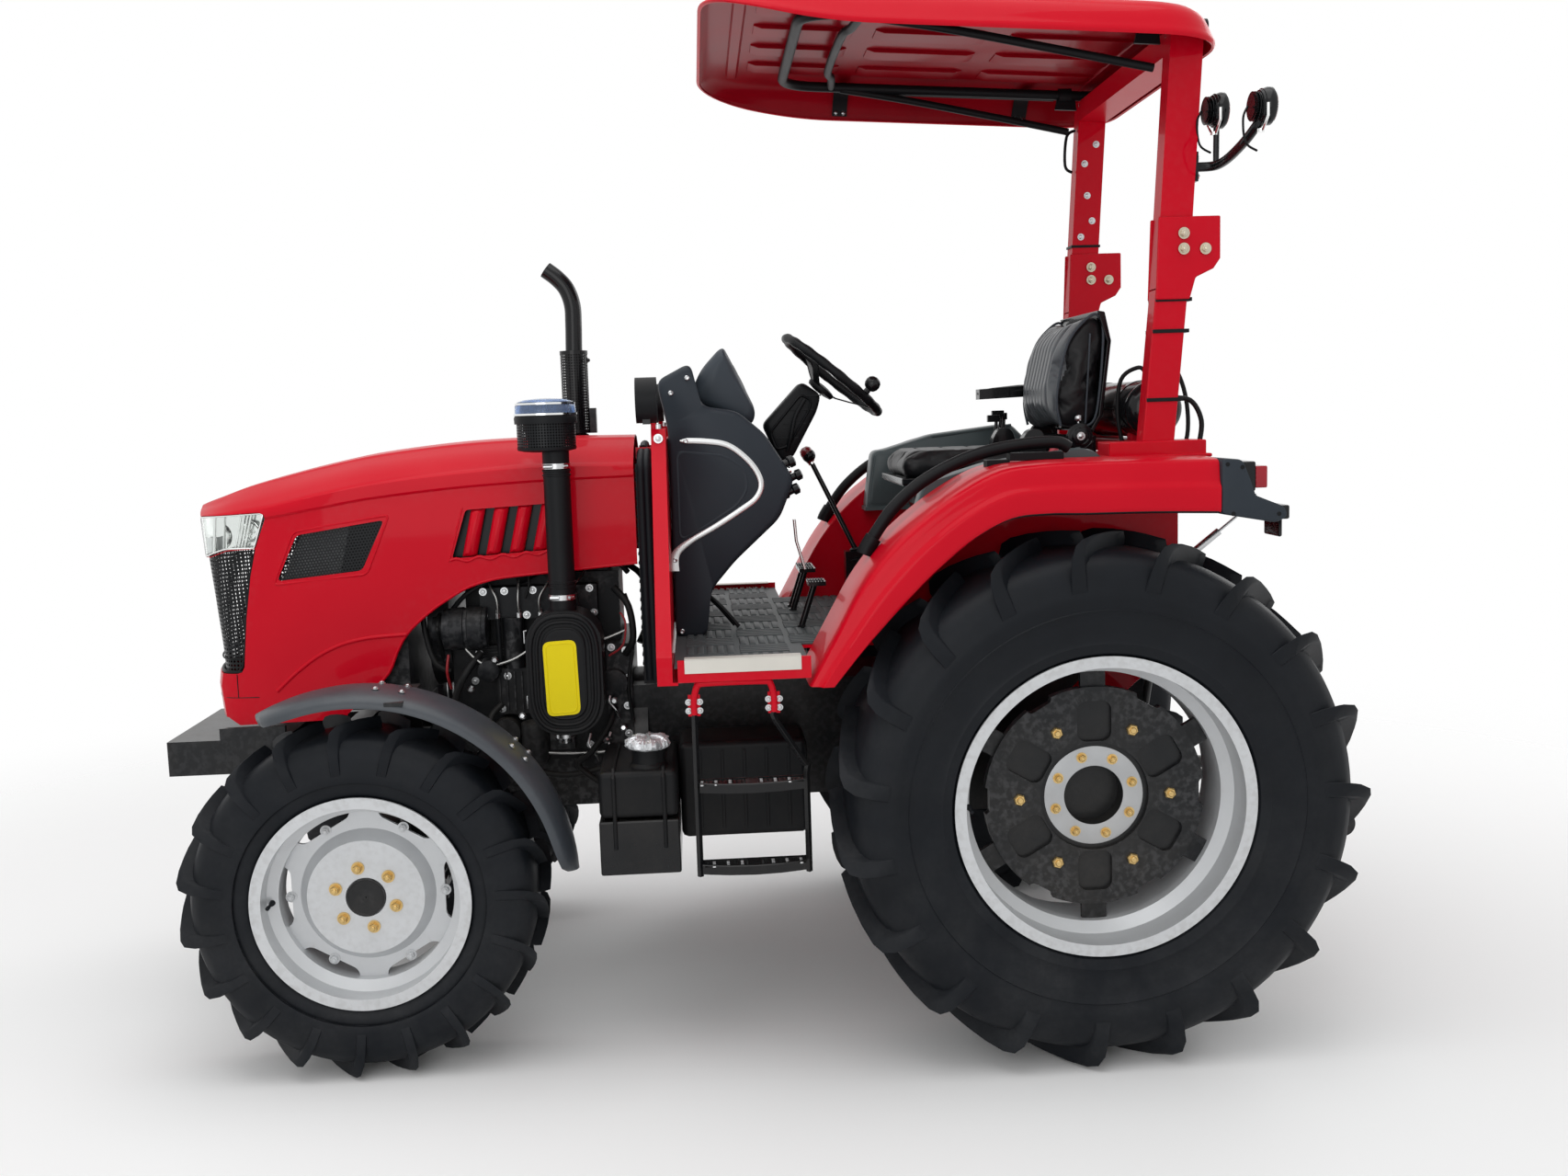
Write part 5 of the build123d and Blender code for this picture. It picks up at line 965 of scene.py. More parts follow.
for side, hand in sides:
    for name, outer, inner, material, share_range in (("lens", -0.5, 2.5, clear_lens, (0, 1)),
            ("bucket", 36, 38, chrome, (0.03, 0.97))):
        form = bmesh.new()
        steps, levels = 26, 8
        two_skins(form, [[[lamp_point(share_range[0] + (share_range[1] - share_range[0]) * i / steps,
            j / levels, inset, side) for i in range(steps + 1)] for j in range(levels + 1)]
            for inset in (outer, inner)])
        piece = mesh_piece(f"headlamp_{name}_{hand}", form, material, "hood_body", smooth=40)
        if name == "lens" and side > 0:
            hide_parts("headlamps")
    # The bucket's plated walls, its bowls, a fluted divider and the pale running light
    form = bmesh.new()
    count = 30
    for height in (0.0, 1.0):
        skin(form, [[lamp_point(i / count, height, inset, side) for i in range(count + 1)]
            for inset in (3, 20, 38)], closed=False, capped=False)
    for share in (0.0, 1.0):
        skin(form, [[lamp_point(share, j / 6, inset, side) for j in range(7)] for inset in (3, 20, 38)],
            closed=False, capped=False)
    for centre, facing, radius in ((at(2300, side * 160, 703), Vector((1, side * 0.35, 0)), 0.038),
            (at(2226, side * 203, 716), Vector((0.45, side, 0)), 0.030)):
        facing = facing.normalized()
        across_bowl = facing.orthogonal().normalized()
        over_bowl = facing.cross(across_bowl)
        loops = [[centre + facing * (depth * radius)
            + (across_bowl * cos(a) + over_bowl * sin(a)) * radius * wide
            for a in (2 * pi * i / 28 for i in range(28))]
            for depth, wide in ((-0.55, 0.12), (-0.5, 0.35), (-0.32, 0.65), (0.0, 0.92), (0.18, 1.0),
                (0.2, 1.06), (0.0, 1.0), (-0.4, 0.72), (-0.62, 0.3))]
        skin(form, loops)
        tube(form, [centre - facing * 0.5 * radius, centre - facing * 0.05 * radius], [0.008, 0.006], 12)
    for share in (0.16, 0.2, 0.24, 0.28, 0.56):
        tube(form, [lamp_point(share, height / 8, 9 if share == 0.56 else 20, side) for height in range(9)],
            0.0045 if share == 0.56 else 0.003, 8)
    bezel = ([lamp_point(i / 24, 0, 0.5, side) for i in range(25)]
        + [lamp_point(1, j / 6, 0.5, side) for j in range(1, 6)])
    bezel += [lamp_point(i / 24, 1, 0.5, side) for i in range(24, -1, -1)]
    bezel += [lamp_point(0, j / 6, 0.5, side) for j in range(5, 0, -1)]
    tube(form, bezel, 0.0023, 8, closed=True)
    mesh_piece(f"headlamp_bowls_{hand}", form, chrome, "hood_body", smooth=50)
    form = bmesh.new()
    skin(form, [[lamp_point(0.6 + 0.3 * i / 8, height, inset, side)
        for height, inset in ((0.06, 7), (0.46, 7), (0.46, 11), (0.06, 11))] for i in range(9)])
    mesh_piece(f"headlamp_running_light_{hand}", form, lamp_white, "hood_body", smooth=40)

# Chin seams, and the black rubber seal that the hood's rear edge closes on
form = bmesh.new()
tube(form, [at(ahead, across, 252) for ahead, across in nose_path(252, 0.2, 2228)], 0.0013, 6)
for side in (1, -1):
    tube(form, [at(2287, side * (side_y(2287, 300) + 0.1), rise) for rise in (252, 285, 318)], 0.0013, 6)
mesh_piece("hood_chin_seams", form, grille_black, "hood_body", smooth=60)
form = bmesh.new()
seal_line = [(-244, 260), (-256, 420), (-257, 640), (-256, 820), (-247, 862), (-215, 882), (-165, 898)]
for side in (1, -1):
    for ahead in (1121, 1137):
        tube(form, smooth_line([at(ahead, side * across, rise) for across, rise in seal_line], 5), 0.0125, 12)
tube(form, smooth_line([at(1132, across, rise)
    for across, rise in ((-134, 907), (-60, 916), (0, 918), (60, 916), (134, 907))], 5), 0.0115, 12)
mesh_piece("hood_seal", form, rubber, smooth=60)

# Cooler pack ahead of the radiator, in its black shroud with the fins showing
form = bmesh.new()
brick(form, (1892, -200, 330), (1912, 200, 690))
for row in range(22):
    brick(form, (1912, -190, 342 + row * 15.5), (1934, 190, 344.5 + row * 15.5))
for side in (1, -1):
    brick(form, (1892, side * 190, 320), (1940, side * 206, 694))
mesh_piece("cooler_pack", form, grille_black, bevel=0.0006)

# Air cleaner: a black moulded can with stepped rings and a blank yellow plate, a rubber riser held by steel
# bands, and on top a perforated bowl under a clear dome.
def turned(form, base, direction, profile, steps=32):
    """A round form about a line, from (distance along, radius) pairs in metres."""
    direction = Vector(direction).normalized()
    side = direction.orthogonal().normalized()
    over = direction.cross(side)
    skin(form, [[Vector(base) + direction * level + (side * cos(a) + over * sin(a)) * radius
        for a in (2 * pi * i / steps for i in range(steps))] for level, radius in profile])


can_ahead, can_middle, riser_across = 1360.0, 315.5, 366
can_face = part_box("air_cleaner")[1][1] * 1000


def round_rect(wide, high, radius, steps=8):
    """The outline of a rounded rectangle about the can's middle."""
    return rounded([(can_ahead + x * wide / 2, can_middle + z * high / 2)
        for x, z in ((-1, -1), (1, -1), (1, 1), (-1, 1))], radius * 1.3, steps)


form = bmesh.new()
for wide, high, radius, out, gauge in ((180, 315, 80, 0.5, 6.5), (146, 281, 64, 1.5, 5.0),
        (112, 247, 48, 0.5, 4.0)):
    tube(form, [at(ahead, can_face + out, rise) for ahead, rise in round_rect(wide, high, radius)],
        gauge / 1000, 10, closed=True)
slab(form, [(can_face + out, round_rect(wide, high, 44))
    for out, wide, high in ((-4, 124, 259), (2.5, 118, 253), (3.5, 112, 247), (3.0, 90, 225))])
for level in (548, 560, 850, 862):
    turned(form, at(can_ahead, riser_across, level), (0, 0, 1),
        [(-0.004, 0.034), (-0.002, 0.0385), (0.002, 0.0385), (0.004, 0.034)])
mesh_piece("air_cleaner_rings", form, black_plastic, smooth=60)
yellow_plate = finish("yellow_plate", (0.80, 0.66, 0.0), 0.35, tone=0.03, pebble=700, relief=0.05, dust=0.02,
    specular=0.2)
form = bmesh.new()
plate = rounded([(1321, 204), (1411, 200), (1416, 404), (1326, 408)], 20)
slab(form, [(can_face + out, plate) for out in (1.0, 5.2)])
tube(form, [at(ahead, can_face + 5.2, rise)
    for ahead, rise in rounded([(1329, 212), (1403, 208), (1408, 396), (1334, 400)], 16)], 0.0012, 6,
    closed=True)
mesh_piece("air_cleaner_plate", form, yellow_plate, smooth=40)
form = bmesh.new()
for level in (520, 874):
    turned(form, at(can_ahead, riser_across, level), (0, 0, 1),
        [(-0.007, 0.037), (-0.007, 0.0388), (0.007, 0.0388), (0.007, 0.037)])
    bent(form, [(1366, 405, level), (1390, 402, level)], 0.0055, 10)
    bent(form, [(1328, 396, level), (1338, 402, level)], 0.0045, 10)
turned(form, at(1372, 350, 146), (0, 0, -1), [(0, 0.028), (0.018, 0.028), (0.022, 0.021), (0.033, 0.019),
    (0.035, 0.012)])
for across, rise in ((372, 430), (372, 250)):
    bent(form, [(1462, across, rise), (1468, across, rise), (1468, across, rise - 34)], 0.003, 8)
mesh_piece("air_cleaner_clamps", form, bright_steel, smooth=40)

bowl_base = at(1382, 366, 912)
form = bmesh.new()
turned(form, bowl_base, (0, 0, 1), [(0, 0.038), (0.002, 0.060), (0.006, 0.078), (0.014, 0.0795),
    (0.014, 0.0765), (0.010, 0.058)])
turned(form, bowl_base, (0, 0, 1), [(0.076, 0.0785), (0.076, 0.0835), (0.092, 0.0845), (0.100, 0.081),
    (0.100, 0.07)])
turned(form, bowl_base, (0, 0, 1), [(0.006, 0.045), (0.09, 0.066)])
mesh_piece("precleaner_bowl", form, black_plastic, smooth=40)
form = unit_mesh(64, 9, 0.33, grille_black, "precleaner_mesh")
for point in form.verts:
    angle, radius = point.co.x * (2 * pi / 64), 0.078 + 0.012 * point.co.y
    point.co = bowl_base + Vector((radius * cos(angle), radius * sin(angle), 0.012 + point.co.z * 0.0073))
bmesh.ops.remove_doubles(form, verts=form.verts, dist=1e-5)
precleaner = mesh_piece("precleaner_mesh", form, grille_black, smooth=30)
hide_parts("precleaner")
blue_clear = finish("blue_clear", (0.42, 0.56, 0.82), 0.06, tone=0.03, pebble=200, relief=0.02, dust=0.02,
    clear=(("Transmission Weight", 0.85), ("IOR", 1.3)))
form = bmesh.new()
turned(form, bowl_base, (0, 0, 1), [(0.100, 0.0815), (0.124, 0.0805), (0.134, 0.074), (0.140, 0.056),
    (0.143, 0.02), (0.141, 0.018), (0.138, 0.054), (0.131, 0.071), (0.122, 0.078), (0.100, 0.079)], 48)
mesh_piece("precleaner_dome", form, blue_clear, smooth=60)
form = bmesh.new()
for level, radius in ((0.101, 0.0845), (0.129, 0.0800)):
    turned(form, bowl_base, (0, 0, 1), [(level - 0.003, radius - 0.004), (level - 0.0025, radius),
        (level + 0.0025, radius), (level + 0.003, radius - 0.004)], 48)
mesh_piece("precleaner_rims", form, chrome, smooth=60)
fan_blue = finish("fan_blue", (0.010, 0.018, 0.075), 0.3, tone=0.1, pebble=600, relief=0.05, dust=0.0)
fin = bmesh.new()
skin(fin, [[Vector((x, y, z)) for x, z in ((0.014, 0.0), (0.070, 0.0), (0.066, 0.022), (0.014, 0.026))]
    for y in (-0.001, 0.001)])
bmesh.ops.rotate(fin, verts=fin.verts, cent=(0, 0, 0), matrix=Matrix.Rotation(pi / 2, 3, "X"))
form = as_form(ring_mesh(fin, 12, (0, 0, 0), fan_blue, "precleaner_fins"))
bmesh.ops.rotate(form, verts=form.verts, cent=(0, 0, 0), matrix=Matrix.Rotation(-pi / 2, 3, "X"))
bmesh.ops.translate(form, verts=form.verts, vec=bowl_base + Vector((0, 0, 0.103)))
turned(form, bowl_base, (0, 0, 1), [(0.102, 0.016), (0.134, 0.014)])
mesh_piece("precleaner_fins", form, fan_blue, smooth=30)

# Exhaust: a painted silencer on a bracket, a perforated heat shield round the pipe and a swept open tail
form = bmesh.new()
stack_y = -360.0
brick(form, (1325, -390, 500), (1385, -205, 540))
turned(form, at(1355, stack_y, 478), (0, 0, 1), [(0, 0.020), (0.004, 0.036), (0.014, 0.041), (0.460, 0.041),
    (0.470, 0.036), (0.476, 0.024)])
tail = smooth_line([at(1355, stack_y, 946), at(1354, stack_y, 1180), at(1351, stack_y, 1290),
    at(1352, stack_y, 1352), at(1368, stack_y, 1402), at(1396, stack_y, 1436), at(1430, stack_y, 1463)], 6)
tube(form, tail + tail[:-5:-1], [0.0262] * len(tail) + [0.0235] * 4, 24)
for level in (958, 1204):
    turned(form, at(1355, stack_y, level), (0, 0, 1),
        [(-0.006, 0.028), (-0.006, 0.044), (0.006, 0.044), (0.006, 0.028)])
exhaust = mesh_piece("exhaust_pipe", form, gloss_black, smooth=40)
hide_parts("exhaust")
form = unit_mesh(32, 28, 0.33, gloss_black, "exhaust_shield")
for point in form.verts:
    angle, radius = point.co.x * 2 * pi / 32, 0.0425 + 0.012 * point.co.y
    point.co = at(1355, stack_y, 961) + Vector((radius * cos(angle), radius * sin(angle),
        point.co.z * 0.00857))
bmesh.ops.remove_doubles(form, verts=form.verts, dist=1e-5)
mesh_piece("exhaust_shield", form, gloss_black, smooth=30)
form = bmesh.new()
for level in (985, 1180):
    hex_bolt(form, at(1355 - 43, stack_y, level), (-1, 0, 0), 0.006, 0.006)
brick(form, (1292, stack_y - 20, 952), (1312, stack_y + 20, 1030))
mesh_piece("exhaust_bracket", form, chassis_black, smooth=30)

# Front mudguards: moulded strips, crowned across and rolled at both edges, that narrow to rounded ends and
# bolt to a bracket on each steering knuckle.
front_hub = box_middle("front_rim_left")
# The guards' plastic is paler than the slate mouldings: partly its own grey and partly a painted reflection
# for the bright crown, besides a stronger specular
guard_grey_and_sheen = finish("guard_grey_and_sheen", (0.040, 0.047, 0.056), 0.40, tone=0.15, pebble=900, relief=0.2, dust=0.10,
    dust_colour=(0.30, 0.30, 0.30), specular=0.4)
guard_half = [(106, 510), (104, 519), (98, 527), (84, 535), (60, 542), (30, 546)]
guard_section = guard_half + [(0, 548)] + [(-across, radius) for across, radius in reversed(guard_half)]
guard_steps, guard_across, guard_first, guard_span = 44, 586, 62, 114
for side, hand in sides:
    form = bmesh.new()
    layers = []
    for gauge in (0, 4):
        layer = []
        for step in range(guard_steps + 1):
            angle = radians(guard_first + guard_span * step / guard_steps)
            end = min(step, guard_steps - step) / 5
            narrow = 1.0 if end >= 1 else 0.25 + 0.75 * (1 - (1 - end) ** 2) ** 0.5
            row = []
            for across, radius in guard_section:
                radius = 548 - (548 - radius) * (0.55 + 0.45 * narrow) - gauge
                row.append(front_hub + Vector((radius * cos(angle), side * (guard_across + across * narrow),
                    radius * sin(angle))) / 1000)
            layer.append(row)
        layers.append(layer)
    two_skins(form, layers)
    guard = mesh_piece(f"mudguard_strip_{hand}", form, guard_grey_and_sheen, f"steer_{hand}", smooth=50)
    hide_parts(f"mudguard_{hand}")
    form = bmesh.new()
    for angle in (96, 103, 136, 141):
        turn = radians(angle)
        for across in (40, -40):
            hex_bolt(form,
                front_hub + Vector((546 * cos(turn), side * (guard_across + across), 546 * sin(turn))) / 1000,
                (cos(turn), 0, sin(turn)), 0.0065, 0.005)
    mesh_piece(f"mudguard_bolts_{hand}", form, bright_steel, f"steer_{hand}", smooth=30)

# Engine dressing: alternator, belt and pulleys, injection pump with its steel lines, filters, hoses and
# wiring, all bolted or clipped to the castings on both sides.
def round_hose(name, runs, material):
    form = bmesh.new()
    for points, radius in runs:
        tube(form, smooth_line([at(*point) for point in points], 6), radius / 1000, 12)
    return mesh_piece(name, form, material, smooth=60)


hose_rubber = finish("hose_rubber", (0.0065, 0.007, 0.008), 0.5, tone=0.2, pebble=900, relief=0.2, dust=0.08,
    specular=0.15)
round_hose("engine_hoses", [([(1640, 60, 620), (1680, 70, 672), (1750, 60, 700), (1812, 40, 690)], 22),
    ([(1700, 120, 120), (1752, 150, 150), (1790, 160, 205), (1822, 170, 215)], 20), ([(1612, 205, 350),
    (1650, 236, 300), (1680, 236, 240), (1700, 226, 140), (1660, 220, 60)], 11), ([(1560, 212, 200),
    (1590, 238, 160), (1560, 240, 80), (1500, 232, 20), (1380, 226, -10), (1240, 232, 20)], 9),
    ([(1240, 218, 180), (1260, 246, 130), (1310, 250, 60), (1350, 240, 20), (1280, 244, -40)], 9),
    ([(1205, 210, 330), (1180, 236, 380), (1190, 230, 470), (1230, 200, 520)], 10),
    ([(1500, 160, 560), (1420, 200, 590), (1360, 280, 520), (1360, 330, 470)], 26),
    ([(1690, 190, 470), (1640, 214, 520), (1560, 206, 560), (1480, 190, 566)], 7),
    ([(1700, 210, 300), (1740, 214, 330), (1765, 205, 420), (1770, 190, 520)], 8), ([(1180, -190, 300),
    (1150, -220, 380), (1160, -200, 500), (1220, -160, 560)], 10), ([(1500, -195, 120), (1560, -226, 180),
    (1640, -220, 260), (1700, -190, 300)], 11), ([(1240, -210, 200), (1300, -236, 120), (1400, -232, 60),
    (1560, -226, 40)], 9)], hose_rubber)
steel_line = finish("steel_line", (0.34, 0.34, 0.33), 0.3, metal=0.9, tone=0.2, pebble=900, relief=0.06,
    dust=0.1)
round_hose("injection_lines", [([(1380 + 60 * i, 200, 448), (1380 + 60 * i, 208, 500),
    (1330 + 84 * i, 190, 545), (1300 + 100 * i, 130, 588), (1300 + 100 * i, 96, 600)], 3.4) for i in range(4)]
    + [([(1210, 214, 60), (1300, 222, 52), (1450, 222, 58), (1600, 216, 90), (1690, 190, 96)], 4.5),
    ([(1200, 216, 400), (1280, 222, 372), (1350, 226, 366), (1420, 222, 350)], 4.0),
    ([(1450, 216, 372), (1520, 226, 330), (1600, 226, 318), (1660, 214, 372)], 4.0)], steel_line)

form = bmesh.new()
for centre, direction, profile in ((at(1590, 200, 420), (1, 0, 0), [(0, 0.030), (0.004, 0.052),
        (0.012, 0.060), (0.05, 0.061), (0.054, 0.057), (0.060, 0.057), (0.064, 0.061), (0.10, 0.060),
        (0.112, 0.050), (0.116, 0.02)]), (at(1590, 238, 300), (0, -1, 0),
        [(0, 0.018), (0.006, 0.030), (0.03, 0.034), (0.05, 0.034)]), (at(1470, 212, 150), (0, 0, -1),
        [(0, 0.024), (0.006, 0.038), (0.02, 0.040), (0.11, 0.039), (0.125, 0.031), (0.128, 0.01)]),
        (at(1240, 236, 250), (0, -1, 0), [(0, 0.02), (0.004, 0.038), (0.03, 0.040), (0.034, 0.034),
        (0.05, 0.034)]), (at(1540, -200, 200), (0, 0, -1),
        [(0, 0.03), (0.006, 0.046), (0.11, 0.045), (0.125, 0.03)]), (at(1250, -206, 300), (0, -1, 0),
        [(-0.01, 0.03), (0.0, 0.05), (0.03, 0.05), (0.034, 0.03)])):
    turned(form, centre, direction, profile, 28)
for step in range(12):
    brick(form, (1330 + step * 21, 205, 178), (1334 + step * 21, 212, 292))
for row in range(4):
    brick(form, (1300, 150, 330 + row * 9), (1660, 156, 333 + row * 9))
mesh_piece("engine_castings", form, engine_iron, smooth=40)
form = bmesh.new()
turned(form, at(1702, 222, 418), (0, 1, 0), [(-0.02, 0.012), (0, 0.019), (0.002, 0.0225), (0.006, 0.0225),
    (0.008, 0.019), (0.0085, 0.01)])
lamp_grey = finish("lamp_grey", (0.30, 0.31, 0.30), 0.5, tone=0.2, pebble=1500, relief=0.4, dust=0.05)
mesh_piece("engine_breather_cap", form, lamp_grey, smooth=40)

form = bmesh.new()
for centre, radius, gauge in ((at(1716, 200, 420), 0.036, 0.016), (at(1724, 0, 215), 0.084, 0.02),
        (at(1724, 0, 420), 0.060, 0.02)):
    half = gauge / 2
    turned(form, centre, (1, 0, 0), [(-half, radius * 0.4), (-half, radius), (-half * 0.5, radius),
        (0, radius - 0.008), (half * 0.5, radius), (half, radius), (half, radius * 0.4)], 40)
mesh_piece("engine_pulleys", form, flange_steel, smooth=30)
belt = [at(1724, y, z) for y, z in ((-84, 215), (-60, 156), (0, 131), (60, 156), (110, 270), (235, 408),
    (236, 432), (205, 456), (60, 478), (0, 481), (-60, 430), (-76, 330))]
form = bmesh.new()
tube(form, smooth_line(belt + belt[:1], 5)[:-1], 0.006, 6, closed=True)
mesh_piece("engine_belt", form, hose_rubber, smooth=60)

# Small bright pieces: unions, banjo bolts, clips and screw heads picked out against the black castings
form = bmesh.new()
for i in range(4):
    turned(form, at(1380 + 60 * i, 199, 445), (0, 0, 1),
        [(0, 0.007), (0.014, 0.007), (0.015, 0.005), (0.024, 0.0045)], 6)
for ahead, across, rise in ((1205, 206, 340), (1205, 206, 260), (1205, 206, 180), (1205, 206, 100),
        (1205, 206, 40), (1245, 206, 350), (1252, 206, 40), (1350, 206, 280), (1350, 206, 190),
        (1540, 206, 280), (1560, 206, 186), (1300, 186, 520), (1380, 186, 520), (1460, 186, 520),
        (1540, 186, 520), (1600, 186, 520), (1290, 186, 450), (1480, 186, 450), (1600, 186, 452),
        (1625, 151, 340), (1640, 151, 260), (1650, 151, 60), (1560, 151, 60), (1470, 151, 50),
        (1320, 151, 60)):
    hex_bolt(form, at(ahead, across, rise), (0, 1, 0), 0.0075, 0.006)
for ahead, rise in ((1205, 320), (1205, 200), (1205, 80), (1330, 470), (1440, 470), (1550, 470)):
    hex_bolt(form, at(ahead, -206, rise), (0, -1, 0), 0.0075, 0.006)
for centre, direction, length in ((at(1462, 232, 176), (0, 1, 0), 0.020),
        (at(1500, 232, 168), (0, 1, 0.2), 0.018), (at(1240, 238, 205), (0, 1, 0), 0.024),
        (at(1290, 226, 372), (0.3, 1, 0), 0.020), (at(1570, 222, 332), (0, 1, 0), 0.022),
        (at(1642, 214, 250), (0, 1, 0), 0.02), (at(1218, 226, 118), (0, 1, 0.3), 0.024),
        (at(1260, 232, 92), (0.5, 1, 0), 0.026), (at(1204, 226, 60), (0.3, 1, 0), 0.022),
        (at(1690, 186, 96), (1, 0.6, 0), 0.03)):
    turned(form, centre, direction, [(0, 0.007), (length * 0.5, 0.007), (length * 0.5, 0.010),
        (length * 0.8, 0.010), (length, 0.006)], 8)
for ahead, rise in ((1228, 150), (1236, 30), (1292, 28)):
    bent(form, [(ahead, 226, rise), (ahead + 10, 238, rise + 26), (ahead + 26, 236, rise + 50),
        (ahead + 20, 222, rise + 78)], 0.0035, 8, 5)
mesh_piece("engine_fittings", form, bright_steel, smooth=30)
signal_red = finish("signal_red", (0.30, 0.006, 0.012), 0.4, tone=0.1, pebble=900, relief=0.1, dust=0.05)
round_hose("engine_wires", [([(1700, 205, 250), (1706, 226, 300), (1700, 222, 350)], 4.0),
    ([(1214, 216, 450), (1200, 232, 420), (1210, 236, 360), (1250, 230, 330)], 3.0),
    ([(1600, 190, 560), (1560, 200, 590), (1480, 190, 600)], 3.0)], signal_red)
round_hose("engine_harness", [([(1190, 170, 560), (1230, 190, 600), (1330, 170, 618), (1450, 130, 640),
    (1600, 110, 650), (1700, 90, 660)], 8),
    ([(1330, 170, 618), (1340, 216, 560), (1330, 226, 480), (1310, 222, 420)], 4),
    ([(1450, 130, 640), (1470, 190, 600), (1466, 210, 540), (1480, 214, 500)], 4), ([(1200, 190, 500),
    (1180, 214, 430), (1184, 222, 340), (1200, 224, 240), (1190, 220, 140)], 5),
    ([(1560, 214, 160), (1600, 226, 110), (1640, 226, 70), (1650, 200, 10)], 5)], hose_rubber)
form = bmesh.new()
bent(form, [(1812, 205, 660), (1800, 222, 700), (1740, 226, 706), (1690, 216, 640)], 0.006, 10, 5)
mesh_piece("coolant_pipe", form, rim_silver, smooth=60)

# Fuel tank: a blow-moulded tank with rounded edges in a folded steel guard, its filler cap still under film
form = bmesh.new()
brick(form, (1064, 254, -40), (1270, 618, 86))
tank = mesh_piece("fuel_tank_shell", form, black_plastic, bevel=0.016)
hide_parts("fuel_tank")
form = bmesh.new()
brick(form, (712, 254, -145), (1060, 458, 119))
mesh_piece("fuel_tank_rear", form, black_plastic, bevel=0.018)
form = bmesh.new()
brick(form, (1062, 251, -190), (1272, 620, -45))
mesh_piece("fuel_tank_guard", form, gloss_black, bevel=0.006)
form = bmesh.new()
for ahead in (1100, 1230):
    bent(form, [(ahead, 619, -120), (ahead, 620.5, 70), (ahead, 600, 87.5), (ahead, 300, 87.5)], 0.006, 8)
for ahead in (769, 1080):
    brick(form, (ahead, 165, -60), (ahead + 40, 255, 0))
for step in range(5):
    brick(form, (760 + 60 * step, 457, -120), (768 + 60 * step, 461, 96))
mesh_piece("fuel_tank_straps", form, black_plastic, smooth=40, bevel=0.0015)
form = bmesh.new()
turned(form, at(1139, 550, 84), (0, 0, 1), [(0, 0.052), (0.006, 0.050), (0.012, 0.044), (0.040, 0.043),
    (0.046, 0.046), (0.050, 0.046)], 40)
mesh_piece("fuel_filler_neck", form, black_plastic, smooth=40)
film = finish("wrapping_film", (0.62, 0.64, 0.66), 0.12, metal=0.45, tone=0.3, pebble=60, wave=60,
    pebble_share=0.3, relief=1.0, depth=0.006, dust=0.0)
form = bmesh.new()
turned(form, at(1139, 550, 132), (0, 0, 1), [(0, 0.047), (0.002, 0.052), (0.006, 0.057), (0.012, 0.058),
    (0.022, 0.056), (0.028, 0.048), (0.032, 0.036), (0.033, 0.02), (0.033, 0.008)], 64)
for point in form.verts:
    arm = Vector((point.co.x - at(1139, 0, 0).x, point.co.y - 0.55, 0))
    angle = atan2(arm.y, arm.x)
    crumple = (0.0025 * sin(7 * angle + 1.1) + 0.0018 * sin(13 * angle + point.co.z * 400)
        + 0.0012 * sin(29 * angle))
    point.co += arm.normalized() * crumple + Vector((0, 0, 0.6 * crumple))
mesh_piece("fuel_cap", form, film, smooth=25)

# Dash cowl: a wide moulded slate housing with rounded edges, a sunk panel on each side framed by a silver
# trim strip, an instrument pod on top in a paler slate that is a painted highlight, and a row of small
# switches down its rear edge
cowl_outline = [(1058, 380), (1058, 960), (1085, 1094), (990, 1142), (962, 1022), (866, 1006), (790, 940),
    (712, 812), (756, 706), (885, 590), (955, 510), (971, 380)]
pod_outline = [(1000, 1040), (962, 1124), (897, 1192), (880, 1160), (806, 1004), (821, 960)]


def inset_outline(outline, amount):
    """A rounded outline drawn in toward its own middle."""
    middle = Vector((sum(x for x, _ in outline), sum(z for _, z in outline))) / len(outline)
    return [tuple(middle
        + (Vector(point) - middle) * (1 - amount / max(1.0, (Vector(point) - middle).length)))
        for point in outline]


def crowned(form, outline, half, edge=14, crown=0):
    """A slab across the machine whose two sides roll over their edges."""
    inner = inset_outline(outline, edge)
    soft = inset_outline(outline, edge * 0.35)
    rows = [(-half - crown, inner), (-half + edge * 0.3, soft), (-half + edge, outline),
        (half - edge, outline), (half - edge * 0.3, soft), (half + crown, inner)]
    slab(form, rows)


form = bmesh.new()
crowned(form, rounded(cowl_outline, 26, 5), 290, 16)
cowl = mesh_piece("cowl_shell", form, slate_plastic, smooth=50)
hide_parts("dash_cowl")
# The pod's slate is paler than the cowl's: a painted highlight for the light on the visor. The seat piping
# uses the same paler slate.
pale_slate_and_pod_highlight = finish("pale_slate_and_pod_highlight", (0.042, 0.052, 0.064), 0.38, tone=0.1, pebble=1000, relief=0.2, dust=0.03,
    specular=0.2)
form = bmesh.new()
crowned(form, rounded(pod_outline, 30, 6), 160, 30)
mesh_piece("instrument_pod", form, pale_slate_and_pod_highlight, smooth=50)
form = bmesh.new()
turned(form, at(852, 0, 1086), (-0.92, 0, 0.4), [(0, 0.060), (0.006, 0.062), (0.010, 0.056), (0.009, 0.02)],
    40)
for across in (-95, 95):
    turned(form, at(850, across, 1080), (-0.92, 0, 0.4),
        [(0, 0.032), (0.006, 0.034), (0.009, 0.028), (0.008, 0.01)], 32)
mesh_piece("instrument_dials", form, gloss_black, smooth=40)

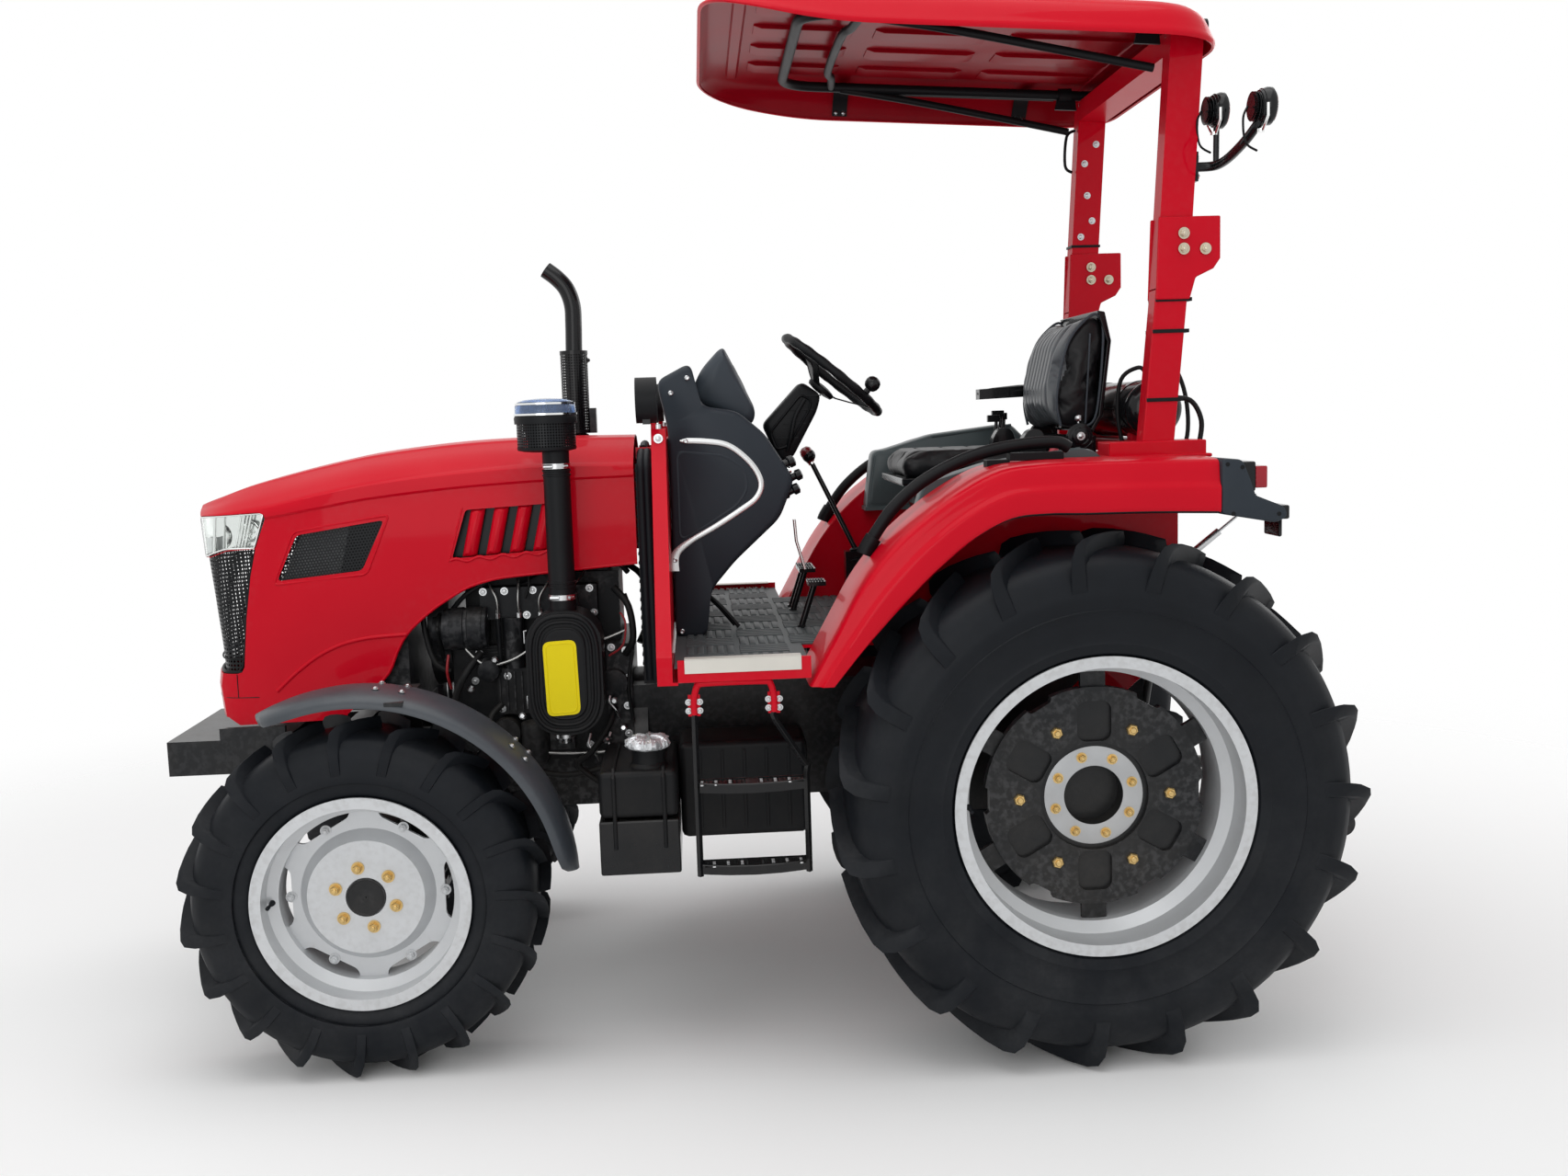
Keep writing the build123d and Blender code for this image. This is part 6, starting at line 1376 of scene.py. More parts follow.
trim_silver = finish("trim_silver", (0.62, 0.63, 0.63), 0.28, metal=0.85, tone=0.08, pebble=900, relief=0.05,
    dust=0.05)
panel = rounded([(1040, 650), (1040, 905), (905, 890), (845, 850), (838, 790), (870, 742), (950, 696)], 24, 5)
trim_line = smooth_line([Vector(point) for point in ((1026, 0, 929), (960, 0, 926), (897, 0, 914),
    (850, 0, 880), (818, 0, 840), (806, 0, 800), (822, 0, 764), (864, 0, 734), (936, 0, 690), (1010, 0, 650),
    (1050, 0, 616), (1056, 0, 570))], 5)
for side, hand in sides:
    form = bmesh.new()
    slab(form, [(289.6 - out, inset_outline(panel, shrink))
        for out, shrink in ((1, 0), (-1.6, 3), (-1.8, 6), (0.4, 12), (0.2, 14))], side)
    mesh_piece(f"cowl_panel_{hand}", form, slate_plastic, smooth=40)
    form = bmesh.new()
    loops = []
    for index, point in enumerate(trim_line):
        share = index / (len(trim_line) - 1)
        after = trim_line[min(index + 1, len(trim_line) - 1)] - trim_line[max(index - 1, 0)]
        over = Vector((-after.z, 0, after.x)).normalized()
        wide = 7.5 + 7 * max(0.0, share - 0.8) / 0.2
        wide *= min(1.0, 0.35 + share * 22)
        loops.append([at(point.x + over.x * wide * place, side * (289 + out), point.z + over.z * wide * place)
            for place, out in ((-1, 0), (-1, 3.0), (-0.6, 4.6), (0.6, 4.6), (1, 3.0), (1, 0))])
    skin(form, loops)
    mesh_piece(f"cowl_trim_{hand}", form, trim_silver, smooth=50)
form = bmesh.new()
for side in (1, -1):
    for ahead, rise in ((1010, 928), (1052, 600), (1046, 1060), (1000, 1100), (1040, 400)):
        turned(form, at(ahead, side * 289, rise), (0, side, 0),
            [(0, 0.007), (0.0055, 0.0068), (0.007, 0.005), (0.0062, 0.002)], 16)
mesh_piece("cowl_screws", form, bright_steel, smooth=40)
form = bmesh.new()
for across, ahead, rise in ((262, 738, 852), (262, 720, 815), (262, 728, 776), (200, 738, 852),
        (-200, 738, 852), (-262, 720, 812)):
    turned(form, at(ahead + 14, across, rise - 4), (-0.9, 0, 0.35), [(0, 0.016), (0.010, 0.017),
        (0.014, 0.011), (0.026, 0.010), (0.030, 0.016), (0.044, 0.015), (0.047, 0.008)], 20)
mesh_piece("dash_switches", form, gloss_black, smooth=40)
form = bmesh.new()
for across, ahead, rise in ((262, 712, 834), (-262, 716, 838)):
    turned(form, at(ahead + 22, across, rise), (-0.9, 0, 0.3),
        [(0, 0.013), (0.008, 0.013), (0.010, 0.009), (0.014, 0.009)], 20)
mesh_piece("ignition_lock", form, chrome, smooth=40)

# Pillar lamps and pillar tops: round black working lamps on forks, silver bolts through each pillar's lug
lamp_across = 440
form = bmesh.new()
for side in (1, -1):
    turned(form, at(1109, side * lamp_across, 1041) + Vector((0.028, 0, 0)), (-1, 0, 0), [(0.0, 0.050),
        (0.003, 0.0585), (0.012, 0.060), (0.030, 0.059), (0.046, 0.046), (0.055, 0.020)], 36)
    for offset in (-30, 30):
        brick(form, (1100, side * lamp_across + offset - 3, 978),
            (1120, side * lamp_across + offset + 3, 1020))
mesh_piece("pillar_lamp_shells", form, gloss_black, smooth=40)
form = bmesh.new()
for side in (1, -1):
    turned(form, at(1134.5, side * lamp_across, 1041), (1, 0, 0),
        [(0, 0.052), (0.002, 0.051), (0.0022, 0.02)], 36)
mesh_piece("pillar_lamp_lenses", form, clear_lens, smooth=40)
form = bmesh.new()
for side in (1, -1):
    hex_bolt(form, at(1081, side * 474, 940), (0, side, 0), 0.0085, 0.007)
    for rise in (420, 600, 780):
        hex_bolt(form, at(1081, side * 473, rise), (0, side, 0), 0.006, 0.005)
    turned(form, at(1081, side * lamp_across, 965), (0, 0, 1), [(0, 0.009), (0.012, 0.009), (0.0125, 0.006)],
        12)
mesh_piece("pillar_bolts", form, bright_steel, smooth=40)
form = bmesh.new()
for rise in range(275, 860, 26):
    brick(form, (1153, -246, rise), (1155.5, 246, rise + 8))
mesh_piece("bulkhead_ribs", form, black_plastic, bevel=0.001)

# Steering column and wheel: a rubber boot box creased along its side, then a moulded rim with finger bumps,
# three flat spokes bent down to a hub dish and a ball knob for one-handed turns
form = bmesh.new()
boot = rounded([(735, 850), (785, 963), (668, 1086), (612, 1046), (624, 1000), (700, 864)], 18, 4)
crowned(form, boot, 55, 14)
crease = rounded([(748, 890), (765, 940), (672, 1048), (640, 1030), (650, 1000), (712, 900)], 14, 4)
for side in (1, -1):
    tube(form, [at(ahead, side * 55, rise) for ahead, rise in crease], 0.004, 8, closed=True)
    bent(form, [(716, 55, 884), (704, 64, 930), (690, 62, 985), (660, 55, 1034)], 0.006, 10, 5, side)
boot_low, boot_high = Vector((742, 0, 900)), Vector((650, 0, 1060))
for share in (0.15, 0.4, 0.65, 0.9):
    middle = boot_low + (boot_high - boot_low) * share
    brick(form, (middle.x - 46, -57, middle.z - 2), (middle.x + 22, 57, middle.z + 2))
cover = mesh_piece("column_boot", form, black_plastic, smooth=45)
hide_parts("steering_column")
lean = radians(40.2)
wheel_axis = Vector((-sin(lean), 0, cos(lean)))
wheel_hub, rim_radius = at(574, 0, 1102), 172
wheel_side = Vector((0, 1, 0))
wheel_over = wheel_axis.cross(wheel_side).normalized()


def on_wheel(angle, radius, level):
    """A place on the steering wheel: angle round from the driver's side, radius and level above the hub."""
    return (wheel_hub + (wheel_side * cos(angle) + wheel_over * sin(angle)) * radius / 1000
        + wheel_axis * level / 1000)


form = bmesh.new()
tube(form, [on_wheel(radians(5 * step), rim_radius, 0) for step in range(72)],
    [(14 if step % 4 < 2 else 12.6) / 1000 for step in range(72)], 14, closed=True)
for turn in (90, 210, 330):
    angle = radians(turn)
    path = [(30, -50), (50, -47), (90, -30), (128, -12), (150, -4), (164, -1)]
    across = wheel_axis.cross(on_wheel(angle, 1, 0) - on_wheel(angle, 0, 0)).normalized()
    skin(form, [[on_wheel(angle, radius, level + up) + across * wide
        for wide, up in ((-0.011, -2), (-0.011, 2), (0.011, 2), (0.011, -2))] for radius, level in path])
turned(form, wheel_hub, wheel_axis, [(-0.064, 0.022), (-0.060, 0.040), (-0.052, 0.044), (-0.046, 0.042),
    (-0.043, 0.034), (-0.040, 0.020), (-0.039, 0.01)], 40)
wheel = mesh_piece("steering_rim", form, black_plastic, "hand_wheel", smooth=45)
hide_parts("steering_wheel")
form = bmesh.new()
turned(form, on_wheel(radians(35), rim_radius, 12), wheel_axis, [(0, 0.010), (0.010, 0.009), (0.014, 0.016),
    (0.022, 0.021), (0.032, 0.0225), (0.042, 0.020), (0.049, 0.013), (0.052, 0.004)], 28)
mesh_piece("steering_knob", form, gloss_black, "hand_wheel", smooth=60)

# Foot controls and levers: bent rods and pads of black steel, ribbed rubber pads, a dark red gear knob on a
# plated ring, a ribbed boot at the floor
form = bmesh.new()
for across in (210, -150, -240):
    for step in range(6):
        brick(form, (636 + 8 * step, across - 30, 520), (640 + 8 * step, across + 30, 523.5))
for level in range(5):
    turned(form, at(484, -300, 522 + 8 * level), (0.1, 0, 1), [(0, 0.034 - 0.004 * level),
        (0.004, 0.036 - 0.004 * level), (0.008, 0.031 - 0.004 * level)], 20)
for across, ahead in ((150, 1040), (190, 1030)):
    bent(form, [(ahead, across, 540), (ahead - 90, across + 40, 470), (ahead - 150, across + 50, 400)], 0.006,
        8, 5)
mesh_piece("pedal_rubbers", form, black_plastic, smooth=40)
knob_red = finish("knob_red", (0.16, 0.004, 0.008), 0.25, tone=0.1, pebble=600, relief=0.05, dust=0.02,
    coat=0.4)
lever_way = Vector((140, -30, 300)).normalized()
form = bmesh.new()
turned(form, at(619, -330, 842), lever_way, [(-0.010, 0.010), (0, 0.014), (0.014, 0.019), (0.028, 0.021),
    (0.040, 0.018), (0.047, 0.009)], 24)
mesh_piece("gear_knob", form, knob_red, smooth=60)
form = bmesh.new()
turned(form, at(616, -329, 835), lever_way,
    [(-0.006, 0.0085), (-0.005, 0.0115), (0.002, 0.0115), (0.003, 0.0085)], 20)
for across in (262, 275):
    bent(form, [(690, across, 560), (712, across, 640), (716, across, 700)], 0.004, 8)
mesh_piece("lever_ring", form, chrome, smooth=60)

# Platform: a ribbed rubber mat cut to the floor, a bent aluminium strip on each sill, and under it a red
# hoop that carries the ladder: square rails with bowed treads of punched sheet, on plated bolts
mat_rubber = finish("mat_rubber", (0.070, 0.083, 0.086), 0.5, tone=0.35, pebble=420, wave=18, relief=0.5,
    depth=0.001, dust=0.12, dust_colour=(0.22, 0.23, 0.22), specular=0.2)
form = bmesh.new()
brick(form, (334, -490, 380), (722, 490, 385))
brick(form, (722, -791, 380), (1058, 791, 385))
mesh_piece("floor_mat", form, mat_rubber, bevel=0.0015)
bar_step, hole_step = 0.026, 0.0117
bars = [bmesh.new(), bmesh.new()]
for bar_form, long, wide in ((bars[0], 0.064, 0.0085), (bars[1], 0.0085, 0.064)):
    skin(bar_form, [[Vector((x * (long - edge), y * (wide - edge), level))
        for x, y in ((-1, -1), (1, -1), (1, 1), (-1, 1))]
        for level, edge in ((-0.001, 0), (0.0028, 0.0005), (0.0036, 0.002))])
form = bmesh.new()
for column in range(5):
    for row in range(11):
        ahead, across = 405 + 140 * column, -700 + 140 * row
        if abs(across) > 430 and ahead < 780:
            continue
        turned_way = (column + row) % 2
        step = Vector((bar_step, 0, 0)) if turned_way else Vector((0, bar_step, 0))
        rows_of(bars[turned_way].copy(), 5, 1, at(ahead, across, 385) - step * 2, step, Vector((0, 0, 0)),
            mat_rubber, "mat_ribs", form)
for bar_form in bars:
    bar_form.free()
mesh_piece("floor_mat_ribs", form, mat_rubber, smooth=30)
sill_aluminium = finish("sill_aluminium", (0.60, 0.58, 0.53), 0.42, metal=0.35, tone=0.08, pebble=500,
    relief=0.12, dust=0.08)
flake_grey = finish("flake_grey", (0.42, 0.43, 0.41), 0.6, tone=0.3, pebble=900, relief=0.4, dust=0.05)
form, flakes, rails, hoops, bolts, treads, glints = (bmesh.new() for _ in range(7))
tread_bow = [(1006, 800), (990, 806), (940, 818), (875, 824), (812, 818), (762, 806), (744, 800)]
for side in (1, -1):
    brick(form, (744, side * 804, 369), (1032, side * 806.5, 404))
    brick(form, (744, side * 770, 402), (1032, side * 806.5, 405))
    for step in range(64):
        ahead = 748 + 4.4 * step
        deep = 5 + 9 * abs(sin(2.3 * step) * cos(0.71 * step))
        if sin(5.1 * step) > -0.55:
            brick(flakes, (ahead, side * (770 - deep), 385),
                (ahead + 4.2, side * 770, 388 + 4 * abs(sin(1.9 * step))))
    bent(hoops, [(1012, 782, 262), (1012, 782, 300), (1003, 786, 334), (985, 788, 341), (840, 788, 341),
        (822, 786, 334), (814, 782, 300), (814, 782, 262)], 0.0085, 10, 5, side)
    for ahead in (1012, 814):
        brick(hoops, (ahead - 15, side * 776, 258), (ahead + 15, side * 780, 312))
        for rise in (272, 294):
            for off in (-14, 14):
                hex_bolt(bolts, at(ahead + off, side * 781, rise), (0, side, 0), 0.0056, 0.007)
    bent(rails, [(1012, 778, 305), (1012, 778, -152)], 0.0085, 4, 0, side)
    bent(rails, [(815, 778, 305), (814, 778, 262), (812, 778, 240), (740, 778, 124), (738, 778, 104),
        (738, 778, -152)], 0.0085, 4, 2, side)
    for rise in (-140, 68):
        skin(treads, [[at(ahead, side * (across - back), rise + level)
            for back, level in ((0, 0), (0, 22), (2, 24), (8, 24), (8, 21), (3, 19), (3, 0))]
            for ahead, across in tread_bow])
        brick(treads, (744, side * 756, rise + 2), (1006, side * 760, rise + 24))
        brick(treads, (858, side * 758, rise + 19), (892, side * 816, rise + 23))
        for start in (748, 896):
            steps = Vector((hole_step, 0, 0)), Vector((0, side * hole_step, 0))
            rows_of(pierced_cell(*steps, 0.0042, 0.0016), 9, 4, at(start + 5, side * 767, rise + 20), *steps,
                gloss_black, "tread_sheet", treads)
            # Small bright steel domes in every third column of holes: painted glints where the punched sheet
            # catches the light
            for column in range(9):
                for row in range(4):
                    if (column * 7 + row * 3 + (rise > 0)) % 3 == 0:
                        turned(glints,
                            at(start + 10.8 + 11.7 * column, side * (772.8 + 11.7 * row), rise + 20),
                            (0, 0, 1), [(0, 0.0052), (0.003, 0.0044), (0.0032, 0.0036), (0.001, 0.0034)], 8)
mesh_piece("sill_strip", form, sill_aluminium, bevel=0.0008)
mesh_piece("mat_frayed_edge", flakes, flake_grey)
mesh_piece("ladder_hoops", hoops, red_enamel, smooth=50)
mesh_piece("ladder_bolts", bolts, bright_steel)
ladder = mesh_piece("ladder_rails", rails, gloss_black, bevel=0.001)
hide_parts("steps")
mesh_piece("ladder_treads", treads, gloss_black, smooth=30)
mesh_piece("tread_teeth", glints, bright_steel)

# Rear fenders: pressed red shells with a deep inset side band, a raised lower band and a crowned top, a
# black sealing lip inside, and a slate moulded tail with a red lamp in a black housing behind
fender_path = smooth_line([(x, 0, z) for x, z in ((725, 325), (655, 450), (588, 566), (520, 651), (449, 718),
    (350, 788), (244, 840), (140, 853), (39, 855), (-120, 855), (-300, 852))], 5)
tail_red = finish("tail_red", (0.33, 0.006, 0.016), 0.14, tone=0.1, pebble=260, relief=0.2, dust=0.03,
    specular=0.4)
fender_lower = smooth_line([(x, 0, z) for x, z in ((665, 325), (594, 410), (524, 487), (452, 561), (392, 616),
    (312, 678), (222, 722), (130, 731), (39, 729), (-130, 727), (-300, 721))], 5)
fender_section = [(0.0, 500), (0.0, 560), (-0.02, 640), (-0.03, 700), (-0.02, 760), (0.0, 794), (0.03, 806),
    (0.08, 812), (0.25, 815), (0.40, 818), (0.45, 821), (0.50, 827), (0.54, 829.5), (0.60, 829.5),
    (0.90, 829), (0.97, 828), (1.0, 825)]
for side, hand in sides:
    form = bmesh.new()
    loops = []
    for top, lower in zip(fender_path, fender_lower):
        down = lower - top
        outer = [(top + down * share, across) for share, across in fender_section]
        inner = [(top + down * (share + (0.035 if share < 0.1 else 0.0)), across - (0 if share < 0.05 else 5))
            for share, across in reversed(fender_section)]
        loops.append([at(place.x, side * across, place.z) for place, across in outer + inner])
    skin(form, loops)
    fender = mesh_piece(f"fender_shell_{hand}", form, red_enamel, smooth=40)
    if side > 0:
        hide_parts("fenders")
    form = bmesh.new()
    wall = [(point.x, point.z - 3) for point in fender_path]
    prism(form, wall + [(-300, 600), (-250, 378), (680, 378), (706, 325)], side * 493, side * 499)
    mesh_piece(f"fender_wall_{hand}", form, red_enamel)
    form = bmesh.new()
    tube(form, [at(lower.x + 4, side * 822, lower.z + 2) for lower in fender_lower], 0.005, 8)
    mesh_piece(f"fender_lip_{hand}", form, black_plastic, smooth=60)
    form = bmesh.new()
    tail = rounded([(-301, 853), (-352, 849), (-372, 800), (-384, 758), (-462, 728), (-468, 704), (-440, 690),
        (-301, 716)], 10, 3)
    slab(form, [(across, inset_outline(tail, shrink) if shrink else tail)
        for across, shrink in ((581, 0), (822, 0), (828, 2), (829.5, 5))], side)
    tails = mesh_piece(f"fender_tail_{hand}", form, slate_plastic, smooth=45)
    if side > 0:
        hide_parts("fender_tails")
    form = bmesh.new()
    brick(form, (-398, side * 690, 768), (-352, side * 800, 842))
    brick(form, (-474, side * 640, 698), (-448, side * 826, 733))
    brick(form, (-466, side * 700, 652), (-456, side * 800, 700))
    mesh_piece(f"tail_housings_{hand}", form, gloss_black, bevel=0.005)
    form = bmesh.new()
    brick(form, (-426, side * 706, 776), (-397, side * 800, 830))
    for step in range(9):
        brick(form, (-427, side * (706 + 11 * step), 778), (-423, side * (711 + 11 * step), 828))
    mesh_piece(f"tail_lens_{hand}", form, tail_red, bevel=0.004)
    form = bmesh.new()
    for ahead, rise in ((-315, 838), (-330, 716), (-352, 830), (-445, 712)):
        turned(form, at(ahead, side * 827, rise), (0, side, 0),
            [(0, 0.006), (0.003, 0.0055), (0.0035, 0.003)], 12)
    mesh_piece(f"tail_screws_{hand}", form, black_plastic)
form = bmesh.new()
bent(form, [(-438, 560, 688), (-390, 560, 650)], 0.004, 8)
bent(form, [(-390, 560, 650), (-300, 560, 580)], 0.010, 14)
mesh_piece("tail_stay", form, bright_steel, smooth=60)

# Fender consoles: grey moulded boxes beside the seat with a raised front part and a foot flange, with the
# hydraulic levers, and the thick black grab rails bolted along each fender
console_grey = finish("console_grey", (0.072, 0.095, 0.100), 0.36, tone=0.1, pebble=900, relief=0.15,
    dust=0.04, specular=0.3)
console_forms = ((1, [(420, 672), (380, 800), (200, 850), (-60, 880), (-104, 850), (-104, 690)]),
    (-1, [(438, 672), (411, 863), (371, 867), (217, 911), (-43, 939), (-104, 876), (-104, 690), (246, 674)]))
near, far = 395, 492
form = bmesh.new()
for side, outline in console_forms:
    shape = rounded(outline, 22, 4)
    slab(form, [(across, inset_outline(shape, shrink) if shrink else shape)
        for across, shrink in ((near, 14), (near + 4, 5), (near + 14, 0), (far - 6, 0), (far, 4))], side)
    front = rounded([(430, 690), (404, 858), (300, 876), (300, 690)] if side < 0
        else [(408, 690), (372, 796), (300, 816), (300, 690)], 16, 4)
    slab(form, [(across, inset_outline(front, shrink) if shrink else front)
        for across, shrink in ((near - 7, 9), (near - 4, 2), (near + 12, 0))], side)
    tube(form, [at(ahead, side * (near + 1), rise - 6) for ahead, rise in outline[2 if side > 0 else 3:5]],
        0.005, 8)
    brick(form, (-104, side * 388, 672), (440 if side < 0 else 424, side * 492, 684))
consoles = mesh_piece("console_boxes", form, console_grey, smooth=45)
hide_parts("fender_consoles")
form = bmesh.new()
for side in (1, -1):
    rail = smooth_line([at(549, side * 612, 648), at(530, side * 612, 682), at(476, side * 606, 751),
        at(391, side * 602, 818), at(271, side * 600, 872), at(150, side * 600, 896), at(55, side * 600, 900),
        at(20, side * 600, 884)], 6)
    tube(form, rail, 0.0165, 14)
    bent(form, [(560, 612, 628), (552, 612, 646), (535, 612, 672)], 0.022, 12, 4, side)
    for ahead, rise, long in ((110, 878, 70), (210, 862, 30)):
        brick(form, (ahead - long, side * 576, rise - 22), (ahead + long, side * 626, rise - 2))
handles = mesh_piece("grab_rails", form, black_plastic, smooth=50, bevel=0.002)
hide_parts("grab_handles")
form = bmesh.new()
for across, ahead, lean_back, long in ((-345, 12, -30, 92), (-320, 30, -26, 78), (-372, -6, -24, 84)):
    bent(form, [(ahead, across, 880), (ahead + lean_back * 0.3, across, 880 + long * 0.6),
        (ahead + lean_back * 0.4, across, 880 + long)], 0.006, 10, 4)
    brick(form, (ahead + lean_back * 0.4 - 9, across - 9, 868 + long),
        (ahead + lean_back * 0.4 + 30, across + 9, 890 + long))
mesh_piece("hydraulic_levers", form, gloss_black, bevel=0.004)

# Seat: foam pads in pleated vinyl on a black shell. Each pad is filled by a short cloth run, and the sewn
# channels are pressed in afterwards; piping, hinge discs, latch and armrest are hard parts round it.
cloth_frames = 20


def fill_pad(form, material, name, cap, pressure=4.0, voxel=0.006):
    """Remeshes a closed form, blows it up as cloth with a limit on the movement, and gives the form back."""
    pad = placed(name + "_start", as_mesh(form, name + "_start"))
    pad.data.materials.append(material)
    fine = pad.modifiers.new("fine", "REMESH")
    fine.mode = "VOXEL"
    fine.voxel_size = voxel
    fine.use_smooth_shade = True
    mesh = settled(pad)
    start = [point.co.copy() for point in mesh.vertices]
    pad = placed(name + "_cloth", mesh)
    cloth = pad.modifiers.new("cloth", "CLOTH")
    cloth.settings.use_pressure = True
    cloth.settings.uniform_pressure_force = pressure
    cloth.settings.effector_weights.gravity = 0
    cloth.settings.quality = 5
    cloth.collision_settings.use_collision = False
    cloth.point_cache.frame_start, cloth.point_cache.frame_end = 1, cloth_frames
    for frame_number in range(1, cloth_frames + 1):
        scene.frame_set(frame_number)
    mesh = settled(pad)
    scene.frame_set(1)
    for point, first in zip(mesh.vertices, start):
        moved = point.co - first
        if moved.length > cap:
            point.co = first + moved.normalized() * cap
    return as_form(mesh)


def pad_piece(form, name, material):
    """A filled pad with its last subdivision."""
    piece = mesh_piece(name, form, material, smooth=180)
    soft = piece.modifiers.new("soft", "SUBSURF")
    soft.levels = soft.render_levels = 1
    return piece


def sewn(off, depth, wide):
    """How deep a sewn channel is at a distance from its middle."""
    return depth * 2.718 ** -((off / wide) ** 2)


pleat_grey = finish("pleat_grey", (0.085, 0.095, 0.105), 0.34, tone=0.25, pebble=520, wave=30, relief=0.35,
    depth=0.0008, dust=0.02, specular=0.35)
form = bmesh.new()
pad_outline = rounded([(-36, -214), (406, -214), (406, 214), (-36, 214)], 60, 6)
skin(form, [[at(x, y, 806 + up) for x, y in inset_outline(pad_outline, shrink)]
    for up, shrink in ((0, 16), (8, 4), (20, 0), (36, 0), (46, 6), (52, 20))])
form = fill_pad(form, seat_vinyl, "seat_pad", 0.020)
for point in form.verts:
    place = (point.co - rear_hub) * 1000
    if place.z > 832:
        dish = max(0.0, 1 - (place.y / 150) ** 2) * 7
        channel = sum(sewn(place.x - seam, 4.5, 5) for seam in (70, 150, 230, 310))
        border = sewn(abs(place.y) - 158, 5, 5)
        place.z -= dish + (channel if abs(place.y) < 158 else 0) + border
    place.z = min(903.5, max(801.5, place.z))
    place.x, place.y = min(419, max(-49, place.x)), min(229, max(-229, place.y))
    point.co = rear_hub + place / 1000
seat_pad = pad_piece(form, "seat_pad", seat_vinyl)
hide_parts("seat_cushion")

back_shape = [(-52, 928), (-37, 1020), (-72, 1172), (-136, 1244), (-172, 1244), (-188, 1170), (-166, 965),
    (-128, 922)]
form = bmesh.new()
skin(form, [[at(x, y, z) for x, z in inset_outline(rounded(back_shape, 24, 4), shrink)]
    for y, shrink in ((-212, 26), (-206, 8), (-190, 0), (190, 0), (206, 8), (212, 26))])
form = fill_pad(form, seat_vinyl, "back_pad", 0.016)
for point in form.verts:
    place = (point.co - rear_hub) * 1000
    front = -37 - abs(place.z - 1020) * 0.22
    if place.x > front - 40 and abs(place.y) < 150:
        place.x -= sum(sewn(place.y - seam, 5.5, 4.5) for seam in range(-130, 144, 39))
    if abs(place.y) > 196:
        crinkle = 1.4 * sin(place.z * 0.11 + place.x * 0.05) * sin(place.z * 0.043 + 1.2)
        place.y += crinkle if place.x < -110 else 0.2 * crinkle
    place.x, place.y = min(-26, max(-199, place.x)), min(224.5, max(-224.5, place.y))
    place.z = min(1257.5, max(906.5, place.z))
    point.co = rear_hub + place / 1000
back_pad = pad_piece(form, "back_pad", seat_vinyl)
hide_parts("seat_backrest")
back_pad.data.materials.append(pleat_grey)
for face in back_pad.data.polygons:
    spot = (face.center - rear_hub) * 1000
    if spot.x > -50 - abs(spot.z - 1020) * 0.30 - 12 and abs(spot.y) < 196:
        face.material_index = 1
form = bmesh.new()
piping = smooth_line([Vector((x, 0, z)) for x, z in ((-56, 935), (-46, 1020), (-78, 1165), (-136, 1236),
    (-170, 1238), (-180, 1170), (-160, 970), (-126, 930))], 6)
for side in (1, -1):
    tube(form, [at(point.x, side * 209, point.z) for point in piping[:-1]], 0.004, 8)
    tube(form, [at(-125 - 0.06 * (z - 930), side * 216, z) for z in range(940, 1200, 12)], 0.003, 8)
mesh_piece("seat_piping", form, pale_slate_and_pod_highlight, smooth=60)
form = bmesh.new()
shell_shape = [(-150, 915), (-176, 960), (-202, 1170), (-184, 1252), (-162, 1256), (-190, 1168), (-164, 962),
    (-140, 922)]
prism(form, shell_shape, -216, 216)
for level in range(5):
    skin(form, [[at(x, y, 590 + 36 * level + up)
        for x, y in inset_outline(rounded([(-10, -160), (340, -160), (340, 160), (-10, 160)], 40, 4), shrink)]
        for up, shrink in ((0, 12), (18, 0), (36, 12))])
brick(form, (-62, -224, 782), (404, 224, 801))
mesh_piece("seat_shell", form, gloss_black, smooth=40, bevel=0.003)
form = bmesh.new()
for side in (1, -1):
    turned(form, at(-104, side * 226, 905), (0, side, 0), [(0, 0.034), (0.010, 0.038), (0.016, 0.036),
        (0.018, 0.024), (0.022, 0.022), (0.023, 0.012)], 32)
    prism(form, [(-150, 800), (-60, 800), (-70, 900), (-104, 936), (-142, 906)], side * 222, side * 229)
    prism(form, rounded([(10, 812), (62, 812), (64, 890), (40, 930), (2, 928), (-14, 880)], 18, 4),
        side * 180, side * 228)
mesh_piece("seat_hinges", form, gloss_black, smooth=40, bevel=0.002)
form = bmesh.new()
for side in (1, -1):
    hex_bolt(form, at(-104, side * 249, 905), (0, side, 0), 0.008, 0.006)
    turned(form, at(-100, side * 236, 946), (0, 0, 1), [(-0.012, 0.003), (0, 0.003), (0.002, 0.008),
        (0.009, 0.011), (0.017, 0.008), (0.020, 0.003)], 16)
    hex_bolt(form, at(30, side * 229, 880), (0, side, 0), 0.0045, 0.004)
mesh_piece("seat_bolts", form, bright_steel, smooth=50)
latch_pink = finish("latch_pink", (0.50, 0.055, 0.075), 0.4, tone=0.1, pebble=700, relief=0.1, dust=0.02)
form = bmesh.new()
bent(form, [(8, 238, 838), (-18, 240, 852), (-32, 241, 878), (-36, 241, 898)], 0.012, 14, 5)
mesh_piece("seat_latch", form, latch_pink, smooth=60)
form = bmesh.new()
tube(form, [at(x, -265, z) for x, z in ((-139, 1043), (-120, 1043), (-40, 1042), (40, 1038), (80, 1034),
    (90, 1032))], [0.014, 0.018, 0.0185, 0.016, 0.014, 0.008], 20, flat=1.7)
mesh_piece("armrest_pad", form, seat_vinyl, smooth=60)

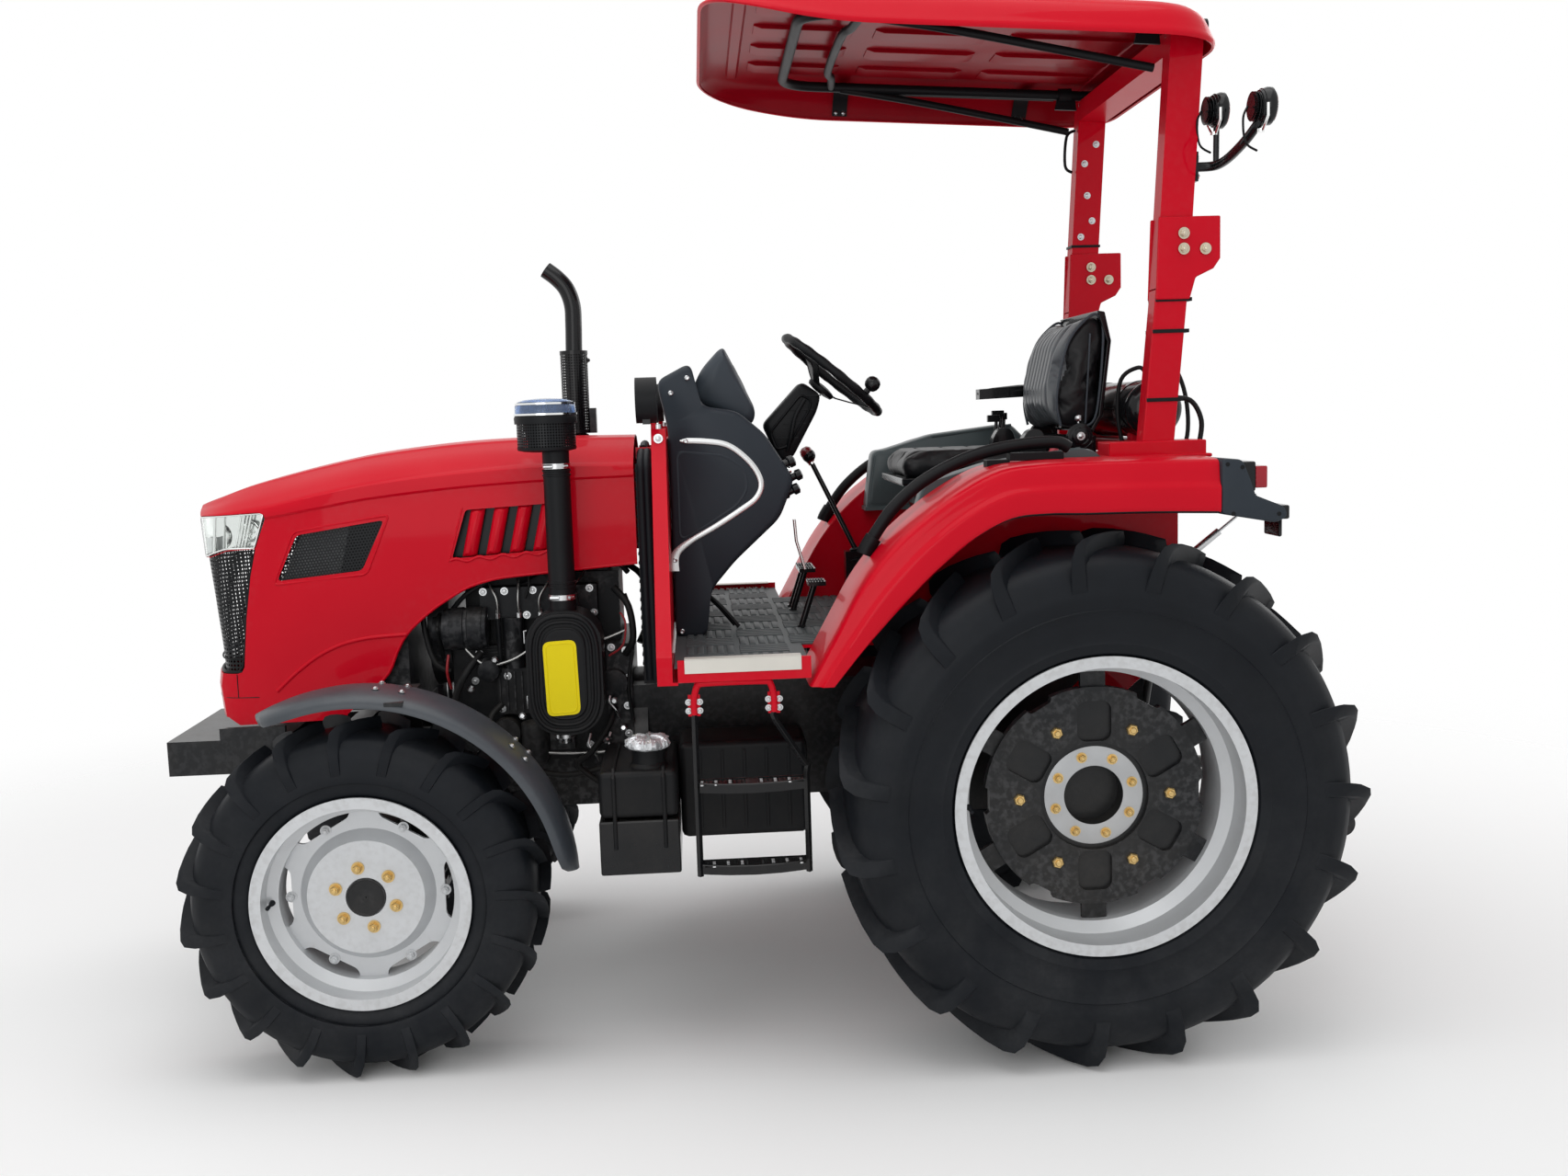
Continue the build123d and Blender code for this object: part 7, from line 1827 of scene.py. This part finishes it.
# Air reservoir behind the seat: a drawn steel cylinder with domed welded ends, unions and a drain
form = bmesh.new()
turned(form, at(-300, -330, 975), (0, 1, 0), [(0, 0.03), (0.006, 0.056), (0.018, 0.072), (0.038, 0.0795),
    (0.050, 0.080), (0.052, 0.0785), (0.056, 0.080), (0.604, 0.080), (0.608, 0.0785), (0.610, 0.080),
    (0.622, 0.0795), (0.642, 0.072), (0.654, 0.056), (0.660, 0.03)], 56)
for across in (-180, 180):
    turned(form, at(-300, across - 12, 975), (0, 1, 0),
        [(0, 0.0795), (0, 0.0825), (0.024, 0.0825), (0.024, 0.0795)], 48)
reservoir = mesh_piece("reservoir_shell", form, gloss_black, smooth=50)
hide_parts("air_reservoir")
form = bmesh.new()
for across, ahead in ((300, -300), (262, -290), (-240, -300)):
    turned(form, at(ahead, across, 1052), (0, 0, 1), [(0, 0.013), (0.008, 0.013), (0.008, 0.009),
        (0.022, 0.009), (0.024, 0.005)], 12)
turned(form, at(-300, 331, 975), (0, 1, 0), [(0, 0.014), (0.006, 0.014), (0.007, 0.010), (0.009, 0.009)], 6)
mesh_piece("reservoir_fittings", form, flange_steel, smooth=40)
round_hose("reservoir_hoses", [([(-300, 300, 1070), (-310, 312, 1100), (-350, 330, 1080), (-372, 350, 1000),
    (-372, 360, 900), (-340, 360, 820)], 6), ([(-290, 262, 1070), (-270, 250, 1092), (-225, 230, 1060),
    (-215, 230, 960), (-230, 240, 860)], 6), ([(-290, 440, 1004), (-352, 444, 996), (-382, 446, 940),
    (-374, 446, 870)], 7)], hose_rubber)

# Roll bar dressing: plated bolts and washers through the cheek plates, fold pins with their rings, black zip
# ties and collars on both legs, and the red foot plates on the fenders
leg_across = 457
leg = [(-60, 110), (60, 110), (60, 140), (-170, 360), (-205, 860), (-245, 1290), (-332, 1290), (-292, 860),
    (-260, 300), (-60, 130)]
cheek = [(-242, 1262), (-250, 1476), (-416, 1476), (-416, 1366), (-398, 1340), (-350, 1318), (-334, 1262)]
legs = bmesh.new()
for side in (1, -1):
    for outline, left, right in ((leg, -30.4, 30.4), (cheek, -38.4, -30.4), (cheek, 30.4, 38.4)):
        prism(legs, outline, side * leg_across + left, side * leg_across + right)
    brick(legs, (-345, side * 200 - 20, 880), (-255, side * 200 + 20, 915))
    turned(legs, at(-374, side * leg_across - 30, 1391), (0, 1, 0), [(0, 0.012), (0.060, 0.012)], 24)
brick(legs, (-340, -leg_across, 850), (-260, leg_across, 890))
roll_bar_legs = mesh_piece("roll_bar_legs", legs, red_enamel, bevel=0.004)
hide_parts("rops_base")
brass_zinc = finish("brass_zinc", (0.55, 0.49, 0.38), 0.32, metal=0.85, tone=0.15, pebble=800, relief=0.08,
    dust=0.1)
form, plates, ties = (bmesh.new() for _ in range(3))
for side in (1, -1):
    for face in (1, -1):
        out = side * leg_across + face * 42
        for ahead, rise in ((-316, 1392), (-316, 1432), (-374, 1391)):
            hex_bolt(form, at(ahead, out, rise), (0, face, 0), 0.0105, 0.010)
    for rise in (1000, 1180, 1262):
        tilt = -252 + 40 * max(0, (1290 - rise)) / 430
        brick(ties, (tilt - 92, side * leg_across - 33.5, rise - 5),
            (tilt + 6, side * leg_across + 33.5, rise + 5))
    brick(plates, (-372, side * leg_across - 60, 848), (-110, side * leg_across + 60, 892))
    brick(plates, (-384, side * leg_across - 72, 846), (-100, side * leg_across + 72, 856))
mesh_piece("roll_bar_bolts", form, brass_zinc)
mesh_piece("roll_bar_ties", ties, black_plastic, bevel=0.001)
mesh_piece("roll_bar_feet", plates, red_enamel, bevel=0.004)


def post_front(rise):
    """How far ahead the raked post's front face is at a height."""
    return -245 - 38.0 / 608.0 * (rise - 1290)


form, ties = bmesh.new(), bmesh.new()
for rise, off in ((1530, -26), (1580, -60), (1660, -40), (1760, -26), (1820, -60)):
    hex_bolt(form, at(post_front(rise) + off, -426.5, rise), (0, 1, 0), 0.0075, 0.006)
ahead = post_front(1500)
brick(ties, (ahead - 91, -490, 1496), (ahead + 4, -424, 1504))
brick(ties, (post_front(1600) - 40, -488, 1590), (post_front(1600) - 16, -484, 1616))
bent(ties, [(post_front(1880) + 4, -457, 1870), (post_front(1850) + 30, -457, 1850),
    (post_front(1760) + 30, -457, 1760), (post_front(1740) + 6, -457, 1738)], 0.005, 8, 5)
mesh_piece("hoop_bolts", form, bright_steel, "roll_bar")
mesh_piece("hoop_ties", ties, black_plastic, "roll_bar", bevel=0.0008)

# Canopy: a red moulded roof with a deep rolled rim and a lifted visor, ribbed underneath in a darker, duller
# red that is a painted shade, on a black tube loop with a cross tube, two struts to the hoop and straps on
# its rims
roof_tilt, roof_middle, roof_long, roof_wide = radians(3), 265.5, 675.5, 620.0


def roof(along_roof, across, level):
    """A place on the canopy: along it from its middle, across, and above its rim."""
    return at(roof_middle + along_roof * cos(roof_tilt) - level * sin(roof_tilt), across,
        1935 + along_roof * sin(roof_tilt) + level * cos(roof_tilt))


def roof_loop(shrink, level, corner=150):
    """The roof's rounded outline, drawn in and at a level, with its front lifted as a visor."""
    outline = rounded([(x * (roof_long - shrink), y * (roof_wide - shrink))
        for x, y in ((-1, -1), (1, -1), (1, 1), (-1, 1))], max(corner - shrink * 0.6, 40) * 1.35, 10)
    dense = []
    for start, end in zip(outline, outline[1:] + outline[:1]):
        count = max(1, int(hypot(end[0] - start[0], end[1] - start[1]) / 40))
        dense += [(start[0] + (end[0] - start[0]) * i / count, start[1] + (end[1] - start[1]) * i / count)
            for i in range(count)]
    result = []
    for x, y in dense:
        lift = 62 * max(0.0, (x - 234.5) / 441) ** 1.9
        result.append(roof(x, y, lift + level * (1 - lift / 107)))
    return result


def same_count(loops):
    """Loops of points drawn again with one count, spread evenly along each."""
    count = 160
    result = []
    for loop in loops:
        lengths = [0.0]
        for start, end in zip(loop, loop[1:] + loop[:1]):
            lengths.append(lengths[-1] + (end - start).length)
        even, index = [], 0
        for step in range(count):
            target = lengths[-1] * step / count
            while lengths[index + 1] < target:
                index += 1
            part = (target - lengths[index]) / (lengths[index + 1] - lengths[index])
            even.append(loop[index].lerp(loop[(index + 1) % len(loop)], part))
        result.append(even)
    return result


outer_rows = [(3, -1), (0, 4), (1, 12), (6, 20), (11, 32), (17, 46), (25, 62), (38, 78), (56, 91), (80, 99),
    (110, 103), (180, 105), (300, 106), (450, 106.5)]
inner_rows = [(9, 1), (9, 12), (13, 22), (20, 36), (26, 50), (36, 66), (50, 80), (70, 90), (96, 95),
    (130, 97), (190, 98.5), (300, 99.5), (450, 100)]
form = bmesh.new()
skin(form, same_count([roof_loop(*row) for row in list(reversed(outer_rows)) + inner_rows[:1]]), capped=False)
form.faces.new([form.verts.new(point) for point in same_count([roof_loop(*outer_rows[-1])])[0]])
bmesh.ops.remove_doubles(form, verts=form.verts, dist=1e-5)
roof_shell = mesh_piece("roof_shell", form, red_enamel, "roll_bar", smooth=45)
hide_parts("canopy")
# The underside is the roof's red made darker and duller: painted shade
roof_lining = finish("roof_lining", (0.26, 0.0012, 0.008), 0.32, tone=0.3, pebble=300, wave=4, relief=0.1,
    dust=0.0, coat=0.07, coat_rough=0.1, specular=0.05)
form = bmesh.new()
skin(form, same_count([roof_loop(*row) for row in inner_rows]), capped=False)
form.faces.new([form.verts.new(point) for point in same_count([roof_loop(*inner_rows[-1])])[0]])
bmesh.ops.remove_doubles(form, verts=form.verts, dist=1e-5)
for across in (-330, -110, 110, 330):
    for start, end in ((-560, -200), (-140, 180), (240, 520)):
        row = [(start, 97), (start + 24, 90), (end - 24, 90), (end, 97), (end, 103), (start, 103)]
        skin(form, [[roof(x, across + y, z) for x, z in row] for y in (-48, 48)])
for start in (-590, 545):
    skin(form, [[roof(start + x, y, z) for x, z in ((0, 101), (8, 92), (34, 92), (42, 101))]
        for y in (-480, 480)])
mesh_piece("roof_lining", form, roof_lining, "roll_bar", smooth=45, bevel=0.002)

form = bmesh.new()
loop = rounded([(-655, -432), (410, -432), (410, 432), (-655, 432)], 110, 8)
tube(form, [roof(x, y, 66) for x, y in loop], 0.0155, 14, closed=True)
tube(form, smooth_line([roof(250, -432, 66), roof(262, -300, 66), roof(280, -200, 66), roof(280, 200, 66),
    roof(262, 300, 66), roof(250, 432, 66)], 6), 0.0125, 12)
for side in (1, -1):
    tube(form, smooth_line([roof(220, side * 432, 60), roof(0, side * 436, 34), roof(-300, side * 440, -10),
        roof(-520, side * 446, -44)], 5), 0.0115, 12)
    tube(form, [roof(60, side * 432, 66), roof(60, side * 452, 60), roof(-470, side * 452, 60)], 0.009, 10)
    for x in (205, -390):
        skin(form, [[roof(px, side * across, level)
            for px, level in ((x - 22, 72), (x - 22, 80), (x + 22, 80), (x + 22, 72))]
            for across in (432, 560)])
        skin(form, [[roof(px, side * across, level)
            for px, across in ((x - 24, out), (x + 24, out), (x + 24, out - 5), (x - 24, out - 5))]
            for out, level in ((608, 12), (604, 24), (590, 50), (575, 68), (556, 80))])
    for x in (-500, -640):
        turned(form, roof(x, side * 432, 66), (1, 0, 0),
            [(-0.02, 0.016), (-0.02, 0.022), (0.02, 0.022), (0.02, 0.016)], 16)
    skin(form, [[roof(px, side * across, level)
        for px, level in ((-540, 20), (-470, 20), (-480, 76), (-530, 76))] for across in (424, 434)])
canopy_tubes = mesh_piece("canopy_tubes", form, black_plastic, "roll_bar", smooth=45)
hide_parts("canopy_frame")
form = bmesh.new()
for side in (1, -1):
    for x in (205, -390):
        for off in (-12, 12):
            hex_bolt(form, roof(x + off, side * 600, 22), (0, -side, 0.3), 0.006, 0.005)
        hex_bolt(form, roof(x, side * 480, 106.5), (0, 0, 1), 0.009, 0.008)
    for x in (-620, -560):
        hex_bolt(form, roof(x, side * 440, 40), (0, -side, 0), 0.008, 0.007)
mesh_piece("canopy_bolts", form, bright_steel, "roll_bar")

# Work lamps on their arm: black cast bodies with clear front glass, plated brackets and a short cable each
form, glass, plated, wires = (bmesh.new() for _ in range(4))
arm_root = post_front(1606) - 95
arm = smooth_line([at(arm_root + 3, 457, 1606), at(arm_root - 40, 466, 1606), at(arm_root - 54, 500, 1608),
    at(arm_root - 60, 560, 1618), at(arm_root - 66, 640, 1640), at(arm_root - 76, 690, 1668),
    at(arm_root - 84, 700, 1682)], 5)
tube(form, arm, 0.0125, 14)
brick(form, (arm_root, 430, 1566), (arm_root + 8, 484, 1642))
bent(form, [(arm_root - 48, 480, 1608), (arm_root - 49, 480, 1710)], 0.008, 12)
for back, across, rise in ((49, 480, 1745), (89, 700, 1712)):
    centre = at(arm_root - back, across, rise)
    turned(form, centre + Vector((-0.020, 0, 0)), (1, 0, 0), [(0, 0.042), (0.004, 0.046), (0.014, 0.046),
        (0.030, 0.040), (0.042, 0.026), (0.047, 0.012)], 36)
    for step in range(5):
        turned(form, centre + Vector((0.006 + 0.006 * step, 0, 0)), (1, 0, 0), [(0, 0.036),
            (0.0005, 0.043 - 0.004 * step), (0.002, 0.043 - 0.004 * step), (0.0025, 0.030)], 30)
    turned(glass, centre + Vector((-0.0205, 0, 0)), (-1, 0, 0), [(0, 0.041), (0.0015, 0.040), (0.002, 0.02)],
        30)
    for off in (-0.047, 0.047):
        tube(plated, [centre + Vector((0.006, off, 0)), centre + Vector((0.006, off, -0.03)),
            centre + Vector((0.006, off * 0.3, -0.058))], 0.0035, 8)
    turned(plated, centre + Vector((0.006, 0, -0.062)), (0, 0, 1),
        [(0, 0.010), (0.008, 0.010), (0.009, 0.006)], 12)
    tube(wires, smooth_line([centre + Vector((0.040, 0, 0)), centre + Vector((0.055, 0.01, -0.03)),
        centre + Vector((0.045, 0.0, -0.085)), centre + Vector((0.012, -0.01, -0.105))], 6), 0.003, 8)
for across, rise in ((442, 1580), (472, 1580), (442, 1628), (472, 1628)):
    hex_bolt(plated, at(arm_root, across, rise), (-1, 0, 0), 0.007, 0.006)
lamps = mesh_piece("work_lamp_bodies", form, gloss_black, "roll_bar", smooth=45)
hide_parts("work_lamps")
mesh_piece("work_lamp_glass", glass, clear_lens, "roll_bar", smooth=45)
mesh_piece("work_lamp_brackets", plated, chrome, "roll_bar", smooth=45)
mesh_piece("work_lamp_wires", wires, hose_rubber, "roll_bar", smooth=60)
